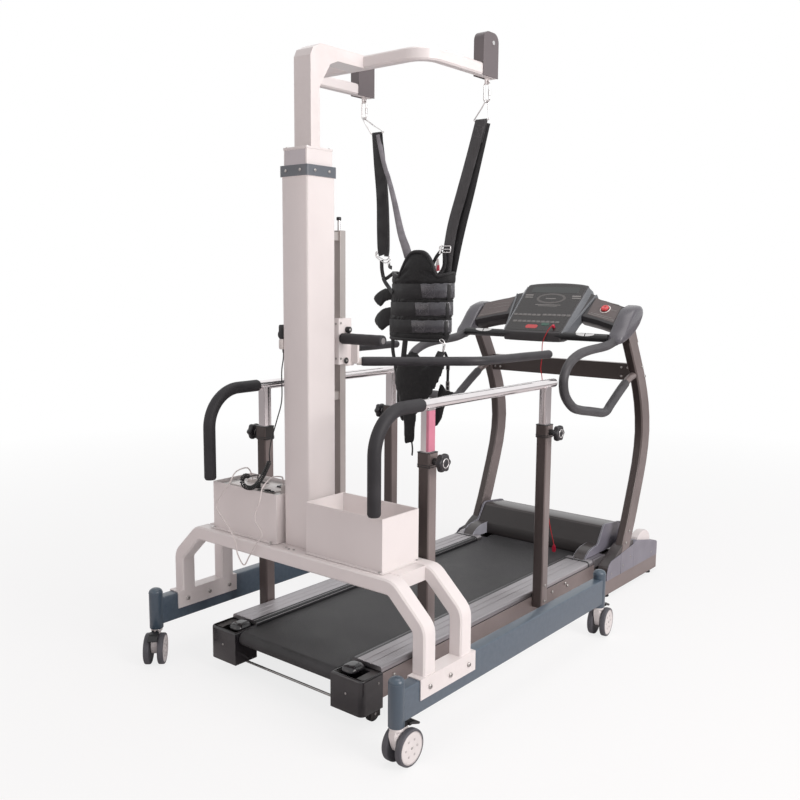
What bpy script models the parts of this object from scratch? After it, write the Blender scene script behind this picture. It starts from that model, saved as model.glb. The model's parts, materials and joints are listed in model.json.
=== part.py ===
"""Gait trainer: a body-weight support gantry on casters that stands over a medical treadmill.

Metres, +Z up, +Y from the rear of the gantry to the treadmill's console, +X to the walker's right.
"""

import math

import bmesh
import bpy
from mathutils import Vector

# Sizes of the gantry
GAP = 0.0004
RAIL_X = 0.636
RAIL_WIDTH = 0.048
RAIL_BOTTOM = 0.155
RAIL_TOP = 0.266
REAR_POST_Y = -1.189
FRONT_POST_Y = 0.208
POST_RADIUS = 0.0275
POST_BOTTOM = 0.138
POST_TOP = 0.306
WHEEL_RADIUS = 0.0625
WHEEL_WIDTH = 0.024
CASTER_TRAIL = 0.033
BEAM_Y = -0.940
BEAM_DEPTH = 0.270
TUBE_DEPTH = 0.064
TUBE_HEIGHT = 0.055
BEAM_TOP = 0.564
SADDLE_Y = -0.943
SADDLE_LENGTH = 0.312
SADDLE_SHEET = 0.004
SADDLE_DROP = 0.067
TRAY_LENGTH = 0.366
TRAY_INNER_X = 0.078
TRAY_HEIGHT = 0.189
TRAY_DEPTH = 0.200
TRAY_WALL = 0.0025

# Sizes of the column, the mast and the carriage
COLUMN_Y = -0.936
COLUMN_WIDTH = 0.130
COLUMN_DEPTH = 0.142
COLUMN_WALL = 0.004
COLUMN_TOP = 1.919
COLLAR_HEIGHT = 0.038
MAST_CLEARANCE = 0.0015
MAST_FOOT = 1.250
MAST_TOP = 2.020
BOOM_TOP = 2.382
BOOM_HEIGHT = 0.046
BOOM_WIDTH = 0.040
ARM_BAR_X = 0.3185
LUG_Y = -0.275
GUIDE_X = 0.020
GUIDE_Y = -0.797
GUIDE_WIDTH = 0.040
GUIDE_DEPTH = 0.030
GUIDE_TOP = 1.737
ROLLER_Z = 1.338
ROLLER_RADIUS = 0.0205
BODY_ARM_Z = 1.245
BODY_ARM_RADIUS = 0.018

# Sizes of the treadmill
SIDE_X = 0.382
SIDE_WIDTH = 0.0435
BELT_HALF = 0.254
BELT_TOP = 0.180
BELT_SHEET = 0.0025
END_ROLLER_RADIUS = 0.0245
ROLLER_CLEARANCE = 0.0008
DECK_REAR_Y = -1.0515
DECK_FRONT_Y = 0.720
POST_SIZE = 0.050
HANDRAIL_Z = 1.120
HANDRAIL_BAR = 0.019
REAR_RAIL_POST_Y = -0.770
FRONT_RAIL_POST_Y = 0.053
UPRIGHT_WIDTH = 0.045
HOOD_HALF = SIDE_X + SIDE_WIDTH / 2 + 0.00025
UPRIGHT_X = HOOD_HALF + UPRIGHT_WIDTH / 2 + 0.010
GRIP_LOOP_RADIUS = 0.0215
CONSOLE_HALF = 0.157

bpy.ops.object.select_all(action="DESELECT")
for old in list(bpy.data.objects):
    bpy.data.objects.remove(old, do_unlink=True)
PARTS = bpy.data.collections.new("gait_trainer")
TOOLS = bpy.data.collections.new("cutters_and_joined_volumes")
bpy.context.scene.collection.children.link(PARTS)
bpy.context.scene.collection.children.link(TOOLS)
bpy.context.scene.unit_settings.system = "METRIC"


def material(name, colour, metallic, roughness):
    """A plain Principled material of one piece."""
    made = bpy.data.materials.new(name)
    made.use_nodes = True
    shader = made.node_tree.nodes["Principled BSDF"]
    shader.inputs["Base Color"].default_value = (*colour, 1)
    shader.inputs["Metallic"].default_value = metallic
    shader.inputs["Roughness"].default_value = roughness
    made.diffuse_color = (*colour, 1)
    return made


LOOKS = {
    "white": ((0.86, 0.83, 0.82), 0.0, 0.35),
    "blue": ((0.11, 0.15, 0.20), 0.0, 0.40),
    "steel": ((0.62, 0.62, 0.63), 1.0, 0.32),
    "chrome": ((0.80, 0.80, 0.81), 1.0, 0.08),
    "silver": ((0.68, 0.67, 0.66), 0.9, 0.35),
    "bronze": ((0.42, 0.39, 0.38), 0.3, 0.35),
    "casing": ((0.30, 0.31, 0.34), 0.0, 0.40),
    "foam": ((0.035, 0.035, 0.037), 0.0, 0.75),
    "black": ((0.02, 0.02, 0.022), 0.0, 0.45),
    "fabric": ((0.03, 0.03, 0.032), 0.0, 0.85),
    "webbing": ((0.20, 0.20, 0.21), 0.0, 0.60),
    "belt": ((0.045, 0.045, 0.045), 0.0, 0.70),
    "red": ((0.60, 0.02, 0.02), 0.0, 0.40),
}


def place(plane, a, b, along):
    """A point of a drawing plane, at a distance along the third axis."""
    return Vector({"yz": (along, a, b), "xz": (a, along, b), "xy": (a, b, along)}[plane])


def loft(rings, ring_of_rings=False):
    """A closed body through rings that hold the same number of points."""
    form = bmesh.new()
    rows = [[form.verts.new(point) for point in ring] for ring in rings]
    count = len(rows[0])
    pairs = list(zip(rows, rows[1:]))
    if ring_of_rings:
        pairs.append((rows[-1], rows[0]))
    else:
        form.faces.new(rows[0])
        form.faces.new(rows[-1])
    for lower, upper in pairs:
        for i in range(count):
            form.faces.new((lower[i - 1], lower[i], upper[i], upper[i - 1]))
    bmesh.ops.recalc_face_normals(form, faces=form.faces)
    if form.calc_volume(signed=True) < 0:
        bmesh.ops.reverse_faces(form, faces=form.faces)
    mesh = bpy.data.meshes.new("form")
    form.to_mesh(mesh)
    form.free()
    return mesh


def prism(plane, outline, low, high):
    """A straight solid: an outline of one plane between two distances along the third axis."""
    return loft([[place(plane, a, b, along) for a, b in outline] for along in (low, high)])


def box(x, y, z):
    """A block between two values on each axis."""
    return prism("xy", [(x[0], y[0]), (x[1], y[0]), (x[1], y[1]), (x[0], y[1])], z[0], z[1])


def section(width, height, radius, steps=3):
    """The outline of a rectangle with rounded corners, about its middle."""
    points = []
    corners = ((1, 1, 0), (-1, 1, 90), (-1, -1, 180), (1, -1, 270))
    for sx, sy, start in corners:
        for i in range(steps + 1):
            turn = math.radians(start + 90 * i / steps)
            x = sx * (width / 2 - radius) + radius * math.cos(turn)
            y = sy * (height / 2 - radius) + radius * math.sin(turn)
            points.append((x, y))
    return points


def circle(radius, count=20):
    """The outline of a circle about its middle."""
    turns = [math.tau * i / count for i in range(count)]
    return [(radius * math.cos(t), radius * math.sin(t)) for t in turns]


def round_box(plane, middle, size, radius, low, high, steps=3):
    """A block with rounded edges along the third axis."""
    outline = [(middle[0] + a, middle[1] + b) for a, b in section(*size, radius, steps)]
    return prism(plane, outline, low, high)


def turned(axis, centre, profile, count=24):
    """A body turned about an axis: the profile lists (distance along the axis, radius)."""
    plane = {"x": "yz", "y": "xz", "z": "xy"}[axis]
    across = {"x": (1, 2), "y": (0, 2), "z": (0, 1)}[axis]
    middle = Vector(centre)
    rings = []
    for along, radius in profile:
        ring = []
        for a, b in circle(radius, count):
            offset = place(plane, 0, 0, along)
            offset[across[0]] += a
            offset[across[1]] += b
            ring.append(middle + offset)
        rings.append(ring)
    return loft(rings)


def rod(axis, centre, radius, low, high, count=20):
    """A straight round bar along an axis, from low to high of the centre."""
    return turned(axis, centre, [(low, radius), (high, radius)], count)


def rounded(points, radius, steps=4):
    """A path with each corner replaced by an arc."""
    path = [Vector(points[0])]
    for before, corner, after in zip(points, points[1:], points[2:]):
        corner = Vector(corner)
        first = (Vector(before) - corner).normalized()
        second = (Vector(after) - corner).normalized()
        half = first.angle(second) / 2
        reach = radius / math.tan(half)
        centre = corner + (first + second).normalized() * (radius / math.sin(half))
        start = corner + first * reach - centre
        end = corner + second * reach - centre
        turn = start.angle(end)
        for i in range(steps + 1):
            share = i / steps
            weight = math.sin(turn * (1 - share)) / math.sin(turn)
            path.append(centre + start * weight + end * (math.sin(turn * share) / math.sin(turn)))
    path.append(Vector(points[-1]))
    return path


def smooth(points, steps):
    """Points along a smooth curve that passes through each chosen point."""
    points = [Vector(p) for p in points]
    ends = [2 * points[0] - points[1], *points, 2 * points[-1] - points[-2]]
    path = []
    for a, b, c, d in zip(ends, ends[1:], ends[2:], ends[3:]):
        for i in range(steps):
            t = i / steps
            path.append(
                0.5
                * (
                    2 * b
                    + (c - a) * t
                    + (2 * a - 5 * b + 4 * c - d) * t * t
                    + (3 * b - a - 3 * c + d) * t * t * t
                )
            )
    path.append(points[-1])
    return path


def swept(path, outline, side, scales=None):
    """A section carried along a flat path; side is the direction that stays square to the path."""
    side = Vector(side).normalized()
    path = [Vector(p) for p in path]
    rings = []
    for i, point in enumerate(path):
        before = point - path[i - 1] if i else path[1] - point
        after = path[i + 1] - point if i + 1 < len(path) else before
        before = before.normalized()
        tangent = (before + after.normalized()).normalized()
        normal = side.cross(tangent).normalized()
        mitre = 1 / max(0.5, tangent.dot(before))
        size = scales[i] if scales else 1
        rings.append([point + normal * (a * mitre * size) + side * (b * size) for a, b in outline])
    return loft(rings)


def tool(mesh, parent=None):
    """A hidden volume that is joined to a piece or cut from it."""
    made = bpy.data.objects.new("volume", mesh)
    made.hide_render = True
    made.display_type = "WIRE"
    made.parent = parent
    TOOLS.objects.link(made)
    return made


def piece(name, look, mesh, joined=(), cuts=(), parent=None, soft=30):
    """One visible piece: a first volume, others joined to it, then volumes cut from it."""
    made = bpy.data.objects.new(name, mesh)
    made.parent = parent
    PARTS.objects.link(made)
    mesh.name = name
    mesh.materials.append(material(name, *LOOKS[look]))
    for operation, volumes in (("UNION", joined), ("DIFFERENCE", cuts)):
        for volume in volumes:
            step = made.modifiers.new(operation.lower(), "BOOLEAN")
            step.operation = operation
            step.solver = "EXACT"
            step.object = tool(volume, parent)
    for face in mesh.polygons:
        face.use_smooth = True
    mesh.set_sharp_from_angle(angle=math.radians(soft))
    return made


def stand(name, at, turn=0):
    """An empty on a joint's axis, which carries the pieces drawn about it."""
    made = bpy.data.objects.new(name, None)
    made.location = at
    made.rotation_euler.z = math.radians(turn)
    made.empty_display_size = 0.05
    PARTS.objects.link(made)
    return made


def span(side, low, high):
    """Two distances from the middle plane as x values of one side, the lower first."""
    return (low, high) if side > 0 else (-high, -low)


SIDES = {"right": 1, "left": -1}

# Gantry rails: a box rail with a round, domed post at each end
for name, side in SIDES.items():
    x = side * RAIL_X
    posts = []
    bores = []
    for y in (REAR_POST_Y, FRONT_POST_Y):
        dome = [
            (POST_BOTTOM, POST_RADIUS),
            (POST_TOP - 0.014, POST_RADIUS),
            (POST_TOP - 0.007, POST_RADIUS * 0.9),
            (POST_TOP - 0.002, POST_RADIUS * 0.62),
            (POST_TOP, POST_RADIUS * 0.25),
        ]
        posts.append(turned("z", (x, y, 0), dome, 18))
        bores.append(rod("z", (x, y, 0), 0.0065, POST_BOTTOM - 0.010, POST_BOTTOM + 0.030, 8))
    rail = round_box(
        "xz",
        (x, (RAIL_BOTTOM + RAIL_TOP) / 2),
        (RAIL_WIDTH, RAIL_TOP - RAIL_BOTTOM),
        0.004,
        REAR_POST_Y,
        FRONT_POST_Y,
        2,
    )
    piece(name + "_rail", "blue", rail, posts, bores)

# Cross frame: two bent arches under a beam with a deck plate, and a saddle over each rail
arch_half = TUBE_HEIGHT / 2
beam_z = BEAM_TOP - arch_half
leg_x = RAIL_X - 0.004
arch = [
    (-leg_x, 0, RAIL_TOP + 0.002),
    (-leg_x, 0, 0.420),
    (-0.5085, 0, beam_z),
    (0.5085, 0, beam_z),
    (leg_x, 0, 0.420),
    (leg_x, 0, RAIL_TOP + 0.002),
]
tube_volumes = []
for end in (-1, 1):
    y = BEAM_Y + end * (BEAM_DEPTH - TUBE_DEPTH) / 2
    path = rounded([(px, y, pz) for px, _, pz in arch], 0.045, 3)
    tube_volumes.append(swept(path, section(TUBE_HEIGHT - 0.001, TUBE_DEPTH, 0.006, 1), (0, 1, 0)))
inside = BEAM_DEPTH / 2 - TUBE_DEPTH + 0.002
deck = box((-0.500, 0.500), (BEAM_Y - inside, BEAM_Y + inside), (beam_z - 0.026, BEAM_TOP))
saddle_half = RAIL_WIDTH / 2 + GAP
saddles = []
for side in SIDES.values():
    x = side * RAIL_X
    outer = saddle_half + SADDLE_SHEET
    top = RAIL_TOP + GAP
    bottom = RAIL_TOP - SADDLE_DROP
    cheek = [
        (x - outer, bottom),
        (x - saddle_half, bottom),
        (x - saddle_half, top),
        (x + saddle_half, top),
        (x + saddle_half, bottom),
        (x + outer, bottom),
        (x + outer, top + SADDLE_SHEET),
        (x - outer, top + SADDLE_SHEET),
    ]
    ends = (SADDLE_Y - SADDLE_LENGTH / 2, SADDLE_Y + SADDLE_LENGTH / 2)
    saddles.append(prism("xz", cheek, *ends))
piece("cross_frame", "white", tube_volumes[0], [tube_volumes[1], deck, *saddles])

# Trays: open-topped sheet boxes on the beam, with a bottom flange
tray_floor = BEAM_TOP + GAP
tray_ends = (BEAM_Y + 0.003 - TRAY_DEPTH / 2, BEAM_Y + 0.003 + TRAY_DEPTH / 2)
for name, side in SIDES.items():
    outer_x = TRAY_INNER_X + TRAY_LENGTH
    shell = box(span(side, TRAY_INNER_X, outer_x), tray_ends, (tray_floor, tray_floor + TRAY_HEIGHT))
    hollow = box(
        span(side, TRAY_INNER_X + TRAY_WALL, outer_x - TRAY_WALL),
        (tray_ends[0] + TRAY_WALL, tray_ends[1] - TRAY_WALL),
        (tray_floor + TRAY_WALL, tray_floor + TRAY_HEIGHT + 0.02),
    )
    flange = box(
        span(side, TRAY_INNER_X + 0.004, outer_x + 0.012),
        (tray_ends[0] - 0.012, tray_ends[1] + 0.012),
        (tray_floor, tray_floor + TRAY_WALL),
    )
    piece(name + "_tray", "white", shell, [flange], [hollow])

# Control box: stands on the left tray's floor, with two plugs in its top
box_floor = tray_floor + TRAY_WALL + GAP
box_top = 0.745
housing = round_box("xy", (-0.260, -0.9375), (0.320, 0.165), 0.008, box_floor, box_top)
plugs = [
    rod("z", (-0.121, -0.960, 0), 0.009, box_top - 0.004, box_top + 0.030, 12),
    rod("z", (-0.235, -0.985, 0), 0.009, box_top - 0.004, box_top + 0.026, 12),
    box((-0.350, -0.322), (-0.940, -0.912), (box_top - 0.004, box_top + 0.016)),
    box((-0.190, -0.160), (-0.930, -0.905), (box_top - 0.004, box_top + 0.009)),
]
piece("control_box", "silver", housing, plugs)

# Column: a hollow upright with a dark bolted collar, and a ledge that the mast's foot rests on
collar_top = COLUMN_TOP + COLLAR_HEIGHT
column = round_box("xy", (0, COLUMN_Y), (COLUMN_WIDTH, COLUMN_DEPTH), 0.007, tray_floor, COLUMN_TOP)
collar = round_box(
    "xy",
    (0, COLUMN_Y),
    (COLUMN_WIDTH + 0.010, COLUMN_DEPTH + 0.010),
    0.008,
    COLUMN_TOP - 0.001,
    collar_top,
)
bore_width = COLUMN_WIDTH - 2 * COLUMN_WALL
bore_depth = COLUMN_DEPTH - 2 * COLUMN_WALL
ledge = MAST_FOOT - GAP
bore = round_box("xy", (0, COLUMN_Y), (bore_width, bore_depth), 0.004, ledge, collar_top + 0.05)
lower_bore = round_box(
    "xy",
    (0, COLUMN_Y),
    (bore_width - 0.024, bore_depth - 0.024),
    0.004,
    tray_floor - 0.02,
    ledge + 0.01,
)
piece("column", "white", column, [collar], [bore, lower_bore])

# Guide rail: a silver bar on stand-offs in front of the column, with a thin rod on top
column_front = COLUMN_Y + COLUMN_DEPTH / 2
guide_rear = GUIDE_Y - GUIDE_DEPTH / 2
guide_foot = 0.600
guide = round_box("xy", (GUIDE_X, GUIDE_Y), (GUIDE_WIDTH, GUIDE_DEPTH), 0.004, guide_foot, GUIDE_TOP)
guide_volumes = [rod("z", (GUIDE_X, GUIDE_Y, 0), 0.006, GUIDE_TOP - 0.005, GUIDE_TOP + 0.046, 12)]
guide_volumes.append(rod("z", (GUIDE_X, GUIDE_Y, 0), 0.009, GUIDE_TOP + 0.038, GUIDE_TOP + 0.050, 12))
for z in (0.680, 1.120, 1.715):
    stand_off = box(
        (GUIDE_X - 0.014, GUIDE_X + 0.014),
        (column_front + GAP, guide_rear + 0.005),
        (z - 0.016, z + 0.016),
    )
    guide_volumes.append(stand_off)
piece("guide_rail", "silver", guide, guide_volumes)

# Casters: a swivel housing, a twin wheel pair on its axle and a brake pedal, drawn about the stem
WHEEL_FACE = 0.0155
HOUSING_HALF = 0.014
CASTERS = {
    "rear_right": (1, REAR_POST_Y, 0),
    "rear_left": (-1, REAR_POST_Y, -137),
    "front_right": (1, FRONT_POST_Y, 8),
    "front_left": (-1, FRONT_POST_Y, -8),
}
for name, (side, y, turn) in CASTERS.items():
    stem = stand("stem_" + name, (side * RAIL_X, y, 0), turn)
    axle = (0, CASTER_TRAIL, WHEEL_RADIUS)
    web = [
        (-0.021, 0.1275),
        (-0.024, 0.112),
        (-0.014, 0.070),
        (0.012, 0.046),
        (0.040, 0.044),
        (0.060, 0.060),
        (0.066, 0.086),
        (0.056, 0.113),
        (0.044, 0.1255),
        (0.024, 0.1275),
    ]
    neck = [
        (WHEEL_RADIUS * 2 + 0.0014, 0.0225),
        (POST_BOTTOM - 0.004, 0.0235),
        (POST_BOTTOM - GAP, 0.0215),
        (POST_BOTTOM - GAP, 0.0060),
        (POST_BOTTOM + 0.024, 0.0060),
    ]
    lug = box((-0.0035, 0.0035), (0.028, 0.042), (0.120, 0.1375))
    piece(
        "caster_housing_" + name,
        "white",
        prism("yz", web, -HOUSING_HALF, HOUSING_HALF),
        [turned("z", (0, 0, 0), neck, 14), lug],
        [
            rod("x", axle, 0.0062, -0.02, 0.02, 10),
            rod("x", (0, 0.035, 0.1325), 0.0029, -0.01, 0.01, 10),
        ],
        stem,
    )
    outer = WHEEL_FACE + WHEEL_WIDTH
    half = [
        (outer - 0.003, WHEEL_RADIUS * 0.60),
        (outer, WHEEL_RADIUS * 0.66),
        (outer, WHEEL_RADIUS * 0.86),
        (outer - 0.004, WHEEL_RADIUS),
        (WHEEL_FACE + 0.003, WHEEL_RADIUS),
        (WHEEL_FACE, WHEEL_RADIUS * 0.90),
        (WHEEL_FACE, 0.0055),
    ]
    profile = [(-a, r) for a, r in half] + [(a, r) for a, r in reversed(half)]
    piece("caster_wheels_" + name, "casing", turned("x", axle, profile, 20), parent=stem)
    pad = [
        (0.046, 0.128),
        (0.060, 0.1275),
        (0.096, 0.1145),
        (0.101, 0.1175),
        (0.098, 0.1225),
        (0.066, 0.136),
        (0.046, 0.1375),
    ]
    ear = [(0.030, 0.128), (0.050, 0.128), (0.050, 0.1375), (0.030, 0.1375)]
    piece(
        "caster_pedal_" + name,
        "black",
        prism("yz", pad, -0.019, 0.019),
        [
            prism("yz", ear, 0.0042, 0.013),
            prism("yz", ear, -0.013, -0.0042),
            rod("x", (0, 0.035, 0.1325), 0.0024, -0.006, 0.006, 10),
        ],
        parent=stem,
    )

# Mast: the inner column with its cap plate, which rests on the column's ledge
mast_x = COLUMN_WIDTH - 2 * (COLUMN_WALL + MAST_CLEARANCE)
mast_y = COLUMN_DEPTH - 2 * (COLUMN_WALL + MAST_CLEARANCE)
inner = round_box("xy", (0, COLUMN_Y), (mast_x, mast_y), 0.005, MAST_FOOT, MAST_TOP - 0.004)
cap = round_box("xy", (0, COLUMN_Y), (mast_x + 0.004, mast_y + 0.004), 0.006, MAST_TOP - 0.008, MAST_TOP)
piece("mast", "white", inner, [cap])

# Yoke: post, elbow and boom, then one bent tube for the crossbar and both arms, with a lug under each
boom_low = BOOM_TOP - BOOM_HEIGHT
crossbar_y = -0.667
boom = [
    (-0.963, MAST_TOP + GAP),
    (-0.963, boom_low),
    (-0.950, boom_low + 0.026),
    (-0.911, BOOM_TOP),
    (crossbar_y - 0.010, BOOM_TOP),
    (crossbar_y - 0.010, boom_low),
    (-0.824, boom_low),
    (-0.862, boom_low - 0.016),
    (-0.9175, boom_low - 0.101),
    (-0.9175, MAST_TOP + GAP),
]
arm_tip_y = -0.229
bar_z = BOOM_TOP - BOOM_HEIGHT / 2
bar = [
    (-ARM_BAR_X, arm_tip_y, bar_z),
    (-ARM_BAR_X, crossbar_y, bar_z),
    (ARM_BAR_X, crossbar_y, bar_z),
    (ARM_BAR_X, arm_tip_y, bar_z),
]
bar_section = section(BOOM_WIDTH, BOOM_HEIGHT - 0.001, 0.006, 1)
yoke_volumes = [swept(rounded(bar, 0.0785, 6), bar_section, (0, 0, 1))]
lug_hole_z = boom_low - 0.015
lug_sheet = 0.003
eye_radius = 0.0058
eyes = []
for side in SIDES.values():
    x = side * ARM_BAR_X
    outline = [
        (LUG_Y - 0.0125, boom_low + 0.006),
        (LUG_Y - 0.0125, lug_hole_z),
        (LUG_Y - 0.008, lug_hole_z - 0.010),
        (LUG_Y + 0.008, lug_hole_z - 0.010),
        (LUG_Y + 0.0125, lug_hole_z),
        (LUG_Y + 0.0125, boom_low + 0.006),
    ]
    yoke_volumes.append(prism("yz", outline, x - lug_sheet, x + lug_sheet))
    eyes.append(rod("x", (x, LUG_Y, lug_hole_z), eye_radius, -0.02, 0.02, 16))
piece("yoke", "white", prism("yz", boom, -0.04175, 0.04175), yoke_volumes, eyes)

# Hanger blocks: a dark cover that straddles each arm's end, with a round pin near the top
for name, side in SIDES.items():
    x = side * ARM_BAR_X
    rear = -0.335
    front = -0.233
    top = BOOM_TOP + 0.118
    outline = [
        (rear, boom_low - 0.002),
        (rear, top - 0.030),
        (rear + 0.009, top - 0.010),
        (rear + 0.030, top),
        (front - 0.030, top),
        (front - 0.009, top - 0.010),
        (front, top - 0.030),
        (front, boom_low - 0.002),
    ]
    cover = prism("yz", outline, x - 0.0235, x + 0.0235)
    pin = turned(
        "x",
        (x, -0.273, BOOM_TOP + 0.080),
        [(-0.0265, 0.005), (-0.0255, 0.0075), (0.0255, 0.0075), (0.0265, 0.005)],
        16,
    )
    half = BOOM_WIDTH / 2 + GAP
    channel = box((x - half, x + half), (rear - 0.02, front + 0.02), (boom_low - 0.05, BOOM_TOP + GAP))
    piece("hanger_block_" + name, "bronze", cover, [pin], [channel])


def ribbon(path, widths, sheet, across):
    """A flat strap along a path: its width lies along one direction, its sheet square to it."""
    across = Vector(across).normalized()
    path = [Vector(p) for p in path]
    rings = []
    for i, point in enumerate(path):
        tangent = (path[min(i + 1, len(path) - 1)] - path[max(i - 1, 0)]).normalized()
        normal = tangent.cross(across).normalized() * sheet / 2
        half = across * widths[i] / 2
        ring = [point + half - normal, point + half + normal, point - half + normal]
        rings.append([*ring, point - half - normal])
    return loft(rings)


def wire(name, look, points, radius, cyclic=False, resolution=2, parent=None):
    """A round wire through given points, as a curve with filled ends."""
    data = bpy.data.curves.new(name, "CURVE")
    data.dimensions = "3D"
    data.bevel_depth = radius
    data.bevel_resolution = resolution
    data.use_fill_caps = True
    line = data.splines.new("POLY")
    line.points.add(len(points) - 1)
    for spot, point in zip(line.points, points):
        spot.co = (*point, 1)
    line.use_cyclic_u = cyclic
    data.materials.append(material(name, *LOOKS[look]))
    made = bpy.data.objects.new(name, data)
    made.parent = parent
    PARTS.objects.link(made)
    return made


def baked(name, points, radius, cyclic=False, resolution=2):
    """The mesh of a round wire, ready to be joined to a piece."""
    made = wire(name, "chrome", points, radius, cyclic, resolution)
    bpy.context.view_layer.update()
    graph = bpy.context.evaluated_depsgraph_get()
    mesh = bpy.data.meshes.new_from_object(made.evaluated_get(graph))
    bpy.data.objects.remove(made, do_unlink=True)
    mesh.materials.clear()
    form = bmesh.new()
    form.from_mesh(mesh)
    bmesh.ops.remove_doubles(form, verts=form.verts, dist=1e-6)
    bmesh.ops.recalc_face_normals(form, faces=form.faces)
    if form.calc_volume(signed=True) < 0:
        bmesh.ops.reverse_faces(form, faces=form.faces)
    form.to_mesh(mesh)
    form.free()
    return mesh


# Carabiners: a closed link through each lug's eye
wire_radius = 0.0035
link_top = lug_hole_z - eye_radius + wire_radius + 0.0010
link_half = 0.0125
link_low = link_top - 0.075
for name, side in SIDES.items():
    x = side * ARM_BAR_X
    points = []
    for middle, start in ((link_top - link_half, 0), (link_low + link_half, 180)):
        for i in range(7):
            turn = math.radians(start + 30 * i)
            points.append((x + link_half * math.cos(turn), LUG_Y, middle + link_half * math.sin(turn)))
    wire("carabiner_" + name, "chrome", points, wire_radius, cyclic=True, resolution=1)

# Suspension straps: a triangular ring through each carabiner, then webbing down to the vest
ring_radius = 0.0028
ring_low = 2.178
apex = link_low + wire_radius + ring_radius + 0.0006
STRAPS = {
    "right": [(0.2960, 2.180), (0.2560, 2.045), (0.2100, 1.905), (0.1700, 1.785), (0.1500, 1.690)],
    "left": [(-0.2430, 2.180), (-0.2290, 2.045), (-0.2130, 1.905), (-0.1960, 1.770), (-0.1850, 1.680)],
}
STRAP_WIDTHS = [0.058, 0.060, 0.060, 0.057, 0.053]
for name, side in SIDES.items():
    x = side * ARM_BAR_X
    foot = STRAPS[name][0][0]
    reach = 0.0078
    points = [
        (x - 0.0015, LUG_Y - reach, link_low),
        (x - 0.0010, LUG_Y - reach * 0.7, link_low + reach * 0.72),
        (x, LUG_Y, link_low + reach),
        (x + 0.0010, LUG_Y + reach * 0.7, link_low + reach * 0.72),
        (x + 0.0015, LUG_Y + reach, link_low),
        (x * 0.6 + (foot + 0.034) * 0.4, LUG_Y + 0.006, link_low * 0.6 + ring_low * 0.4),
        (foot + 0.034, LUG_Y + 0.002, ring_low + 0.004),
        (foot + 0.031, LUG_Y + 0.001, ring_low),
        (foot - 0.031, LUG_Y - 0.001, ring_low),
        (foot - 0.034, LUG_Y - 0.002, ring_low + 0.004),
        (x * 0.6 + (foot - 0.034) * 0.4, LUG_Y - 0.006, link_low * 0.6 + ring_low * 0.4),
    ]
    route = [(px, LUG_Y, pz) for px, pz in STRAPS[name]]
    widths = list(STRAP_WIDTHS)
    if side > 0:
        route += [(0.1490, LUG_Y, 1.640), (0.1480, LUG_Y, 1.5854)]
        widths += [0.052, 0.050]
    else:
        route += [(-0.1840, LUG_Y, 1.660), (-0.1840, LUG_Y, 1.650), (-0.1850, LUG_Y + 0.010, 1.5404)]
        widths += [0.040, 0.024, 0.024]
    ring = baked("ring", points, ring_radius, cyclic=True)
    strap = ribbon(route, widths, 0.0045, (1, 0, 0))
    piece("suspension_strap_" + name, "webbing", strap, [ring])

# Harness vest: an open-ended shell with three bands, a back lobe, flaps, thigh straps and a tail strap
VEST_BANDS = ((1.330, 1.385), (1.400, 1.460), (1.480, 1.540))
VEST_SHOULDER = 1.545
vest_half = (0.158, 0.066)
vest_low = 1.300


def vest_ring(share, inset, count=24):
    """One ring of the vest's wall: share runs from the hem to the top edge, which rises at the back."""
    points = []
    for i in range(count):
        turn = math.tau * i / count
        lobe = max(0, -math.sin(turn)) ** 6
        top = 1.585 + 0.095 * lobe
        if share < 0.8:
            z = vest_low + share * (VEST_SHOULDER - vest_low) / 0.8
        else:
            z = VEST_SHOULDER + (share - 0.8) / 0.2 * (top - VEST_SHOULDER)
        swell = 0.0
        if not inset:
            for low, high in VEST_BANDS:
                if low - 0.004 < z < high + 0.004:
                    swell = 0.006
        narrow = 1 - 0.10 * max(0, (z - 1.56) / 0.12) - 0.06 * max(0, (1.36 - z) / 0.06)
        a = (vest_half[0] + swell - inset) * narrow
        b = (vest_half[1] + swell - inset) * narrow
        points.append((a * math.cos(turn), LUG_Y + b * math.sin(turn), z))
    return points


outer_heights = [vest_low]
for low, high in VEST_BANDS:
    outer_heights += [low - 0.005, low, high, high + 0.005]
outer_shares = [0.8 * (z - vest_low) / (VEST_SHOULDER - vest_low) for z in outer_heights]
outer_shares += [0.88, 0.95, 1.0]
wall = [vest_ring(share, 0) for share in outer_shares]
wall += [vest_ring(share, 0.012) for share in (1.0, 0.8, 0.4, 0.0)]
vest = loft(wall, ring_of_rings=True)
vest_volumes = []
for low, high, reach in ((1.440, 1.540, 0.236), (1.345, 1.462, 0.240)):
    flap = [
        (-0.135, -0.250),
        (-0.196, -0.262),
        (-reach, -0.270),
        (-reach, -0.256),
        (-0.196, -0.247),
        (-0.135, -0.232),
    ]
    vest_volumes.append(prism("xy", flap, low, high))
seat_y = LUG_Y - 0.058
seat = [
    (-0.096, 1.315),
    (0.120, 1.315),
    (0.132, 1.210),
    (0.096, 1.120),
    (0.066, 1.045),
    (0.000, 1.020),
    (-0.028, 1.000),
    (-0.026, 0.860),
    (-0.079, 0.850),
    (-0.084, 1.010),
    (-0.107, 1.225),
]
vest_volumes.append(prism("xz", seat, seat_y, seat_y + 0.009))
thigh = [
    (0.112, 0.036, 1.318),
    (0.132, 0.038, 1.240),
    (0.155, 0.036, 1.165),
    (0.160, 0.020, 1.080),
    (0.142, 0.004, 0.990),
    (0.112, -0.016, 0.948),
    (0.080, -0.040, 0.980),
    (0.058, -0.056, 1.070),
]
for side in SIDES.values():
    scale = 1 if side > 0 else 0.62
    route = [(side * x * scale, LUG_Y + y, z) for x, y, z in thigh]
    vest_volumes.append(ribbon(smooth(route, 2), [0.030] * 6 + [0.050] * 9, 0.006, (0.35 * side, 1, 0)))
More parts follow.
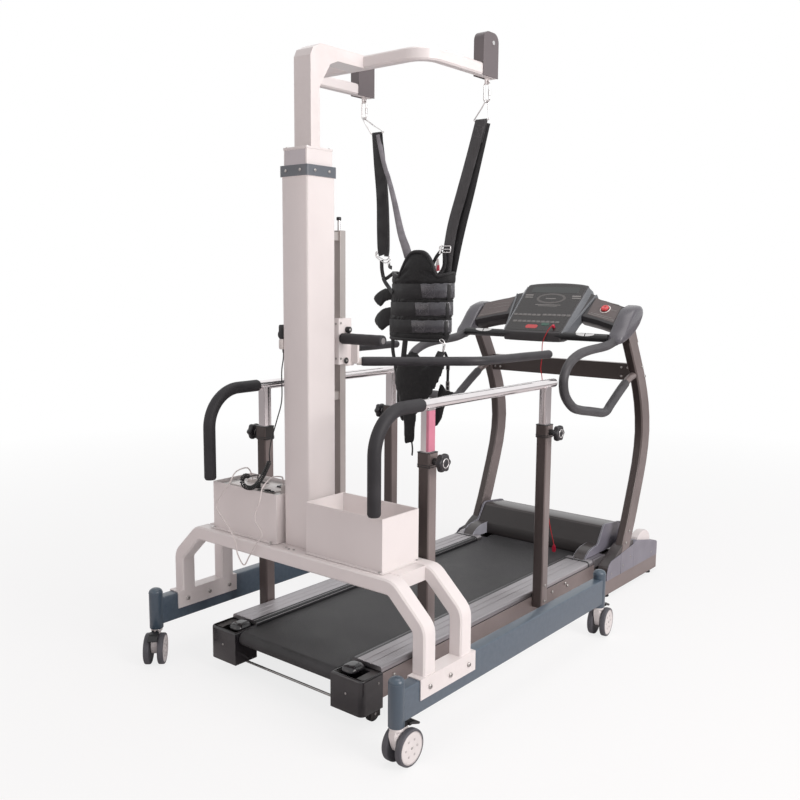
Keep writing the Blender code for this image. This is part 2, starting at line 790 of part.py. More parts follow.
back_strap = [
    (-0.176, LUG_Y - 0.016, 2.010),
    (-0.120, LUG_Y - 0.030, 1.870),
    (-0.052, LUG_Y - 0.050, 1.700),
    (-0.036, LUG_Y - 0.056, 1.640),
]
vest_volumes.append(ribbon(back_strap, [0.024] * 4, 0.004, (0.93, 0, 0.37)))
piece("vest", "fabric", vest, vest_volumes)

# Carriage: a block that runs on the guide rail, with the arm plate, hinge boss and pin
block_rear = GUIDE_Y - 0.041
block_front = GUIDE_Y + 0.031
carriage = round_box(
    "xy",
    (0.004, (block_rear + block_front) / 2),
    (0.108, block_front - block_rear),
    0.006,
    1.240,
    1.412,
    2,
)
pin_y = -0.735
roller_y = -0.8225
plate = round_box("xz", (-0.0095, 1.280), (0.195, 0.080), 0.010, block_front - 0.002, block_front + 0.008, 2)
boss = round_box("yz", (pin_y - 0.012, BODY_ARM_Z), (0.052, 0.034), 0.008, -0.0295, 0.0295, 2)
carriage_volumes = [
    plate,
    boss,
    rod("x", (0, pin_y, BODY_ARM_Z), 0.005, -0.055, 0.055, 12),
    turned("x", (0, -0.807, 1.254), [(0.055, 0.012), (0.065, 0.012), (0.067, 0.010)], 16),
    rod("x", (0, -0.795, 1.370), 0.004, 0.050, 0.072, 10),
]
guide_bore = box(
    (GUIDE_X - GUIDE_WIDTH / 2 - 0.0005, GUIDE_X + GUIDE_WIDTH / 2 + 0.0005),
    (GUIDE_Y - GUIDE_DEPTH / 2 - 0.0005, GUIDE_Y + GUIDE_DEPTH / 2 + 0.0005),
    (1.20, 1.45),
)
bar_bore = rod("x", (0, roller_y, ROLLER_Z), 0.0074, -0.10, 0.10, 14)
piece("carriage", "white", carriage, carriage_volumes, [guide_bore, bar_bore])

# Back roller: two foam sleeves on one bar that passes behind the guide rail
roller = [
    (-0.270, 0.012),
    (-0.270, ROLLER_RADIUS - 0.003),
    (-0.267, ROLLER_RADIUS),
    (-0.064, ROLLER_RADIUS),
    (-0.061, ROLLER_RADIUS - 0.003),
    (-0.061, 0.007),
    (0.061, 0.007),
    (0.061, ROLLER_RADIUS - 0.003),
    (0.064, ROLLER_RADIUS),
    (0.259, ROLLER_RADIUS),
    (0.262, ROLLER_RADIUS - 0.003),
    (0.262, 0.012),
]
piece("back_roller", "foam", turned("x", (0, roller_y, ROLLER_Z), roller, 16))

# Clamp lever: a hub on the carriage's stud with a handle
hub = turned("x", (0, -0.795, 1.370), [(0.0585, 0.009), (0.062, 0.011), (0.074, 0.011), (0.076, 0.009)], 16)
handle = prism(
    "yz",
    [(-0.801, 1.372), (-0.789, 1.372), (-0.782, 1.330), (-0.786, 1.322), (-0.795, 1.322), (-0.799, 1.330)],
    0.064,
    0.0755,
)
lever_bore = rod("x", (0, -0.795, 1.370), 0.0045, 0.050, 0.0725, 10)
piece("clamp_lever", "black", hub, [handle], [lever_bore])

# Body arms: foam-covered tubes that turn about a pin on the carriage
for name, side in SIDES.items():
    path = [(0.050, pin_y + 0.005), (0.394, -0.397), (0.423, 0.088)]
    route = rounded([(side * x, y, BODY_ARM_Z) for x, y in path], 0.120, 5)
    first = route[0]
    toward = (route[1] - first).normalized()
    route = [first, first + toward * 0.052, first + toward * 0.054, *route[1:]]
    last = route[-1]
    back = (route[-2] - last).normalized()
    route = [*route[:-1], last + back * 0.006, last]
    scales = [0.72, 0.72, 1.0] + [1.0] * (len(route) - 4) + [0.75]
    arm_tube = swept(route, circle(BODY_ARM_RADIUS, 14), (0, 0, 1), scales)
    low, high = span(side, 0.0300, 0.0600)
    barrel = rod("x", (0, pin_y, BODY_ARM_Z), 0.0160, low, high, 20)
    low, high = span(side, 0.0200, 0.0558)
    pin_bore = rod("x", (0, pin_y, BODY_ARM_Z), 0.0055, low, high, 12)
    piece("body_arm_" + name, "foam", barrel, [arm_tube], [pin_bore])

# Hand control: a small switch that hangs on the column's side
column_side = -COLUMN_WIDTH / 2 - GAP
switch = round_box("xz", (column_side - 0.010, 1.345), (0.020, 0.090), 0.006, -1.012, -0.975, 2)
nib = rod("z", (column_side - 0.010, -0.995, 0), 0.004, 1.286, 1.304, 10)
piece("hand_control", "black", switch, [nib])

# Pendant cord: a plain lead from the hand control, then a wound part down to the control box
CORD_RADIUS = 0.00225
COIL_RADIUS = 0.0072
coil_y = -1.0475
lead = smooth(
    [
        (column_side - 0.010, -0.995, 1.278),
        (column_side - 0.010, -0.997, 1.260),
        (-0.066, -1.014, 1.215),
        (-0.064, -1.017, 1.113),
        (-0.088, -1.020, 1.036),
        (-0.108, -1.032, 0.955),
        (-0.103, coil_y, 0.900),
    ],
    3,
)
coil_route = smooth(
    [
        (-0.100, coil_y, 0.884),
        (-0.131, coil_y, 0.832),
        (-0.167, coil_y, 0.789),
        (-0.201, coil_y, 0.766),
        (-0.240, coil_y, 0.764),
        (-0.258, coil_y, 0.784),
        (-0.242, coil_y, 0.806),
        (-0.214, coil_y, 0.808),
    ],
    12,
)
tail = smooth(
    [
        (-0.208, coil_y, 0.809),
        (-0.200, -1.036, 0.812),
        (-0.212, -1.004, 0.806),
        (-0.235, -0.987, 0.794),
        (-0.235, -0.985, box_top + 0.033),
    ],
    3,
)
lead.insert(0, Vector((column_side - 0.010, -0.995, 1.2857)))
tail.append(Vector((-0.235, -0.985, box_top + 0.0263)))
lengths = [0]
for a, b in zip(coil_route, coil_route[1:]):
    lengths.append(lengths[-1] + (b - a).length)
pitch = 0.0082
turns_of_cord = int(lengths[-1] / pitch)
per_turn = 8
coil = []
step = 0
for i in range(turns_of_cord * per_turn + 1):
    along = lengths[-1] * i / (turns_of_cord * per_turn)
    while step < len(lengths) - 2 and lengths[step + 1] < along:
        step += 1
    share = (along - lengths[step]) / (lengths[step + 1] - lengths[step])
    point = coil_route[step].lerp(coil_route[step + 1], share)
    tangent = (coil_route[step + 1] - coil_route[step]).normalized()
    across = Vector((0, 1, 0)).cross(tangent).normalized()
    turn = math.tau * i / per_turn
    ease = min(1, i / 6, (turns_of_cord * per_turn - i) / 6)
    coil.append(point + (across * math.cos(turn) + Vector((0, 1, 0)) * math.sin(turn)) * COIL_RADIUS * ease)
wire("pendant_cord", "black", [*lead[:-1], *coil, *tail[1:]], CORD_RADIUS, resolution=1)

# Control cable: leaves the control box, hangs behind the beam and comes back over the tray's wall
cable = smooth(
    [
        (-0.3360, -0.926, box_top + 0.022),
        (-0.3360, -0.930, box_top + 0.036),
        (-0.3270, -0.962, 0.812),
        (-0.2900, -1.050, 0.815),
        (-0.2860, -1.084, 0.780),
        (-0.3330, -1.088, 0.724),
        (-0.3650, -1.088, 0.669),
        (-0.3110, -1.088, 0.616),
        (-0.2650, -1.088, 0.568),
        (-0.2420, -1.088, 0.503),
        (-0.2080, -1.088, 0.469),
        (-0.1780, -1.088, 0.507),
        (-0.1410, -1.088, 0.559),
        (-0.1040, -1.088, 0.610),
        (-0.1420, -1.088, 0.655),
        (-0.1360, -1.088, 0.692),
        (-0.1120, -1.088, 0.740),
        (-0.1180, -1.068, 0.783),
        (-0.1210, -1.020, 0.812),
        (-0.1210, -0.968, 0.806),
        (-0.1210, -0.962, box_top + 0.046),
        (-0.1210, -0.960, box_top + 0.036),
    ],
    2,
)
cable.insert(0, Vector((-0.3360, -0.926, box_top + 0.0163)))
cable.append(Vector((-0.1210, -0.960, box_top + 0.0303)))
wire("control_cable", "white", cable, 0.0025, resolution=1)

# Treadmill base: two floor tubes with feet, cross tubes and pads that the deck rests on
base_x = UPRIGHT_X - 0.009
base_top = 0.095
base_ends = (0.653, 1.258)
deck_low = 0.100
base_volumes = []
for side in SIDES.values():
    tube = round_box("xz", (side * base_x, 0.0535), (0.045, 0.083), 0.006, *base_ends, 1)
    base_volumes.append(tube)
    for y in (0.700, 1.190):
        foot_shape = [(0.0, 0.018), (0.007, 0.018), (0.009, 0.010), (0.016, 0.010)]
        base_volumes.append(turned("z", (side * base_x, y, 0), foot_shape, 10))
    pad = box(span(side, SIDE_X - 0.018, SIDE_X + 0.014), (0.680, 0.720), (0.050, deck_low - GAP))
    base_volumes.append(pad)
cross_half = base_x - 0.0155
base_volumes.append(box((-cross_half, cross_half), (0.675, 0.725), (0.020, 0.060)))
rear_cross = box((-cross_half, cross_half), (1.190, 1.240), (0.020, 0.080))
piece("base_frame", "steel", rear_cross, base_volumes)

# Deck frame: side channels, cross members, the walking board and four handrail posts with knob bosses
belt_inner_top = BELT_TOP - BELT_SHEET
side_top = belt_inner_top - 2 * GAP
side_low = 0.085
side_inner = SIDE_X - SIDE_WIDTH / 2
side_outer = SIDE_X + SIDE_WIDTH / 2
end_roller_z = belt_inner_top - END_ROLLER_RADIUS - ROLLER_CLEARANCE
rail_post_x = side_outer + POST_SIZE / 2 + GAP
collar_low = 0.890
post_top = 0.945
boss_z = 0.915
boss_end = rail_post_x + POST_SIZE / 2 + 0.026
inner_half = side_inner + 0.002
deck_volumes = []
deck_cuts = []
for side in SIDES.values():
    channel = box(span(side, side_inner, side_outer), (-1.075, 0.620), (side_low, side_top))
    nose = box(span(side, side_inner + 0.002, side_outer - 0.008), (0.600, 0.765), (deck_low, 0.168))
    hanger = box(span(side, 0.388, 0.392), (-1.032, -0.982), (0.016, side_low + 0.010))
    deck_volumes += [channel, nose, hanger]
    deck_cuts.append(rod("x", (0, -1.007, 0.030), 0.0055, *span(side, 0.380, 0.400), 12))
    for y in (DECK_REAR_Y, DECK_FRONT_Y):
        deck_cuts.append(rod("x", (0, y, end_roller_z), 0.0064, *span(side, 0.355, 0.375), 12))
    for y in (REAR_RAIL_POST_Y, FRONT_RAIL_POST_Y):
        x = side * rail_post_x
        size = (POST_SIZE, POST_SIZE)
        deck_volumes.append(round_box("xy", (x, y), size, 0.005, 0.133, collar_low + 0.01, 1))
        wide = (POST_SIZE + 0.007, POST_SIZE + 0.007)
        deck_volumes.append(round_box("xy", (x, y), wide, 0.006, collar_low, post_top, 1))
        bracket = box(span(side, side_outer - 0.002, rail_post_x), (y - 0.022, y + 0.022), (0.140, 0.172))
        deck_volumes.append(bracket)
        deck_volumes.append(rod("x", (0, y, boss_z), 0.013, *span(side, rail_post_x + 0.020, boss_end), 12))
        bore_size = (POST_SIZE - 0.0092, POST_SIZE - 0.0092)
        deck_cuts.append(round_box("xy", (x, y), bore_size, 0.003, 0.400, post_top + 0.02, 1))
        low, high = span(side, boss_end - 0.016, boss_end + 0.010)
        deck_cuts.append(rod("x", (0, y, boss_z), 0.0045, low, high, 8))
for y in (-0.960, -0.200, 0.500):
    deck_volumes.append(box((-inner_half, inner_half), (y - 0.020, y + 0.020), (0.088, 0.118)))
board = box((-inner_half, inner_half), (-1.000, 0.665), (0.156, side_top))
piece("deck_frame", "steel", board, deck_volumes, deck_cuts)

# Belt rollers and the running belt around them
for name, y in (("rear", DECK_REAR_Y), ("front", DECK_FRONT_Y)):
    r = END_ROLLER_RADIUS
    shape = [(-0.371, 0.006), (-0.270, 0.006), (-0.270, r), (0.270, r), (0.270, 0.006), (0.371, 0.006)]
    piece(name + "_roller", "steel", turned("x", (0, y, end_roller_z), shape, 16))


def belt_outline(radius, steps=8):
    """The belt's loop around both rollers, as a yz outline."""
    points = []
    for y, start in ((DECK_FRONT_Y, -90), (DECK_REAR_Y, 90)):
        for i in range(steps + 1):
            turn = math.radians(start + 180 * i / steps)
            points.append((y + radius * math.cos(turn), end_roller_z + radius * math.sin(turn)))
    return points


inner_radius = END_ROLLER_RADIUS + ROLLER_CLEARANCE
loop = prism("yz", belt_outline(inner_radius + BELT_SHEET), -BELT_HALF, BELT_HALF)
loop_hollow = prism("yz", belt_outline(inner_radius), -BELT_HALF - 0.01, BELT_HALF + 0.01)
piece("running_belt", "belt", loop, cuts=[loop_hollow])

# Foot rails: crowned strips with six grooves, and a short second length past a joint line
foot_low = side_top + GAP
foot_inner = BELT_HALF + 0.0025
foot_outer = 0.400
for name, side in SIDES.items():
    crown = [(foot_inner, foot_low), (foot_inner, foot_low + 0.012), (foot_inner + 0.008, foot_low + 0.0205)]
    lane = (foot_outer - foot_inner - 0.036) / 6
    for i in range(6):
        start = foot_inner + 0.020 + lane * i
        crown += [
            (start, foot_low + 0.0225),
            (start + 0.003, foot_low + 0.0205),
            (start + 0.006, foot_low + 0.0225),
        ]
    crown += [(foot_outer - 0.008, foot_low + 0.0205), (foot_outer, foot_low + 0.012), (foot_outer, foot_low)]
    strip = prism("xz", [(side * a, b) for a, b in crown], -0.985, 0.613)
    joint = box(span(side, 0.24, 0.42), (0.564, 0.566), (foot_low + 0.006, 0.25))
    piece(name + "_foot_rail", "silver", strip, cuts=[joint])

# Rear caps: hollow corner covers over the ends of the side channels, with a dome on top
cap_sheet = 0.003
cap_outer = side_outer + GAP + cap_sheet
cap_rear = -1.097
cap_top = 0.182
for name, side in SIDES.items():
    plan = [
        (foot_inner, -0.986),
        (foot_inner, cap_rear),
        (cap_outer - 0.020, cap_rear),
        (cap_outer - 0.006, cap_rear + 0.006),
        (cap_outer, cap_rear + 0.020),
        (cap_outer, -0.986),
    ]
    hollow = [
        (foot_inner - 0.01, -0.970),
        (foot_inner - 0.01, cap_rear + cap_sheet),
        (cap_outer - 0.0205, cap_rear + cap_sheet),
        (cap_outer - 0.0083, cap_rear + 0.0083),
        (cap_outer - cap_sheet, cap_rear + 0.0205),
        (cap_outer - cap_sheet, -0.970),
    ]
    shell = prism("xy", [(side * a, b) for a, b in plan], 0.050, cap_top)
    inside_cap = prism("xy", [(side * a, b) for a, b in hollow], 0.040, cap_top - cap_sheet)
    dome = [(cap_top - 0.001, 1.0), (cap_top + 0.010, 0.94), (cap_top + 0.017, 0.78), (cap_top + 0.020, 0.50)]
    rings = []
    for z, share in dome:
        ring = section(0.067 * share, 0.084 * share, 0.020 * share, 2)
        rings.append([(side * 0.3035 + a, -1.030 + b, z) for a, b in ring])
    piece("rear_cap_" + name, "casing", shell, [loft(rings)], [inside_cap])

# Rear wheels: two transport wheels on one axle
axle_shape = [
    (0.365, 0.005),
    (0.365, 0.027),
    (0.368, 0.030),
    (0.384, 0.030),
    (0.387, 0.027),
    (0.387, 0.005),
    (0.3918, 0.005),
]
both = [(-a, r) for a, r in reversed(axle_shape)] + axle_shape
piece("rear_wheels", "black", turned("x", (0, -1.007, 0.030), both, 16))

# Motor hood: a hollow casing over the deck's front end, with side trims and a cover over each base tube
hood_side = [
    (0.640, 0.098),
    (0.640, 0.183),
    (0.673, 0.355),
    (0.681, 0.367),
    (0.700, 0.371),
    (0.793, 0.371),
    (0.880, 0.325),
    (1.100, 0.200),
    (1.172, 0.150),
    (1.184, 0.098),
]
hood_inner = [
    (0.620, 0.090),
    (0.620, 0.1825),
    (0.6435, 0.1825),
    (0.6762, 0.3545),
    (0.6835, 0.3640),
    (0.7005, 0.3675),
    (0.7920, 0.3675),
    (0.8785, 0.3218),
    (1.0985, 0.1968),
    (1.1695, 0.1475),
    (1.1820, 0.090),
]
hood_volumes = []
hood_cuts = [prism("yz", hood_inner, -HOOD_HALF + 0.003, HOOD_HALF - 0.003)]
cover_side = [
    (0.654, base_top + 0.0006),
    (0.654, 0.168),
    (0.660, 0.176),
    (0.716, 0.187),
    (0.733, 0.270),
    (0.741, 0.281),
    (0.941, 0.237),
    (1.225, 0.173),
    (1.233, 0.165),
    (1.233, base_top + 0.0006),
]
upright_rear = [
    (0.768, base_top + GAP),
    (0.805, 0.216),
    (0.858, 0.336),
    (0.903, 0.456),
    (0.965, 0.634),
    (0.987, 0.792),
    (0.962, 0.940),
    (0.913, 1.059),
    (0.880, 1.121),
    (0.7955, 1.2617),
]
upright_depth = 0.094
cover_outer = UPRIGHT_X + UPRIGHT_WIDTH / 2 - 0.001
trim_outer = UPRIGHT_X - 0.0065


def upright(side, growth):
    """One upright as level rings along its bent rear edge, grown outward for a cutter."""
    curve = smooth([(0, y, z) for y, z in upright_rear], 2)
    rings = []
    for point in curve:
        ring = section(UPRIGHT_WIDTH + 2 * growth, upright_depth + 2 * growth, 0.007 + growth, 1)
        middle = point.y + upright_depth / 2
        rings.append([(side * UPRIGHT_X + a, middle + b, point.z) for a, b in ring])
    if growth:
        rings.insert(0, [(a, b, c - 0.02) for a, b, c in rings[0]])
    return loft(rings)


for side in SIDES.values():
    hood_volumes.append(prism("yz", cover_side, *span(side, HOOD_HALF - 0.002, cover_outer)))
    trim = [(0.655, 0.290), (0.668, 0.352), (0.676, 0.362), (0.786, 0.362), (0.792, 0.355), (0.792, 0.290)]
    hood_volumes.append(prism("yz", trim, *span(side, HOOD_HALF - 0.002, trim_outer)))
    hood_cuts.append(upright(side, 0.0006))
arc = [(0.997, 0.180), (0.997, 0.215), (1.010, 0.245), (1.040, 0.266), (1.078, 0.272)]
arc += [(2.156 - y, z) for y, z in reversed(arc[:-1])]
hood_volumes.append(prism("yz", arc, -UPRIGHT_X - 0.0135, -HOOD_HALF - 0.006))
hood = prism("yz", hood_side, -HOOD_HALF, HOOD_HALF)
piece("motor_hood", "casing", hood, hood_volumes, hood_cuts)

# Console frame: two bent uprights on the base tubes with one crossbar
bridge_half = UPRIGHT_X - 0.0185
bridge = box((-bridge_half, bridge_half), (0.925, 0.965), (1.060, 1.145))
piece("console_frame", "bronze", upright(1, 0), [upright(-1, 0), bridge])

# Handlebars: a looped grip on each side, from the console's cheek down to the upright
for name, side in SIDES.items():
    loop_points = [
        (0.6995, 1.272),
        (0.640, 1.270),
        (0.550, 1.262),
        (0.400, 1.250),
        (0.250, 1.215),
        (0.185, 1.130),
        (0.260, 1.020),
        (0.420, 0.957),
        (0.620, 0.947),
        (0.800, 1.000),
        (0.915, 1.092),
    ]
    x = side * (UPRIGHT_X + 0.0005)
    route = smooth([(x, y, z) for y, z in loop_points], 2)
    grip = swept(route, circle(GRIP_LOOP_RADIUS, 12), (1, 0, 0))
    piece("handlebar_" + name, "foam", grip, cuts=[upright(side, GAP)])

# Console: display body, two wings, end cheeks and the hand-pulse bar
upright_top = upright_rear[-1][1]
face = [
    (0.638, 1.252),
    (0.638, 1.298),
    (0.903, 1.535),
    (0.916, 1.533),
    (0.925, 1.515),
    (0.860, 1.350),
    (0.750, 1.262),
]
wing = [
    (0.745, 1.330),
    (0.745, 1.365),
    (0.885, 1.490),
    (0.898, 1.489),
    (0.905, 1.475),
    (0.885, 1.360),
    (0.820, 1.300),
]
wing_half = UPRIGHT_X + 0.0385
cheek_inner = UPRIGHT_X - 0.0315
cheek_outer = UPRIGHT_X + 0.0485
pulse_half = UPRIGHT_X - 0.024
cheek_low = upright_top + GAP
cheek = [
    (0.662, cheek_low),
    (0.664, 1.272),
    (0.700, 1.312),
    (0.800, 1.440),
    (0.838, 1.466),
    (0.870, 1.478),
    (0.905, 1.464),
    (0.905, 1.300),
    (0.888, cheek_low),
]
console_volumes = [prism("yz", wing, -wing_half, wing_half)]
console_cuts = []
for side in SIDES.values():
    console_volumes.append(prism("yz", cheek, *span(side, cheek_inner, cheek_outer)))
    pocket = rod("y", (side * (UPRIGHT_X + 0.0005), 0, 1.272), GRIP_LOOP_RADIUS + 0.0006, 0.60, 0.700, 20)
    console_cuts.append(pocket)
console_volumes.append(rod("x", (0, 0.658, 1.285), 0.020, -pulse_half, pulse_half, 18))
button_at = Vector((0.319, 0.803, 1.417))
button_out = Vector((0, -0.666, 0.746)).normalized()


def raised(mesh, at):
    """Moves a body drawn about +Z so that it stands on the console's sloping face."""
    turn = Vector((0, 0, 1)).rotation_difference(button_out).to_matrix().to_4x4()
    turn.translation = at
    mesh.transform(turn)
    return mesh


console_cuts.append(raised(rod("z", (0, 0, 0), 0.0166, -0.0110, 0.03, 20), button_at))
key_at = Vector((0.110, 0.668, 1.3248))
console_volumes.append(raised(rod("z", (0, 0, 0), 0.007, -0.003, 0.0065, 12), key_at))
body = prism("yz", face, -CONSOLE_HALF - 0.010, CONSOLE_HALF + 0.010)
piece("console", "black", body, console_volumes, console_cuts)
button = [(-0.0066, 0.0160), (0.006, 0.0160), (0.009, 0.0140), (0.010, 0.0100)]
piece("stop_button", "red", raised(turned("z", (0, 0, 0), button, 20), button_at))

# Lanyard: the safety key's red cord, which hangs in front of the pulse bar down to the hood
lanyard = smooth(
    [
        key_at + button_out * 0.0100,
        (0.109, 0.654, 1.334),
        (0.103, 0.640, 1.322),
        (0.093, 0.631, 1.300),
        (0.072, 0.6285, 1.247),
        (0.071, 0.6285, 1.177),
        (0.066, 0.6285, 1.119),
        (0.075, 0.6285, 1.071),
        (0.083, 0.6285, 0.960),
        (0.097, 0.6285, 0.760),
        (0.120, 0.6285, 0.520),
        (0.139, 0.6285, 0.355),
        (0.172, 0.6285, 0.228),
    ],
    2,
)
lanyard.insert(0, key_at + button_out * 0.0068)
wire("safety_lanyard", "red", lanyard, 0.0016, resolution=1)

# Handrails: a chrome bar on two legs that slide in the posts, with a foam grip that bends down at the rear
leg = POST_SIZE - 0.010
for name, side in SIDES.items():
    x = side * rail_post_x
    bar = rod("y", (x, 0, HANDRAIL_Z), HANDRAIL_BAR, -0.815, 0.123, 16)
    grip_route = rounded([(x, -0.805, HANDRAIL_Z), (x, -1.063, HANDRAIL_Z), (x, -1.063, 0.766)], 0.150, 7)
    grip_route = [grip_route[0], grip_route[0] + Vector((0, -0.004, 0)), *grip_route[1:]]
    scales = [0.88] + [1.0] * (len(grip_route) - 1)
    grip = swept(grip_route, circle(0.024, 14), (1, 0, 0), scales)
    legs = []
    for y in (REAR_RAIL_POST_Y, FRONT_RAIL_POST_Y):
        legs.append(round_box("xy", (x, y), (leg - 0.001, leg - 0.001), 0.004, 0.520, HANDRAIL_Z, 2))
    piece("handrail_" + name, "chrome", bar, [grip, *legs])

# Post knobs: a star knob on a screw in each post's boss
for name, side in SIDES.items():
    for place_name, y in (("rear", REAR_RAIL_POST_Y), ("front", FRONT_RAIL_POST_Y)):
        star = []
        for i in range(18):
            turn = math.tau * i / 18
            r = 0.0195 + 0.0035 * math.cos(6 * turn)
            star.append((y + r * math.cos(turn), boss_z + r * math.sin(turn)))
        start = boss_end + GAP
        head = prism("yz", star, *span(side, start + 0.004, start + 0.026))
        disc_shape = [(side * (start + 0.024), 0.015), (side * (start + 0.032), 0.014)]
        disc = turned("x", (0, y, boss_z), disc_shape, 12)
        neck_shape = rod("x", (0, y, boss_z), 0.011, *span(side, start, start + 0.006), 10)
        screw = rod("x", (0, y, boss_z), 0.004, *span(side, boss_end - 0.014, start + 0.003), 8)
        piece(f"knob_{place_name}_{name}", "black", head, [disc, neck_shape, screw])

# The assembly is centred over the floor origin
bpy.context.view_layer.update()
graph = bpy.context.evaluated_depsgraph_get()
corners = []
for made in PARTS.objects:
    if made.type != "EMPTY":
        shape = made.evaluated_get(graph)
        corners += [shape.matrix_world @ vertex.co for vertex in shape.to_mesh().vertices]
        shape.to_mesh_clear()
shift = Vector([-(min(c[i] for c in corners) + max(c[i] for c in corners)) / 2 for i in (0, 1)] + [0])
shift.z = -min(c.z for c in corners)
for made in [*PARTS.objects, *TOOLS.objects]:
    if made.parent is None:
        made.location += shift
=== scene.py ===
"""The looks of the gait trainer: a white support gantry on casters over a treadmill, with its harness."""

import json
import math

import bmesh
import bpy
from mathutils import Matrix, Vector

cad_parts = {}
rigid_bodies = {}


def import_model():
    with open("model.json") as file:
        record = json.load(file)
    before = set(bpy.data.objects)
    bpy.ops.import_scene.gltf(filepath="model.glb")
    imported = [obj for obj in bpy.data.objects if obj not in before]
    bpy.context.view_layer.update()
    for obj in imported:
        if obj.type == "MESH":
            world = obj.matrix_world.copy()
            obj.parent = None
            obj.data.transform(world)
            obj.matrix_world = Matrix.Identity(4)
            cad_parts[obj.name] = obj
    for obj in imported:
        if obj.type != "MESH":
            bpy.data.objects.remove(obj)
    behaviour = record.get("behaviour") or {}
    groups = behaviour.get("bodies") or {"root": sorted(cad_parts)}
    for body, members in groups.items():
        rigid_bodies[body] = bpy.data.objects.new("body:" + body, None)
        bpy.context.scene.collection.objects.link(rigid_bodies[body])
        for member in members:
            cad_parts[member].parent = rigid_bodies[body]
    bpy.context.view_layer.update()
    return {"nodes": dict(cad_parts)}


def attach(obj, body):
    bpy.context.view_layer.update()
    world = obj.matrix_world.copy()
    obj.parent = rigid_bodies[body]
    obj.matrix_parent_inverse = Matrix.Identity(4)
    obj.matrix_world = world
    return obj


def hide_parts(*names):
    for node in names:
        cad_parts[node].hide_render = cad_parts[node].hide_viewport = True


for leftover in list(bpy.data.objects):
    bpy.data.objects.remove(leftover, do_unlink=True)
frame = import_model()

# Camera: stands behind the gantry on the walker's right, a little above handrail height,
# and looks forward and to the left with a long view, as the photograph does.


def put(name, data):
    """Adds an object with this data to the scene."""
    made = bpy.data.objects.new(name, data)
    bpy.context.scene.collection.objects.link(made)
    return made


camera_place = Vector((2.35866, -3.27783, 1.5653))
yaw = math.radians(39.23)
pitch = math.radians(-7.76)
roll = math.radians(0.44)
ahead = Vector((-math.sin(yaw) * math.cos(pitch), math.cos(yaw) * math.cos(pitch), math.sin(pitch)))
level = Vector((math.cos(yaw), math.sin(yaw), 0))
upward = level.cross(ahead)
right = level * math.cos(roll) + upward * math.sin(roll)
top = upward * math.cos(roll) - level * math.sin(roll)
camera_lens = bpy.data.cameras.new("view")
camera_lens.sensor_width = 36
camera_lens.lens = 40.44
camera_lens.clip_start = 0.05
camera_lens.clip_end = 60
camera = put("view", camera_lens)
camera.matrix_world = Matrix.Translation(camera_place) @ Matrix((right, top, -ahead)).transposed().to_4x4()
bpy.context.scene.camera = camera

# Room: a pale studio floor, a large soft key light from the walker's right, a weak pinkish fill
# from behind and one light overhead. The background is white only for what looks at it directly.
bpy.context.scene.view_settings.view_transform = "Standard"


def linear(colour):
    """An sRGB hex colour as linear red, green, blue and alpha."""
    parts = [int(colour[i : i + 2], 16) / 255 for i in (0, 2, 4)]
    return (*[c / 12.92 if c <= 0.04045 else ((c + 0.055) / 1.055) ** 2.4 for c in parts], 1)


def add_node(tree, kind, settings=None, **links):
    """Adds a node: settings are its properties and inputs by name, links are inputs fed by other sockets."""
    node = tree.nodes.new(kind)
    for name, value in (settings or {}).items():
        if name in node.inputs:
            node.inputs[name].default_value = value
        else:
            setattr(node, name, value)
    for name, socket in links.items():
        slot = int(name[1:]) if name[0] == "_" else name.replace("_", " ")
        tree.links.new(socket, node.inputs[slot])
    return node


def clear_tree(made):
    """The empty node tree of a material or world."""
    made.use_nodes = True
    made.node_tree.nodes.clear()
    return made.node_tree


room = bpy.data.worlds.new("studio")
bpy.context.scene.world = room
tree = clear_tree(room)
rays = add_node(tree, "ShaderNodeLightPath")
seen = add_node(
    tree, "ShaderNodeMath", {"operation": "MAXIMUM"}, _0=rays.outputs["Is Camera Ray"],
    _1=rays.outputs["Is Glossy Ray"],
)
seen = add_node(
    tree, "ShaderNodeMath", {"operation": "MAXIMUM"}, _0=seen.outputs[0],
    _1=rays.outputs["Is Transmission Ray"],
)
ambient = add_node(tree, "ShaderNodeBackground", {"Color": linear("f4eff0"), "Strength": 0.40})
backdrop = add_node(tree, "ShaderNodeBackground", {"Color": (1, 1, 1, 1), "Strength": 1.0})
mixed = add_node(
    tree, "ShaderNodeMixShader", None, _0=seen.outputs[0], _1=ambient.outputs[0], _2=backdrop.outputs[0]
)
add_node(tree, "ShaderNodeOutputWorld", None, Surface=mixed.outputs[0])

for name, place, aim, size, power, tint in (
    ("key", (5.2, -0.6, 3.4), (0.0, -0.1, 1.0), 3.0, 205, "fffaf8"),
    ("fill", (-1.6, -5.2, 2.6), (0.0, -0.3, 1.1), 3.2, 22, "ffe8e4"),
    ("overhead", (0.6, 0.4, 5.4), (0.0, 0.0, 0.0), 3.2, 62, "fffafa"),
):
    lamp = bpy.data.lights.new(name, "AREA")
    lamp.size = size
    lamp.energy = power
    lamp.color = linear(tint)[:3]
    holder = put(name, lamp)
    holder.location = place
    holder.rotation_mode = "QUATERNION"
    holder.rotation_quaternion = (Vector(aim) - Vector(place)).to_track_quat("-Z", "Y")

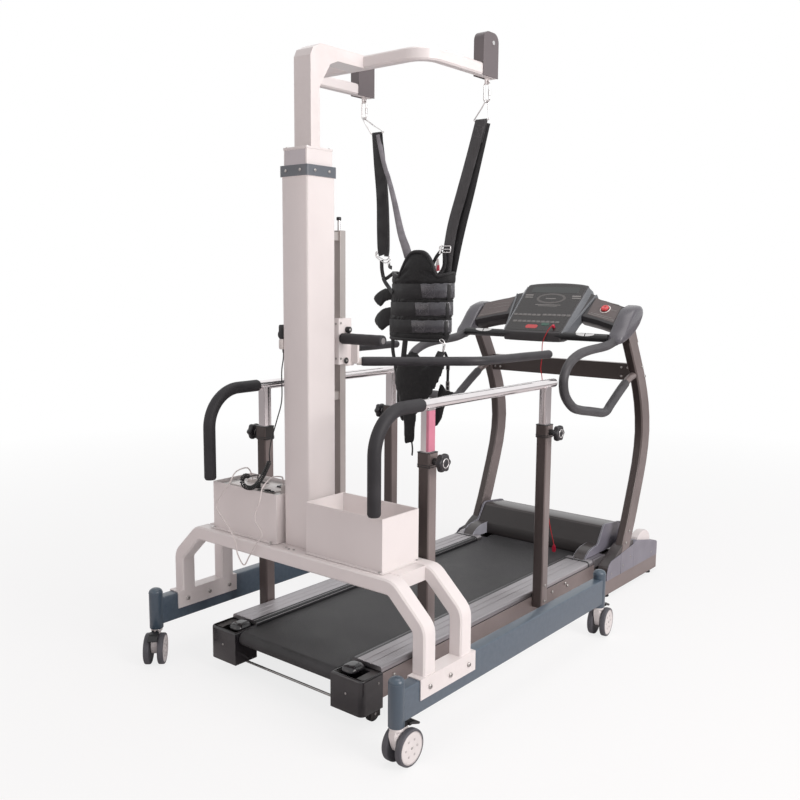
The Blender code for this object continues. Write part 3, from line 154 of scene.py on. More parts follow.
floor_mesh = bpy.data.meshes.new("studio_floor")
drawn = bmesh.new()
bmesh.ops.create_circle(drawn, cap_ends=True, radius=25, segments=96)
drawn.to_mesh(floor_mesh)
drawn.free()
floor = put("studio_floor", floor_mesh)
paper = bpy.data.materials.new("white_paper_floor")
tree = clear_tree(paper)
rays = add_node(tree, "ShaderNodeLightPath")
spot = add_node(tree, "ShaderNodeTexCoord")
distance = add_node(tree, "ShaderNodeVectorMath", {"operation": "LENGTH"}, _0=spot.outputs["Object"])
fade = add_node(
    tree,
    "ShaderNodeMapRange",
    {"From Min": 1.6, "From Max": 6.0, "To Min": 0.80, "To Max": 1.0},
    Value=distance.outputs["Value"],
)
share = add_node(
    tree, "ShaderNodeMath", {"operation": "MULTIPLY"}, _0=rays.outputs["Is Camera Ray"],
    _1=fade.outputs["Result"],
)
matte = add_node(tree, "ShaderNodeBsdfDiffuse", {"Color": linear("f3f0f0")})
glow = add_node(tree, "ShaderNodeEmission", {"Color": (1, 1, 1, 1), "Strength": 1.0})
mixed = add_node(
    tree, "ShaderNodeMixShader", None, _0=share.outputs[0], _1=matte.outputs[0], _2=glow.outputs[0]
)
add_node(tree, "ShaderNodeOutputMaterial", None, Surface=mixed.outputs[0])
floor_mesh.materials.append(paper)

# The parts are drawn about the treadmill's middle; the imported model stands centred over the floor's origin.
DRAWN_AT = Vector((0.00204, 0.01253, 0))

# Hand control's lead: black sheathed flex, plain at first and then wound, down to the control box.
# The wound part hangs behind the left tray in a loop, and the end goes down into its plug.


def smooth_route(points, steps):
    """Points along a smooth curve that passes through each chosen point."""
    points = [Vector(p) for p in points]
    ends = [2 * points[0] - points[1], *points, 2 * points[-1] - points[-2]]
    route = []
    for a, b, c, d in zip(ends, ends[1:], ends[2:], ends[3:]):
        for i in range(steps):
            t = i / steps
            bend = (2 * a - 5 * b + 4 * c - d) * t * t + (3 * b - a - 3 * c + d) * t * t * t
            route.append(0.5 * (2 * b + (c - a) * t + bend))
    return [*route, points[-1]]


def route_length(points):
    """The length of a line of points."""
    return sum((b - a).length for a, b in zip(points, points[1:]))


def flex(name, points, radius, look, resolution=4):
    """A round cord along given points, as one open curve with filled ends."""
    data = bpy.data.curves.new(name, "CURVE")
    data.dimensions = "3D"
    data.bevel_depth = radius
    data.bevel_resolution = resolution
    data.use_fill_caps = True
    line = data.splines.new("POLY")
    line.points.add(len(points) - 1)
    for spot, point in zip(line.points, points):
        spot.co = (*(point + DRAWN_AT), 1)
    line.use_smooth = True
    data.materials.append(look)
    return put(name, data)


def dimmed(colour, share):
    """A linear colour darkened to a share of its light."""
    return (*[c * share for c in colour[:3]], 1)


def two_tone(tree, factor, low, dark, high, pale):
    """A colour ramp that passes from a dark to a pale colour between two values of its factor."""
    ramp = add_node(tree, "ShaderNodeValToRGB", None, Fac=factor)
    for stop, position, colour in zip(ramp.color_ramp.elements, (low, high), (dark, pale)):
        stop.position = position
        stop.color = colour
    return ramp


def surfaced(tree, settings, colour, roughness, relief):
    """The end of a material's tree: a Principled shader with its settings, fed by three sockets."""
    fed = {"Base_Color": colour, "Roughness": roughness, "Normal": relief}
    shader = add_node(tree, "ShaderNodeBsdfPrincipled", settings, **fed)
    add_node(tree, "ShaderNodeOutputMaterial", None, Surface=shader.outputs["BSDF"])


def moulded(name, colour, roughness, grain=0.004, depth=0.06, coat=0.0):
    """Moulded ABS or PVC: an even skin with a fine eroded grain and faint cloudiness from the mould."""
    made = bpy.data.materials.new(name)
    tree = clear_tree(made)
    place = add_node(tree, "ShaderNodeTexCoord")
    cloud = add_node(
        tree, "ShaderNodeTexNoise", {"Scale": 9.0, "Detail": 3.0}, Vector=place.outputs["Object"]
    )
    base = linear(colour)
    shades = two_tone(tree, cloud.outputs["Fac"], 0.30, dimmed(base, 0.82), 0.68, base)
    skin = add_node(
        tree, "ShaderNodeTexNoise", {"Scale": 1 / grain, "Detail": 4.0, "Roughness": 0.6},
        Vector=place.outputs["Object"],
    )
    rough = add_node(
        tree, "ShaderNodeMapRange", {"To Min": roughness - 0.06, "To Max": roughness + 0.08},
        Value=skin.outputs["Fac"],
    )
    relief = add_node(
        tree, "ShaderNodeBump", {"Strength": depth, "Distance": 0.001}, Height=skin.outputs["Fac"]
    )
    settings = {"Metallic": 0.0, "IOR": 1.50, "Coat Weight": coat, "Coat Roughness": 0.15}
    surfaced(tree, settings, shades.outputs["Color"], rough.outputs["Result"], relief.outputs["Normal"])
    return made


# Soft PVC sheath, extruded: semi-matte black with a faint bloom.
black_sheath = moulded("black_pvc_sheath", "161617", 0.42, 0.003, 0.10)
LEAD_RADIUS = 0.00225
COIL_RADIUS = 0.0072
COIL_PITCH = 0.0082
COIL_Y = -1.0475
switch_x = -0.0754
box_top = 0.745
lead = smooth_route(
    [
        (switch_x, -0.995, 1.278),
        (switch_x, -0.997, 1.260),
        (-0.066, -1.014, 1.215),
        (-0.064, -1.017, 1.113),
        (-0.088, -1.020, 1.036),
        (-0.108, -1.032, 0.955),
        (-0.103, COIL_Y, 0.900),
    ],
    6,
)
coil_line = smooth_route(
    [
        (-0.100, COIL_Y, 0.884),
        (-0.131, COIL_Y, 0.832),
        (-0.167, COIL_Y, 0.789),
        (-0.201, COIL_Y, 0.766),
        (-0.240, COIL_Y, 0.764),
        (-0.258, COIL_Y, 0.784),
        (-0.242, COIL_Y, 0.806),
        (-0.214, COIL_Y, 0.808),
    ],
    12,
)
tail = smooth_route(
    [
        (-0.208, COIL_Y, 0.809),
        (-0.200, -1.036, 0.812),
        (-0.212, -1.004, 0.806),
        (-0.235, -0.987, 0.794),
        (-0.235, -0.985, box_top + 0.033),
    ],
    6,
)
lead.insert(0, Vector((switch_x, -0.995, 1.2857)))
tail.append(Vector((-0.235, -0.985, box_top + 0.0263)))
marks = [0]
for a, b in zip(coil_line, coil_line[1:]):
    marks.append(marks[-1] + (b - a).length)
turns = int(marks[-1] / COIL_PITCH)
PER_TURN = 16
coil = []
stretch = 0
steps = turns * PER_TURN
for i in range(steps + 1):
    along = marks[-1] * i / steps
    while stretch < len(marks) - 2 and marks[stretch + 1] < along:
        stretch += 1
    share = (along - marks[stretch]) / (marks[stretch + 1] - marks[stretch])
    spot = coil_line[stretch].lerp(coil_line[stretch + 1], share)
    tangent = (coil_line[stretch + 1] - coil_line[stretch]).normalized()
    across = Vector((0, 1, 0)).cross(tangent).normalized()
    turn = math.tau * i / PER_TURN
    ease = min(1, i / 12, (steps - i) / 12)
    coil.append(spot + (across * math.cos(turn) + Vector((0, 1, 0)) * math.sin(turn)) * COIL_RADIUS * ease)
lead_route = [*lead[:-1], *coil, *tail[1:]]
pendant_lead = flex("pendant_lead", lead_route, LEAD_RADIUS, black_sheath)
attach(pendant_lead, "gantry")
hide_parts("pendant_cord")

# Control cable: a white sheathed lead from one socket of the control box to another. Its spare
# length hangs down behind the beam in a long loop with a few bends set in from its packing.
white_sheath = moulded("white_pvc_sheath", "e9e2e0", 0.40, 0.003, 0.08)
CABLE_RADIUS = 0.0025
cable_route = smooth_route(
    [
        (-0.3360, -0.926, box_top + 0.022),
        (-0.3360, -0.930, box_top + 0.036),
        (-0.3270, -0.962, 0.812),
        (-0.2900, -1.050, 0.815),
        (-0.2860, -1.084, 0.780),
        (-0.3330, -1.088, 0.724),
        (-0.3650, -1.088, 0.669),
        (-0.3110, -1.088, 0.616),
        (-0.2650, -1.088, 0.568),
        (-0.2420, -1.088, 0.503),
        (-0.2080, -1.088, 0.469),
        (-0.1780, -1.088, 0.507),
        (-0.1410, -1.088, 0.559),
        (-0.1040, -1.088, 0.610),
        (-0.1420, -1.088, 0.655),
        (-0.1360, -1.088, 0.692),
        (-0.1120, -1.088, 0.740),
        (-0.1180, -1.068, 0.783),
        (-0.1210, -1.020, 0.812),
        (-0.1210, -0.968, 0.806),
        (-0.1210, -0.962, box_top + 0.046),
        (-0.1210, -0.960, box_top + 0.036),
    ],
    6,
)
cable_route.insert(0, Vector((-0.3360, -0.926, box_top + 0.0163)))
cable_route.append(Vector((-0.1210, -0.960, box_top + 0.0303)))
white_cable = flex("white_control_cable", cable_route, CABLE_RADIUS, white_sheath)
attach(white_cable, "gantry")
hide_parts("control_cable")

# Safety lanyard: a thin red braided cord on the treadmill's safety key. It passes over the pulse
# bar and hangs straight down to a red plastic clip near the hood.
red_braid = moulded("red_braided_cord", "b3121f", 0.62, 0.0015, 0.5)
LANYARD_RADIUS = 0.0021
button_out = Vector((0, -0.666, 0.746)).normalized()
key_at = Vector((0.110, 0.668, 1.3248))
lanyard_route = smooth_route(
    [
        key_at + button_out * 0.0100,
        (0.109, 0.654, 1.334),
        (0.103, 0.640, 1.322),
        (0.093, 0.631, 1.300),
        (0.072, 0.6285, 1.247),
        (0.071, 0.6285, 1.177),
        (0.066, 0.6285, 1.119),
        (0.075, 0.6285, 1.071),
        (0.083, 0.6285, 0.960),
        (0.097, 0.6285, 0.760),
        (0.120, 0.6285, 0.520),
        (0.139, 0.6285, 0.355),
        (0.172, 0.6285, 0.228),
    ],
    6,
)
lanyard_route.insert(0, key_at + button_out * 0.0068)
lanyard = flex("red_lanyard", lanyard_route, LANYARD_RADIUS, red_braid)
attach(lanyard, "treadmill")
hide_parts("safety_lanyard")


def lofted(rings, loop=False):
    """A closed mesh through rings that hold the same number of points."""
    form = bmesh.new()
    rows = [[form.verts.new(point) for point in one] for one in rings]
    count = len(rows[0])
    pairs = list(zip(rows, rows[1:]))
    if loop:
        pairs.append((rows[-1], rows[0]))
    else:
        form.faces.new(rows[0])
        form.faces.new(rows[-1])
    for lower, upper in pairs:
        for i in range(count):
            form.faces.new((lower[i - 1], lower[i], upper[i], upper[i - 1]))
    bmesh.ops.recalc_face_normals(form, faces=form.faces)
    if form.calc_volume(signed=True) < 0:
        bmesh.ops.reverse_faces(form, faces=form.faces)
    made = bpy.data.meshes.new("form")
    form.to_mesh(made)
    form.free()
    return made


def on_plane(plane, a, b, along):
    """A point of a drawing plane, at a distance along the third axis."""
    return Vector({"yz": (along, a, b), "xz": (a, along, b), "xy": (a, b, along)}[plane])


def extruded(plane, outline, low, high):
    """A straight solid between two distances along the third axis."""
    return lofted([[on_plane(plane, a, b, along) for a, b in outline] for along in (low, high)])


def block(x, y, z):
    """A rectangular solid between two values on each axis."""
    return extruded("xy", [(x[0], y[0]), (x[1], y[0]), (x[1], y[1]), (x[0], y[1])], z[0], z[1])


def rounded_rectangle(width, height, radius, steps=5):
    """The outline of a rectangle with rounded corners, about its middle."""
    points = []
    for sx, sy, start in ((1, 1, 0), (-1, 1, 90), (-1, -1, 180), (1, -1, 270)):
        for i in range(steps + 1):
            turn = math.radians(start + 90 * i / steps)
            x = sx * (width / 2 - radius) + radius * math.cos(turn)
            points.append((x, sy * (height / 2 - radius) + radius * math.sin(turn)))
    return points


def round_outline(radius, count=40):
    """The outline of a circle about its middle."""
    return [
        (radius * math.cos(math.tau * i / count), radius * math.sin(math.tau * i / count))
        for i in range(count)
    ]


def lathed(axis, centre, profile, count=48):
    """A body turned about an axis: the profile lists (distance along the axis, radius)."""
    plane = {"x": "yz", "y": "xz", "z": "xy"}[axis]
    rings = []
    for along, radius in profile:
        rings.append([
            Vector(centre) + on_plane(plane, a, b, along)
            for a, b in round_outline(radius, count)
        ])
    return lofted(rings)


def span(side, low, high):
    """Two distances from the middle plane as x values of one side, the lower first."""
    return (low, high) if side > 0 else (-high, -low)


def fitted(name, body, forms, replaces=(), bevel=0.0, segments=2, angle=38, turn=None):
    """One finished piece from forms, each a mesh with its material: joined, rounded, set on its body."""
    looks = []
    whole = bmesh.new()
    for form, look in forms:
        if look not in looks:
            looks.append(look)
        before = len(whole.faces)
        whole.from_mesh(form)
        whole.faces.ensure_lookup_table()
        for face in whole.faces[before:]:
            face.material_index = looks.index(look)
        bpy.data.meshes.remove(form)
    mesh = bpy.data.meshes.new(name)
    whole.to_mesh(mesh)
    whole.free()
    if turn:
        mesh.transform(turn)
    mesh.transform(Matrix.Translation(DRAWN_AT))
    for look in looks:
        mesh.materials.append(look)
    made = put(name, mesh)
    mesh.polygons.foreach_set("use_smooth", [True] * len(mesh.polygons))
    mesh.set_sharp_from_angle(angle=math.radians(angle))
    if bevel:
        edges = made.modifiers.new("rounded_edges", "BEVEL")
        edges.width = bevel
        edges.segments = segments
        edges.limit_method = "ANGLE"
        edges.angle_limit = math.radians(angle)
        edges.harden_normals = True
    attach(made, body)
    if replaces:
        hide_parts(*replaces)
    return made


def copied(node, keep=None):
    """The mesh of a CAD node, merged, with its flat faces made whole, in the drawing's place."""
    form = bmesh.new()
    form.from_mesh(frame["nodes"][node].data)
    bmesh.ops.remove_doubles(form, verts=form.verts, dist=2e-5)
    if keep:
        gone = [face for face in form.faces if not keep(face.calc_center_median() - DRAWN_AT)]
        bmesh.ops.delete(form, geom=gone, context="FACES")
    bmesh.ops.dissolve_limit(form, angle_limit=math.radians(0.6), verts=form.verts, edges=form.edges)
    made = bpy.data.meshes.new("form")
    form.to_mesh(made)
    form.free()
    made.transform(Matrix.Translation(-DRAWN_AT))
    return made


# The clip on the lanyard's end: a small moulded red clothes clip with a ribbed grip.
red_abs = moulded("red_abs", "c8163c", 0.28, 0.005, 0.05, coat=0.3)
clip_end = lanyard_route[-1]
clip_forms = [(lathed("z", clip_end, [(-0.004, 0.0034), (0.001, 0.0034), (0.004, 0.0024)], 20), red_abs)]
jaw = [
    (-0.0070, -0.036), (0.0070, -0.036), (0.0100, -0.020), (0.0060, -0.003), (-0.0060, -0.003),
    (-0.0100, -0.020),
]
jaw = [(clip_end.x + a, clip_end.z + b) for a, b in jaw]
clip_forms.append((extruded("xz", jaw, clip_end.y - 0.0035, clip_end.y + 0.0035), red_abs))
for i in range(4):
    rib_z = clip_end.z - 0.009 - 0.004 * i
    rib = block(
        (clip_end.x - 0.0058, clip_end.x + 0.0058), (clip_end.y - 0.0045, clip_end.y + 0.0045),
        (rib_z - 0.001, rib_z),
    )
    clip_forms.append((rib, red_abs))
lanyard_clip = fitted("lanyard_clip", "treadmill", clip_forms, bevel=0.0006)


def painted(name, colour, roughness=0.34, worn="b9b0ae", peel=0.006, coat=0.25):
    """Powder-coated steel: a satin film with a soft orange peel, slightly thin and dull along its edges.
    The peel is drawn coarser than the real 1 mm so that it shows."""
    made = bpy.data.materials.new(name)
    tree = clear_tree(made)
    place = add_node(tree, "ShaderNodeTexCoord")
    drift = add_node(
        tree, "ShaderNodeTexNoise", {"Scale": 3.5, "Detail": 4.0}, Vector=place.outputs["Object"]
    )
    base = linear(colour)
    shades = two_tone(tree, drift.outputs["Fac"], 0.25, dimmed(base, 0.93), 0.72, base)
    shape = add_node(tree, "ShaderNodeNewGeometry")
    edge = add_node(
        tree, "ShaderNodeMapRange", {"From Min": 0.53, "From Max": 0.62, "To Max": 0.30},
        Value=shape.outputs["Pointiness"],
    )
    specks = add_node(
        tree, "ShaderNodeTexNoise", {"Scale": 60.0, "Detail": 5.0}, Vector=place.outputs["Object"]
    )
    wear = add_node(
        tree, "ShaderNodeMath", {"operation": "MULTIPLY"}, _0=edge.outputs["Result"],
        _1=specks.outputs["Fac"],
    )
    tone = add_node(
        tree, "ShaderNodeMix", {"data_type": "RGBA"}, _0=wear.outputs[0], _6=shades.outputs["Color"]
    )
    tone.inputs[7].default_value = linear(worn)
    skin = add_node(
        tree, "ShaderNodeTexNoise", {"Scale": 1 / peel, "Detail": 2.0}, Vector=place.outputs["Object"]
    )
    relief = add_node(
        tree, "ShaderNodeBump", {"Strength": 0.05, "Distance": 0.001}, Height=skin.outputs["Fac"]
    )
    rough = add_node(
        tree, "ShaderNodeMapRange", {"To Min": roughness - 0.05, "To Max": roughness + 0.09},
        Value=specks.outputs["Fac"],
    )
    settings = {"Metallic": 0.0, "IOR": 1.5, "Coat Weight": coat, "Coat Roughness": 0.18}
    surfaced(tree, settings, tone.outputs[2], rough.outputs["Result"], relief.outputs["Normal"])
    return made


def bare_metal(name, colour, roughness, grain=(1.0, 1.0, 1.0), depth=0.03, scale=900.0):
    """Plated or machined metal: clear reflections broken by fine marks that run the way it was polished."""
    made = bpy.data.materials.new(name)
    tree = clear_tree(made)
    place = add_node(tree, "ShaderNodeTexCoord")
    stretched = add_node(tree, "ShaderNodeMapping", {"Scale": grain}, Vector=place.outputs["Object"])
    marks = add_node(
        tree, "ShaderNodeTexNoise", {"Scale": scale, "Detail": 3.0}, Vector=stretched.outputs["Vector"]
    )
    smears = add_node(
        tree, "ShaderNodeTexNoise", {"Scale": 12.0, "Detail": 3.0}, Vector=place.outputs["Object"]
    )
    base = linear(colour)
    shades = two_tone(tree, smears.outputs["Fac"], 0.0, dimmed(base, 0.86), 1.0, base)
    rough = add_node(
        tree,
        "ShaderNodeMapRange",
        {"To Min": max(0.03, roughness - 0.05), "To Max": roughness + 0.10},
        Value=marks.outputs["Fac"],
    )
    relief = add_node(
        tree, "ShaderNodeBump", {"Strength": depth, "Distance": 0.0006}, Height=marks.outputs["Fac"]
    )
    surfaced(
        tree, {"Metallic": 1.0}, shades.outputs["Color"], rough.outputs["Result"], relief.outputs["Normal"]
    )
    return made


def repeated(name, body, template, places, look):
    """Sets a small template shape at every place, each (point, outward direction, direction along it)."""
    spots = bpy.data.meshes.new(name + "_spots")
    spots.from_pydata([tuple(place[0]) for place in places], [], [])
    for key, which in (("outward", 1), ("lengthwise", 2)):
        values = [c for place in places for c in Vector(place[which]).normalized()]
        spots.attributes.new(key, "FLOAT_VECTOR", "POINT").data.foreach_set("vector", values)
    holder = put(name + "_spots", spots)
    one = put(name + "_template", template)
    tree = bpy.data.node_groups.new(name + "_layout", "GeometryNodeTree")
    tree.interface.new_socket("Geometry", in_out="INPUT", socket_type="NodeSocketGeometry")
    tree.interface.new_socket("Size", in_out="INPUT", socket_type="NodeSocketFloat")
    tree.interface.new_socket("Geometry", in_out="OUTPUT", socket_type="NodeSocketGeometry")
    given = add_node(tree, "NodeGroupInput")
    outward = add_node(
        tree, "GeometryNodeInputNamedAttribute", {"data_type": "FLOAT_VECTOR", "Name": "outward"}
    )
    lengthwise = add_node(
        tree, "GeometryNodeInputNamedAttribute", {"data_type": "FLOAT_VECTOR", "Name": "lengthwise"}
    )
    faced = add_node(tree, "FunctionNodeAlignRotationToVector", {"axis": "Z"}, Vector=outward.outputs[0])
    faced = add_node(
        tree, "FunctionNodeAlignRotationToVector", {"axis": "X", "pivot_axis": "Z"},
        Rotation=faced.outputs[0], Vector=lengthwise.outputs[0],
    )
    source = add_node(tree, "GeometryNodeObjectInfo")
    source.inputs["Object"].default_value = one
    placed = add_node(
        tree,
        "GeometryNodeInstanceOnPoints",
        None,
        Points=given.outputs[0],
        Instance=source.outputs["Geometry"],
        Rotation=faced.outputs[0],
        Scale=given.outputs[1],
    )
    real = add_node(tree, "GeometryNodeRealizeInstances", None, Geometry=placed.outputs[0])
    dressed = add_node(tree, "GeometryNodeSetMaterial", {"Material": look}, Geometry=real.outputs[0])
    add_node(tree, "NodeGroupOutput", None, Geometry=dressed.outputs[0])
    layout = holder.modifiers.new("layout", "NODES")
    layout.node_group = tree
    layout[tree.interface.items_tree["Size"].identifier] = 1.0
    bpy.context.view_layer.update()
    solid = bpy.data.meshes.new_from_object(holder.evaluated_get(bpy.context.evaluated_depsgraph_get()))
    for gone in (holder, one):
        bpy.data.objects.remove(gone, do_unlink=True)
    solid.transform(Matrix.Translation(DRAWN_AT))
    solid.materials.clear()
    solid.materials.append(look)
    solid.polygons.foreach_set("use_smooth", [True] * len(solid.polygons))
    solid.set_sharp_from_angle(angle=math.radians(40))
    made = put(name, solid)
    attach(made, body)
    return made


def cap_screw(radius, height, count=20):
    """A round screw head with a chamfered rim and a sunk round socket, drawn about +Z."""
    socket = round_outline(radius * 0.45, count)
    rings = [
        [Vector((*p, 0)) for p in round_outline(radius, count)],
        [Vector((*p, height * 0.72)) for p in round_outline(radius, count)],
        [Vector((*p, height)) for p in round_outline(radius * 0.82, count)],
        [Vector((*p, height)) for p in socket],
        [Vector((*p, height * 0.45)) for p in socket],
    ]
    return lofted(rings)


# Floor rails: rectangular steel tube, powder-coated slate blue, with a round domed post welded to
# each end. The posts take the casters' stems.
slate_blue = painted("slate_blue_powder_coat", "445462", 0.36, "8f99a6", coat=0.35)
zinc_screw = bare_metal("zinc_plated_screws", "b9b6b4", 0.28, scale=400.0)
RAIL_X = 0.636
RAIL_TOP = 0.266
POST_RADIUS = 0.0275
REAR_POST_Y = -1.189
FRONT_POST_Y = 0.208
SIDES = (("right", 1), ("left", -1))
for name, side in SIDES:
    x = side * RAIL_X
    tube = extruded(
        "xz",
        [
            (x + a, (0.155 + RAIL_TOP) / 2 + b)
            for a, b in rounded_rectangle(0.048, RAIL_TOP - 0.155, 0.005, 4)
        ],
        REAR_POST_Y,
        FRONT_POST_Y,
    )
    forms = [(tube, slate_blue)]
    for y in (REAR_POST_Y, FRONT_POST_Y):
        dome = [(0.1385, POST_RADIUS - 0.0012), (0.1400, POST_RADIUS)]
        dome += [
            (
                0.288 + 0.018 * math.sin(t * math.pi / 20),
                0.0035 + (POST_RADIUS - 0.0035) * math.cos(t * math.pi / 20),
            )
            for t in range(11)
        ]
        forms.append((lathed("z", (x, y, 0), dome), slate_blue))
        seam = lathed("z", (x, y, 0), [
            (0.2845, POST_RADIUS), (0.2850, POST_RADIUS + 0.0009), (0.2865, POST_RADIUS + 0.0009),
            (0.2870, POST_RADIUS),
        ])
        forms.append((seam, slate_blue))
    fitted("floor_rail_" + name, "gantry", forms, replaces=[name + "_rail"], angle=40)

# Cross frame: two welded arches of rectangular tube with a deck plate between them, powder-coated
# warm white. A folded saddle at each foot clasps the rail and is held by three socket screws.
warm_white = painted("warm_white_powder_coat", "f1ebea", 0.32, "d2c9c6")
fitted(
    "cross_frame_tubes", "gantry", [(copied("cross_frame"), warm_white)],
    replaces=["cross_frame"], bevel=0.003, segments=3,
)
screw_places = []
for side in (1, -1):
    for y in (-1.050, -0.937, -0.829):
        screw_places.append(((side * 0.6644, y, 0.232), (side, 0, 0), (0, 1, 0)))
        screw_places.append(((side * 0.6076, y, 0.232), (-side, 0, 0), (0, 1, 0)))
repeated("saddle_screws", "gantry", cap_screw(0.0085, 0.006), screw_places, zinc_screw)

# Trays: folded sheet steel, open at the top, with a hemmed rim and a bottom flange that small
# screws hold to the beam. The left one houses the control box.
BEAM_TOP = 0.564
HEM_Z = 0.7528
for name, side in SIDES:
    tray_forms = [(copied(name + "_tray"), warm_white)]
    for y in (-1.0362, -0.8378):
        low, high = span(side, 0.079, 0.443)
        tray_forms.append((lathed("x", (0, y, HEM_Z), [(low, 0.0016), (high, 0.0016)], 12), warm_white))
    for x in (0.0788, 0.4432):
        tray_forms.append((lathed(
            "y", (side * x, 0, HEM_Z), [(-1.036, 0.0016), (-0.838, 0.0016)], 12
        ), warm_white))
    fitted(
        "tray_" + name, "gantry", tray_forms, replaces=[name + "_tray"], bevel=0.0012
    )
pan_places = []
for x, y in (
    (-0.105, -1.043), (-0.091, -1.056), (-0.020, -1.043), (0.000, -1.049), (0.020, -1.043),
    (0.436, -1.043), (-0.436, -1.043), (0.449, -0.850), (-0.449, -0.850),
):
    pan_places.append(((x, y, BEAM_TOP + (0.0028 if abs(x) > 0.08 else 0.0)), (0, 0, 1), (1, 0, 0)))
repeated("tray_screws", "gantry", cap_screw(0.0050, 0.0032, 14), pan_places, zinc_screw)

# Control box: a brushed aluminium housing in the left tray. Its top carries two round plugs, six small
# connector blocks and a raised lid held by four screws.
brushed = bare_metal("brushed_aluminium", "b5b2b0", 0.34, (1.0, 30.0, 30.0), 0.06, 60.0)
black_abs = moulded("black_abs", "17171a", 0.38, 0.004, 0.06)
white_abs = moulded("white_abs", "ece6e3", 0.30, 0.004, 0.05, coat=0.3)
box_forms = []
body = [
    [
        Vector((-0.260 + a, -0.9375 + b, z))
        for a, b in rounded_rectangle(0.320 - inset, 0.165 - inset, 0.008)
    ]
    for z, inset in ((0.5675, 0.0), (box_top - 0.0015, 0.0), (box_top, 0.003))
]
box_forms.append((lofted(body), brushed))
lid = [
    [Vector((-0.262 + a, -0.944 + b, z)) for a, b in rounded_rectangle(0.250 - inset, 0.120 - inset, 0.006)]
    for z, inset in ((box_top - 0.001, 0.0), (box_top + 0.003, 0.0), (box_top + 0.004, 0.003))
]
box_forms.append((lofted(lid), white_abs))
for x, y, height, look in ((-0.121, -0.960, 0.030, white_abs), (-0.235, -0.985, 0.026, black_abs)):
    plug = [
        (box_top, 0.0120), (box_top + 0.006, 0.0120), (box_top + 0.007, 0.0092),
        (box_top + height - 0.008, 0.0088), (box_top + height, 0.0050),
    ]
    box_forms.append((lathed("z", (x, y, 0), plug, 28), look))
    for i in range(5):
        z = box_top + 0.010 + 0.0026 * i
        ridge = [(z, 0.0085), (z + 0.0005, 0.0098), (z + 0.0012, 0.0098), (z + 0.0017, 0.0085)]
        box_forms.append((lathed("z", (x, y, 0), ridge, 24), look))
for x0, x1, y0, y1, height, look in (
    (-0.350, -0.322, -0.940, -0.912, 0.016, white_abs),
    (-0.190, -0.160, -0.930, -0.905, 0.009, black_abs),
    (-0.178, -0.158, -1.006, -0.990, 0.010, black_abs),
    (-0.212, -0.196, -1.008, -0.994, 0.007, black_abs),
    (-0.150, -0.136, -1.004, -0.992, 0.008, black_abs),
    (-0.300, -0.262, -0.925, -0.905, 0.006, black_abs),
):
    box_forms.append((block((x0, x1), (y0, y1), (box_top - 0.001, box_top + height)), look))
    box_forms.append((block(
        (x0 - 0.003, x1 + 0.003), (y0 - 0.003, y1 + 0.003), (box_top - 0.001, box_top + 0.0045)
    ), brushed))
fitted(
    "control_box_housing", "gantry", box_forms, replaces=["control_box"], bevel=0.0008
)
lid_places = [
    ((-0.262 + a, -0.944 + b, box_top + 0.004), (0, 0, 1), (1, 0, 0))
    for a in (-0.118, 0.118)
    for b in (-0.053, 0.053)
]
repeated(
    "control_box_screws", "gantry", cap_screw(0.0032, 0.0018, 12), lid_places, zinc_screw,
)

# Column: a welded upright of rectangular steel tube. Round its top it wears a slate-grey collar of
# folded sheet with two screws on each side.
slate_grey = painted("slate_grey_powder_coat", "5a6068", 0.38, "8f959b")
column_forms = [
    (copied("column", lambda c: c.z < 1.9185), warm_white),
    (copied("column", lambda c: c.z >= 1.9185), slate_grey),
]
fitted("column_tube", "gantry", column_forms, replaces=["column"], bevel=0.0015)
collar_places = []
for y in (-0.972, -0.900):
    collar_places += [
        ((0.0702, y, 1.938), (1, 0, 0), (0, 1, 0)), ((-0.0702, y, 1.938), (-1, 0, 0), (0, 1, 0))
    ]
for x in (-0.036, 0.036):
    collar_places += [
        ((x, -1.0122, 1.938), (0, -1, 0), (1, 0, 0)), ((x, -0.8598, 1.938), (0, 1, 0), (1, 0, 0))
    ]
repeated("collar_screws", "gantry", cap_screw(0.0055, 0.0028, 16), collar_places, zinc_screw)

# Guide rail: a silver anodised bar with two grooves, on three stand-offs in front of the column,
# and a thin chromed rod with a black end stop above it.
anodised = bare_metal("silver_anodised_aluminium", "c4bdba", 0.36, (30.0, 30.0, 1.0), 0.05, 50.0)
chrome = bare_metal("chrome_plate", "dcdada", 0.07, (1.0, 1.0, 1.0), 0.02, 700.0)
guide_outline = [
    (0.0, -0.015), (0.0, 0.015), (0.011, 0.015), (0.012, 0.0125), (0.015, 0.0125), (0.016, 0.015),
    (0.024, 0.015), (0.025, 0.0125),
    (0.028, 0.0125), (0.029, 0.015), (0.040, 0.015), (0.040, -0.015),
]
guide_forms = [(extruded("xy", [(a, -0.797 + b) for a, b in guide_outline], 0.600, 1.737), anodised)]
for z in (0.680, 1.120, 1.715):
    guide_forms.append((block((0.006, 0.034), (-0.8646, -0.811), (z - 0.016, z + 0.016)), anodised))
guide_forms.append((lathed("z", (0.020, -0.797, 0), [(1.735, 0.006), (1.776, 0.006)], 24), chrome))
guide_forms.append((lathed("z", (0.020, -0.797, 0), [
    (1.774, 0.007), (1.776, 0.009), (1.785, 0.009), (1.787, 0.0075)
], 24), black_abs))
fitted("guide_bar", "gantry", guide_forms, replaces=["guide_rail"], bevel=0.0008)

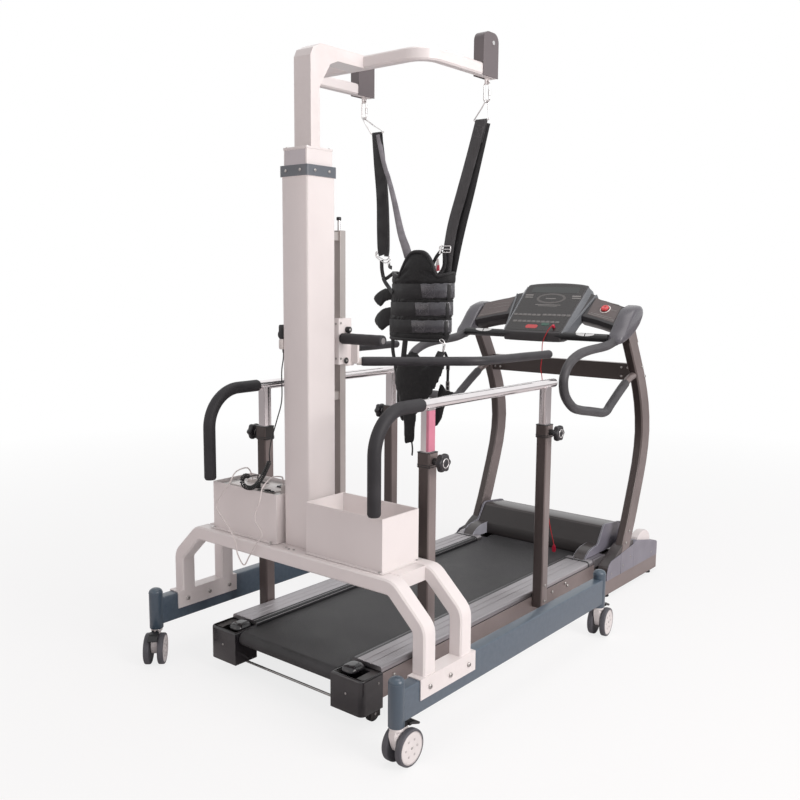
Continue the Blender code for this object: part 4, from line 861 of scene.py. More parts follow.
# Hand control: a two-tone moulded switch, black above and white below, clipped to the column's side.
switch_forms = []
for low, high, look, swell in ((1.300, 1.338, white_abs, 0.0), (1.3385, 1.390, black_abs, 0.0004)):
    shape = []
    for z, inset in (
        (low, 0.004), (low + 0.003, 0.001), (low + 0.008, 0.0), (high - 0.008, 0.0), (high - 0.003, 0.001),
        (high, 0.004),
    ):
        shape.append([
            Vector((-0.0754 + a, -0.9935 + b, z))
            for a, b in rounded_rectangle(0.020 - inset, 0.037 - inset, 0.006)
        ])
    switch_forms.append((lofted(shape), look))
switch_forms.append((lathed("z", (-0.0754, -0.995, 0), [
    (1.286, 0.0030), (1.292, 0.0042), (1.304, 0.0048)
], 20), black_abs))
for z in (1.352, 1.372):
    key = [(-0.9935 + a, z + b) for a, b in rounded_rectangle(0.016, 0.012, 0.004)]
    switch_forms.append((extruded("yz", key, -0.0866, -0.084), white_abs))
fitted("hand_switch", "gantry", switch_forms, replaces=["hand_control"])

# Casters: twin-wheel swivel casters of white nylon. Each wheel has a grey rubber tread, a pale
# grey flange and a white snap-on disc; a black pedal works the brake.
grey_tread = moulded("grey_rubber_tread", "55555b", 0.55, 0.003, 0.20)
pale_flange = moulded("pale_grey_nylon", "c9c4c4", 0.38, 0.004, 0.08)
white_nylon = moulded("white_nylon", "ece7e6", 0.32, 0.005, 0.06, coat=0.2)
CASTERS = {
    "rear_right": (1, REAR_POST_Y, 0),
    "rear_left": (-1, REAR_POST_Y, -137),
    "front_right": (1, FRONT_POST_Y, 8),
    "front_left": (-1, FRONT_POST_Y, -8),
}
WHEEL_RADIUS = 0.0625
TRAIL = 0.033
for name, (side, y, turned_by) in CASTERS.items():
    stem = Matrix.Translation((side * RAIL_X, y, 0)) @ Matrix.Rotation(math.radians(turned_by), 4, "Z")
    fork_web_and_rear_shade = [
        (-0.021, 0.1275), (-0.024, 0.118), (-0.0235, 0.108), (-0.0195, 0.092), (-0.013, 0.072),
        (-0.004, 0.056), (0.010, 0.047),
    ]
    fork_web_and_rear_shade += [
        (0.026, 0.043), (0.042, 0.045), (0.055, 0.053), (0.063, 0.067), (0.066, 0.084), (0.062, 0.101),
        (0.053, 0.116), (0.044, 0.1255), (0.024, 0.1275),
    ]
    housing = [(extruded("yz", fork_web_and_rear_shade, -0.0125, 0.0125), white_nylon)]
    neck = [
        (0.1262, 0.0205), (0.1285, 0.0232), (0.1330, 0.0235), (0.1360, 0.0228), (0.1375, 0.0205),
        (0.1376, 0.0060), (0.1620, 0.0060),
    ]
    housing.append((lathed("z", (0, 0, 0), neck, 40), white_nylon))
    housing.append((lathed("z", (0, 0, 0), [
        (0.1362, 0.0236), (0.1366, 0.0242), (0.1376, 0.0242), (0.1378, 0.0236)
    ], 40), chrome))
    housing.append((lathed("x", (0, TRAIL, WHEEL_RADIUS), [
        (-0.0145, 0.010), (-0.0135, 0.014), (0.0135, 0.014), (0.0145, 0.010)
    ], 32), white_nylon))
    for z in (0.112, 0.118):
        housing.append((block((-0.0142, 0.0142), (-0.016, 0.040), (z, z + 0.0016)), white_nylon))
    fitted(
        "caster_fork_" + name, "caster_" + name, housing,
        replaces=["caster_housing_" + name], bevel=0.0018, segments=3, turn=stem,
    )
    wheels = []
    for hand in (1, -1):
        tread = [
            (0.0160, 0.0535), (0.0160, 0.0595), (0.0172, 0.0613), (0.0190, 0.0622), (0.0230, 0.0625),
            (0.0330, 0.0625), (0.0365, 0.0620), (0.0385, 0.0606), (0.0393, 0.0588), (0.0393, 0.0548),
            (0.037, 0.0535),
        ]
        flange = [
            (0.0165, 0.0540), (0.0385, 0.0545), (0.0396, 0.0540), (0.0396, 0.0524), (0.0385, 0.0518),
            (0.0165, 0.0518),
        ]
        disc = [
            (0.0170, 0.0520), (0.0378, 0.0520), (0.0392, 0.0502), (0.0388, 0.0380), (0.0374, 0.0280),
            (0.0380, 0.0220), (0.0392, 0.0160), (0.0395, 0.0085), (0.0387, 0.0078), (0.0387, 0.0040),
        ]
        for profile, look in ((tread, grey_tread), (flange, pale_flange), (disc, white_nylon)):
            wheels.append((lathed(
                "x", (0, TRAIL, WHEEL_RADIUS), [(hand * a, r) for a, r in profile], 64
            ), look))
        wheels.append((lathed("x", (0, TRAIL, WHEEL_RADIUS), [
            (hand * 0.0155, 0.0045), (hand * 0.0392, 0.0045), (hand * 0.0398, 0.0035)
        ], 24), zinc_screw))
        for i in range(6):
            around = math.tau * i / 6
            spot = (
                hand * 0.0386, TRAIL + 0.0295 * math.cos(around), WHEEL_RADIUS + 0.0295 * math.sin(around)
            )
            wheels.append((lathed("x", spot, [
                (-0.0012, 0.0042), (0.0002, 0.0042), (0.0006, 0.0030)
            ], 14), pale_flange))
    fitted(
        "caster_wheel_pair_" + name, "wheels_" + name, wheels,
        replaces=["caster_wheels_" + name], turn=stem,
    )
    pedal = []
    pad = [
        (0.046, 0.128), (0.060, 0.1275), (0.078, 0.1205), (0.096, 0.1145), (0.100, 0.1152),
        (0.101, 0.1180), (0.098, 0.1225), (0.082, 0.1300), (0.066, 0.1358), (0.056, 0.1374),
        (0.046, 0.1375),
    ]
    rings = []
    for x, inset in ((-0.019, 0.0012), (-0.0180, 0.0), (0.0180, 0.0), (0.019, 0.0012)):
        middle = (0.073, 0.127)
        rings.append([
            Vector((
                x, middle[0] + (a - middle[0]) * (1 - 12 * inset),
                middle[1] + (b - middle[1]) * (1 - 60 * inset),
            ))
            for a, b in pad
        ])
    pedal.append((lofted(rings), black_abs))
    for i in range(4):
        spot_y = 0.070 + 0.007 * i
        spot_z = 0.1352 - 0.0038 * i
        pedal.append((block(
            (-0.0165, 0.0165), (spot_y, spot_y + 0.0025), (spot_z - 0.002, spot_z + 0.0004)
        ), black_abs))
    ear = [(0.030, 0.128), (0.050, 0.128), (0.050, 0.1372), (0.030, 0.1372)]
    pedal.append((extruded("yz", ear, 0.0042, 0.013), black_abs))
    pedal.append((extruded("yz", ear, -0.013, -0.0042), black_abs))
    fitted(
        "caster_brake_" + name, "pedal_" + name, pedal,
        replaces=["caster_pedal_" + name], bevel=0.0008, turn=stem,
    )

# Mast: the inner tube that the lift raises out of the column, powder-coated white like its cap plate,
# with a strip of bare anodised aluminium down its rear face.
mast_silver = bare_metal("satin_anodised_mast", "a9a3a6", 0.40, (30.0, 30.0, 1.0), 0.05, 50.0)
mast_forms = [
    (copied("mast", lambda c: c.z < 2.0115), warm_white),
    (copied("mast", lambda c: c.z >= 2.0115), warm_white),
]
mast_forms.append((block((-0.052, 0.052), (-1.0020, -1.0000), (1.2600, 2.0100)), mast_silver))
fitted("mast_tube", "mast", mast_forms, replaces=["mast"], bevel=0.0012)

# Yoke: rectangular tube, mitred and welded: post, sloping elbow and boom, then the crossbar and the
# two forward arms bent from one length. A small welded lug under each arm takes the harness.
fitted(
    "yoke_tube", "mast", [(copied("yoke"), warm_white)], replaces=["yoke"], bevel=0.003,
    segments=3, angle=30,
)
post_places = [((x, y, 2.0205), (0, 0, 1), (1, 0, 0)) for x in (-0.050, 0.050) for y in (-0.992, -0.880)]
repeated("cap_plate_screws", "mast", cap_screw(0.0048, 0.003, 14), post_places, zinc_screw)

# Hanger blocks: bent steel covers over the arms' ends, coated dark brown-grey, with a bright pin
# through them on which the block is hung.
brown_coat = painted("brown_grey_powder_coat", "5f5659", 0.36, "8d8587", coat=0.4)
ARM_X = 0.3185
for name, side in SIDES:
    x = side * ARM_X
    rear, front = -0.335, -0.233
    outline = [(rear, 2.334), (rear, 2.466)]
    outline += [
        (rear + 0.034 - 0.034 * math.cos(t * math.pi / 16), 2.466 + 0.034 * math.sin(t * math.pi / 16))
        for t in range(1, 9)
    ]
    outline += [
        (front - 0.034 + 0.034 * math.sin(t * math.pi / 16), 2.466 + 0.034 * math.cos(t * math.pi / 16))
        for t in range(0, 9)
    ]
    outline += [(front, 2.334)]
    hanger = []
    for low, high in ((-0.0235, -0.0204), (0.0204, 0.0235)):
        hanger.append((extruded("yz", outline, x + low, x + high), brown_coat))
    inner = [(-0.3345, 2.3826)] + [(a, min(b, 2.4994)) for a, b in outline[1:-1]] + [(-0.2335, 2.3826)]
    hanger.append((extruded("yz", inner, x - 0.021, x + 0.021), brown_coat))
    fitted(
        "hanger_cover_" + name, "mast", hanger,
        replaces=["hanger_block_" + name], bevel=0.0012, angle=40,
    )
    pin = [
        (-0.0275, 0.0055), (-0.0268, 0.0078), (-0.0240, 0.0085), (-0.0232, 0.0060), (0.0232, 0.0060),
        (0.0240, 0.0085), (0.0268, 0.0078), (0.0275, 0.0055),
    ]
    fitted(
        "hanger_pin_" + name, "mast", [(lathed("x", (x, -0.273, 2.462), pin, 32), chrome)],
    )

# Carriage: a cast white block that clamps round the guide, with a plate screwed to its front for the
# two body arms. Socket screws hold the plate; a black cap with a bright screw sits on the right side.
PIN_AXIS = (0, -0.807, 1.254)
carriage_forms = [(copied("carriage"), warm_white)]
carriage_forms.append((lathed("x", PIN_AXIS, [
    (0.0655, 0.0120), (0.0675, 0.0120), (0.0685, 0.0105), (0.0685, 0.004)
], 32), black_abs))
carriage_forms.append((lathed("x", PIN_AXIS, [
    (0.0680, 0.0040), (0.0700, 0.0040), (0.0704, 0.0030)
], 20), zinc_screw))
fitted(
    "carriage_block", "carriage", carriage_forms, replaces=["carriage"], bevel=0.0018,
    segments=3, angle=40,
)
plate_spots = []
for x in (-0.097, 0.078):
    for z in (1.250, 1.310):
        plate_spots.append(((x, -0.7578, z), (0, 1, 0), (1, 0, 0)))
for x in (-0.040, 0.040):
    plate_spots.append(((x, -0.802, 1.4122), (0, 0, 1), (1, 0, 0)))
for z in (1.262, 1.345, 1.395):
    plate_spots.append(((-0.0502, -0.800, z), (-1, 0, 0), (0, 1, 0)))
    plate_spots.append(((0.0582, -0.828, z), (1, 0, 0), (0, 1, 0)))
for x in (-0.036, 0.010, 0.044):
    for z in (1.262, 1.392):
        plate_spots.append(((x, -0.8382, z), (0, -1, 0), (1, 0, 0)))
repeated(
    "carriage_screws", "carriage", cap_screw(0.0042, 0.0030, 14), plate_spots, zinc_screw
)

# Foam on the body arms, the rollers and the grips: closed-cell nitrile foam tube, matt and finely
# pored, a little uneven where it is slid over the steel, with a soft edge at its ends.


def foam_rubber(name, colour, second, roughness):
    """Nitrile foam: matt, with fine open pores and soft dents from handling."""
    made = bpy.data.materials.new(name)
    tree = clear_tree(made)
    place = add_node(tree, "ShaderNodeTexCoord")
    cloud = add_node(
        tree, "ShaderNodeTexNoise", {"Scale": 14.0, "Detail": 3.0}, Vector=place.outputs["Object"]
    )
    pores = add_node(tree, "ShaderNodeTexVoronoi", {"Scale": 640.0}, Vector=place.outputs["Object"])
    dents = add_node(
        tree, "ShaderNodeTexNoise", {"Scale": 60.0, "Detail": 2.0}, Vector=place.outputs["Object"]
    )
    shades = two_tone(tree, cloud.outputs["Fac"], 0.32, linear(second), 0.70, linear(colour))
    speck = add_node(
        tree, "ShaderNodeMapRange", {"From Max": 0.45, "To Min": 0.72, "To Max": 1.0},
        Value=pores.outputs["Distance"],
    )
    darker = add_node(
        tree, "ShaderNodeMixRGB", {"blend_type": "MULTIPLY", "Fac": 1.0}, Color1=shades.outputs["Color"],
        Color2=speck.outputs["Result"],
    )
    rough = add_node(
        tree, "ShaderNodeMapRange", {"To Min": roughness - 0.10, "To Max": roughness + 0.12},
        Value=cloud.outputs["Fac"],
    )
    low = add_node(
        tree, "ShaderNodeBump", {"Strength": 0.18, "Distance": 0.0012}, Height=dents.outputs["Fac"]
    )
    fine = add_node(
        tree, "ShaderNodeBump", {"Strength": 0.30, "Distance": 0.0003}, Height=pores.outputs["Distance"],
        Normal=low.outputs["Normal"],
    )
    looks = (darker.outputs["Color"], rough.outputs["Result"], fine.outputs["Normal"])
    surfaced(tree, {"Specular IOR Level": 0.35}, *looks)
    return made


dark_foam = foam_rubber("nitrile_foam", "333235", "28272a", 0.55)


def round_tube(points, radii, count=32):
    """A round tube along points, with its own radius at each, and rounded shut at both ends."""
    points = [Vector(p) for p in points]
    rings = []
    across = None
    for i, point in enumerate(points):
        ahead_of = (points[min(i + 1, len(points) - 1)] - points[max(i - 1, 0)]).normalized()
        if across is None:
            start = Vector((0, 0, 1)) if abs(ahead_of.z) < 0.9 else Vector((1, 0, 0))
            across = start.cross(ahead_of).normalized()
        across = (across - ahead_of * across.dot(ahead_of)).normalized()
        second = ahead_of.cross(across)
        radius = radii[i] if isinstance(radii, (list, tuple)) else radii
        ring = []
        for k in range(count):
            turn = math.tau * k / count
            ring.append(point + across * radius * math.cos(turn) + second * radius * math.sin(turn))
        rings.append(ring)
    return lofted(rings)


def rounded_path(points, bend, step=0.006):
    """A line through corner points whose corners are arcs of a given radius."""
    points = [Vector(p) for p in points]
    route = [points[0]]
    for before, corner, after in zip(points, points[1:], points[2:]):
        back = (before - corner).normalized()
        on = (after - corner).normalized()
        half = back.angle(on) / 2
        reach = bend / math.tan(half)
        middle = corner + (back + on).normalized() * (bend / math.sin(half))
        a = corner + back * reach - middle
        b = corner + on * reach - middle
        whole = a.angle(b)
        count = max(4, int(whole * bend / step))
        for i in range(count + 1):
            t = i / count
            route.append(
                middle + (a * math.sin((1 - t) * whole) + b * math.sin(t * whole)) / math.sin(whole)
            )
    route.append(points[-1])
    return route


def divided(route, step):
    """The same line with points at an even spacing."""
    total = route_length(route)
    count = max(2, round(total / step))
    made = []
    gone = 0.0
    index = 0
    for i in range(count + 1):
        goal = total * i / count
        while index < len(route) - 2 and gone + (route[index + 1] - route[index]).length < goal - 1e-9:
            gone += (route[index + 1] - route[index]).length
            index += 1
        part = (goal - gone) / max((route[index + 1] - route[index]).length, 1e-9)
        made.append(route[index].lerp(route[index + 1], min(part, 1.0)))
    return made


def soft_ends(route, radius, inset):
    """Radii along a route that round over at its ends, like the cut edge of a foam tube."""
    total = route_length(route)
    radii = []
    gone = 0.0
    for i, point in enumerate(route):
        if i:
            gone += (point - route[i - 1]).length
        near = min(gone, total - gone)
        radii.append(radius - max(0.0, inset - near) * 0.8)
    return radii


# Back roller: two nitrile foam rollers on a bar across the carriage, with chromed washers, so that
# the walker's back can turn against it.
ROLLER_AXIS = (0, -0.8225, 1.338)
roller_forms = []
for low, high in ((-0.270, -0.061), (0.061, 0.262)):
    profile = [(low, 0.0120), (low, 0.0175), (low + 0.0012, 0.0196), (low + 0.004, 0.0205)]
    for i in range(1, 12):
        spot = low + (high - low) * i / 12
        profile.append((spot, 0.0205 + 0.0003 * math.sin(i * 2.4)))
    profile += [(high - 0.004, 0.0205), (high - 0.0012, 0.0196), (high, 0.0175), (high, 0.0120)]
    roller_forms.append((lathed("x", ROLLER_AXIS, profile, 48), dark_foam))

roller_forms.append((lathed("x", ROLLER_AXIS, [(-0.0612, 0.0105), (-0.0545, 0.0105)], 28), chrome))
roller_forms.append((lathed("x", ROLLER_AXIS, [(0.0610, 0.0105), (0.0615, 0.0105)], 28), chrome))
for end, sign in ((-0.270, -1), (0.262, 1)):
    roller_forms.append((lathed("x", ROLLER_AXIS, [
        (end, 0.0110), (end + sign * 0.0002, 0.0110), (end + sign * 0.0002, 0.004)
    ], 28), chrome))

fitted("back_roller_pair", "carriage", roller_forms, replaces=["back_roller"])

# Clamp lever: a black ratchet lever on the carriage's right side. Its hub has ribs moulded round it
# and a bright screw in the middle; the handle thickens towards its rounded end.
lever_hub = (0, -0.795, 1.370)
hub = [
    (0.0590, 0.0085), (0.0590, 0.0105), (0.0602, 0.0110), (0.0740, 0.0110), (0.0757, 0.0100),
    (0.0760, 0.0080), (0.0745, 0.0045),
]
lever_forms = [(lathed("x", lever_hub, hub, 40), black_abs)]
lever_forms.append((lathed("x", lever_hub, [
    (0.0740, 0.0042), (0.0765, 0.0042), (0.0770, 0.0030)
], 20), zinc_screw))
for i in range(10):
    around = math.tau * i / 10
    spot = (0, lever_hub[1] + 0.0107 * math.cos(around), lever_hub[2] + 0.0107 * math.sin(around))
    lever_forms.append((lathed("x", spot, [(0.0595, 0.0009), (0.0735, 0.0009)], 8), black_abs))
handle = []
for t, wide, deep in (
    (0.000, 0.0062, 0.0052),
    (0.010, 0.0060, 0.0048),
    (0.020, 0.0058, 0.0048),
    (0.032, 0.0066, 0.0052),
    (0.041, 0.0066, 0.0052),
    (0.046, 0.0052, 0.0044),
    (0.048, 0.0028, 0.0028),
):
    handle.append([
        Vector((0.0680 + deep * a, lever_hub[1] + wide * b, lever_hub[2] - t))
        for a, b in round_outline(1, 24)
    ])
lever_forms.append((lofted(handle), black_abs))
fitted("clamp_handle", "clamp_lever", lever_forms, replaces=["clamp_lever"])

# Body arms: bent steel tube under smooth nitrile foam, with a short white sleeve at the hinged end and
# a black plug in the free end.
FOAM_STEP = 0.006
arm_foam = foam_rubber("smooth_arm_foam", "38363a", "2c2b2e", 0.42)
for name, side in SIDES:
    corners = [(side * 0.050, -0.730, 1.245), (side * 0.394, -0.397, 1.245), (side * 0.423, 0.088, 1.245)]
    route = divided(rounded_path(corners, 0.120), FOAM_STEP)
    body = [p for i, p in enumerate(route) if i * FOAM_STEP > 0.017]
    radii = [r + 0.00025 * math.sin(0.21 * i) for i, r in enumerate(soft_ends(body, 0.0178, 0.003))]
    arm = [(round_tube(body, radii, 36), arm_foam)]
    sleeve = [p for i, p in enumerate(route) if i * FOAM_STEP <= 0.023]
    arm.append((round_tube(sleeve, [0.0140] * len(sleeve), 32), white_abs))
    tip = route[-1]
    arm.append((lathed("y", (tip.x, 0, tip.z), [
        (tip.y - 0.004, 0.0150), (tip.y + 0.0002, 0.0150), (tip.y + 0.0003, 0.012)
    ], 28), black_abs))
    fitted(
        "body_arm_foam_" + name, "body_arm_" + name, arm,
        replaces=["body_arm_" + name],
    )

# Carabiners: chromed steel snap links through the lugs' eyes, each with a ribbed screw sleeve over
# its gate. A twisted triangular ring hangs in each and carries the webbing on its flat side.
LUG_Y = -0.275
WEBBING = 0.0022


def wire_form(points, radius, cyclic=True):
    """The mesh of a round wire along points, closed on itself or with filled ends."""
    made = flex("wire", [Vector(p) for p in points], radius, chrome, resolution=6)
    made.data.splines[0].use_cyclic_u = cyclic
    bpy.context.view_layer.update()
    form = bpy.data.meshes.new_from_object(made.evaluated_get(bpy.context.evaluated_depsgraph_get()))
    bpy.data.objects.remove(made, do_unlink=True)
    form.transform(Matrix.Translation(-DRAWN_AT))
    form.materials.clear()
    return form


LINK_TOP = 2.3197
LINK_HALF = 0.0125
LINK_LOW = LINK_TOP - 0.075
RING_LOW = 2.178
for name, side in SIDES:
    x = side * ARM_X
    outline = []
    for middle, start in ((LINK_TOP - LINK_HALF, 0), (LINK_LOW + LINK_HALF, 180)):
        for i in range(17):
            turn = math.radians(start + 180 * i / 16)
            outline.append((x + LINK_HALF * math.cos(turn), LUG_Y, middle + LINK_HALF * math.sin(turn)))
    link = [(wire_form(outline, 0.0035), chrome)]
    gate = (x + LINK_HALF, LUG_Y, 0)
    sleeve = [(LINK_LOW + 0.022, 0.0038), (LINK_LOW + 0.023, 0.0050)]
    for i in range(6):
        ridge = LINK_LOW + 0.025 + i * 0.0034
        sleeve += [
            (ridge, 0.0054), (ridge + 0.0012, 0.0054), (ridge + 0.0016, 0.0049), (ridge + 0.0028, 0.0049)
        ]
    sleeve += [(LINK_LOW + 0.047, 0.0050), (LINK_LOW + 0.048, 0.0038)]
    link.append((lathed("z", gate, sleeve, 28), chrome))
    link.append((lathed(
        "y", (gate[0], 0, LINK_TOP - 0.020), [(LUG_Y - 0.0043, 0.0016), (LUG_Y + 0.0043, 0.0016)], 14
    ), zinc_screw))
    fitted(
        "carabiner_link_" + name, "harness", link, replaces=["carabiner_" + name]
    )


def webbing(name, colour, second, rough=0.62, thread=0.0022, sheen=0.35, gloss=0.0):
    """Woven polyester webbing, read in metres from its own UV: ribs along it, picks across it and a
    soft sheen. The picks are drawn at 2.2 mm, about twice the real ones, to show."""
    made = bpy.data.materials.new(name)
    tree = clear_tree(made)
    cloth = add_node(tree, "ShaderNodeUVMap", {"uv_map": "metres"})
    parts = add_node(tree, "ShaderNodeSeparateXYZ", None, Vector=cloth.outputs["UV"])
    along = add_node(tree, "ShaderNodeMath", {"operation": "MULTIPLY"}, _0=parts.outputs["X"])
    along.inputs[1].default_value = math.tau / thread
    across = add_node(tree, "ShaderNodeMath", {"operation": "MULTIPLY"}, _0=parts.outputs["Y"])
    across.inputs[1].default_value = math.tau / (thread * 1.6)
    picks = add_node(tree, "ShaderNodeMath", {"operation": "SINE"}, _0=along.outputs[0])
    ribs = add_node(tree, "ShaderNodeMath", {"operation": "SINE"}, _0=across.outputs[0])
    crossing = add_node(
        tree, "ShaderNodeMath", {"operation": "MULTIPLY"}, _0=picks.outputs[0], _1=ribs.outputs[0]
    )
    weave = add_node(
        tree, "ShaderNodeMapRange", {"From Min": -1.0, "From Max": 1.0}, Value=crossing.outputs[0]
    )
    place = add_node(tree, "ShaderNodeTexCoord")
    cloud = add_node(
        tree, "ShaderNodeTexNoise", {"Scale": 22.0, "Detail": 4.0}, Vector=place.outputs["Object"]
    )
    mixed = add_node(
        tree, "ShaderNodeMath", {"operation": "MULTIPLY_ADD"}, _0=weave.outputs["Result"],
        _2=cloud.outputs["Fac"],
    )
    mixed.inputs[1].default_value = 0.45
    shades = two_tone(tree, mixed.outputs[0], 0.38, linear(second), 0.98, linear(colour))
    relief = add_node(
        tree, "ShaderNodeBump", {"Strength": 0.45, "Distance": 0.0005}, Height=weave.outputs["Result"]
    )
    worn = add_node(tree, "ShaderNodeMapRange", {
        "From Min": 0.3, "From Max": 0.7, "To Min": max(0.12, rough - 0.16), "To Max": rough + 0.10
    }, Value=cloud.outputs["Fac"])
    settings = {"Sheen Weight": sheen, "Sheen Roughness": 0.4, "Specular IOR Level": 0.45}
    settings.update({"Coat Weight": gloss, "Coat Roughness": 0.22})
    surfaced(tree, settings, shades.outputs["Color"], worn.outputs["Result"], relief.outputs["Normal"])
    return made


black_webbing = webbing("black_polyester_webbing", "1d1c1f", "0f0e10", sheen=0.15)
grey_webbing = webbing("grey_polyester_webbing", "4b4a4c", "323133", 0.50, sheen=0.2)
pale_webbing = webbing("pale_grey_webbing", "96949a", "5d5b60", 0.45)
coated_webbing = webbing("black_coated_webbing", "45444b", "2a292f", 0.26, gloss=0.65)
white_thread = moulded("grey_bonded_thread", "77757a", 0.45, 0.001, 0.05)


def strap(points, widths, thickness, facing, loop=False, edge=0.0006):
    """A flat strap along points with softly rounded edges, its UV map in metres along and across it.
    facing is the direction that its broad face looks in, one for all points or one for each."""
    points = [Vector(p) for p in points]
    form = bmesh.new()
    metres = form.loops.layers.uv.new("metres")
    rows = []
    gone = [0.0]
    for a, b in zip(points, points[1:]):
        gone.append(gone[-1] + (b - a).length)
    last = len(points) - 1
    for i, point in enumerate(points):
        if loop:
            ahead_of = (points[(i + 1) % len(points)] - points[i - 1]).normalized()
        else:
            ahead_of = (points[min(i + 1, last)] - points[max(i - 1, 0)]).normalized()
        face = Vector(facing[i] if isinstance(facing, list) else facing)
        face = (face - ahead_of * face.dot(ahead_of)).normalized()
        sideways = ahead_of.cross(face)
        half = (widths[i] if isinstance(widths, list) else widths) / 2
        deep = thickness / 2
        section = [(-half, -deep + edge), (-half + edge, -deep), (half - edge, -deep), (half, -deep + edge)]
        section += [(half, deep - edge), (half - edge, deep), (-half + edge, deep), (-half, deep - edge)]
        rows.append([form.verts.new(point + sideways * a + face * b) for a, b in section])
        rows[-1].append(section)
    pairs = list(zip(range(last), range(1, last + 1)))
    if loop:
        pairs.append((last, 0))
        gone.append(gone[-1] + (points[0] - points[-1]).length)
    else:
        form.faces.new(rows[0][:8])
        form.faces.new(rows[-1][:8])
    for low, high in pairs:
        for k in range(8):
            quad = (
                rows[low][k - 1 if k else 7], rows[low][k], rows[high][k], rows[high][k - 1 if k else 7]
            )
            face = form.faces.new(quad)
            ends = (
                gone[low], gone[low], gone[high if high else last + 1], gone[high if high else last + 1]
            )
            sides = (
                rows[low][8][k - 1][0], rows[low][8][k][0], rows[high][8][k][0], rows[high][8][k - 1][0]
            )
            for corner, u, v in zip(face.loops, ends, sides):
                corner[metres].uv = (u, v)
    bmesh.ops.recalc_face_normals(form, faces=form.faces)
    if form.calc_volume(signed=True) < 0:
        bmesh.ops.reverse_faces(form, faces=form.faces)
    made = bpy.data.meshes.new("strap")
    form.to_mesh(made)
    form.free()
    return made


def eased(points, widths, steps=6):
    """A smooth route through points, with widths that pass from one to the next as evenly."""
    route = smooth_route(points, steps)
    wide = []
    for i in range(len(route)):
        t = i / steps
        k = min(int(t), len(widths) - 2)
        wide.append(widths[k] + (widths[k + 1] - widths[k]) * (t - k))
    return route, wide


def stitched_box(centre, right_way, up_way, wide, high, step=0.0032):
    """The places of a box of stitches with a cross inside, as (point, outward, lengthwise)."""
    centre, right_way, up_way = Vector(centre), Vector(right_way).normalized(), Vector(up_way).normalized()
    outward = right_way.cross(up_way)
    corners = [(-wide / 2, -high / 2), (wide / 2, -high / 2), (wide / 2, high / 2), (-wide / 2, high / 2)]
    lines = [
        (corners[i], corners[(i + 1) % 4])
        for i in range(4)
    ] + [(corners[0], corners[2]), (corners[1], corners[3])]
    places = []
    for a, b in lines:
        length = math.dist(a, b)
        direction = right_way * ((b[0] - a[0]) / length) + up_way * ((b[1] - a[1]) / length)
        count = max(2, int(length / step))
        for i in range(count):
            t = (i + 0.5) / count
            places.append((
                centre + right_way * (a[0] + (b[0] - a[0]) * t) + up_way * (a[1] + (b[1] - a[1]) * t),
                outward,
                direction,
            ))
    return places


def stitch_form(length=0.0024, radius=0.00042):
    """One stitch: a short thread that dips into the cloth at both ends."""
    rings = []
    for t, share in ((-0.5, 0.35), (-0.36, 0.9), (0.0, 1.0), (0.36, 0.9), (0.5, 0.35)):
        lift = radius * (0.9 - 2.2 * t * t)
        rings.append([Vector((t * length, a, lift + b)) for a, b in round_outline(radius * share, 6)])
    return lofted(rings)


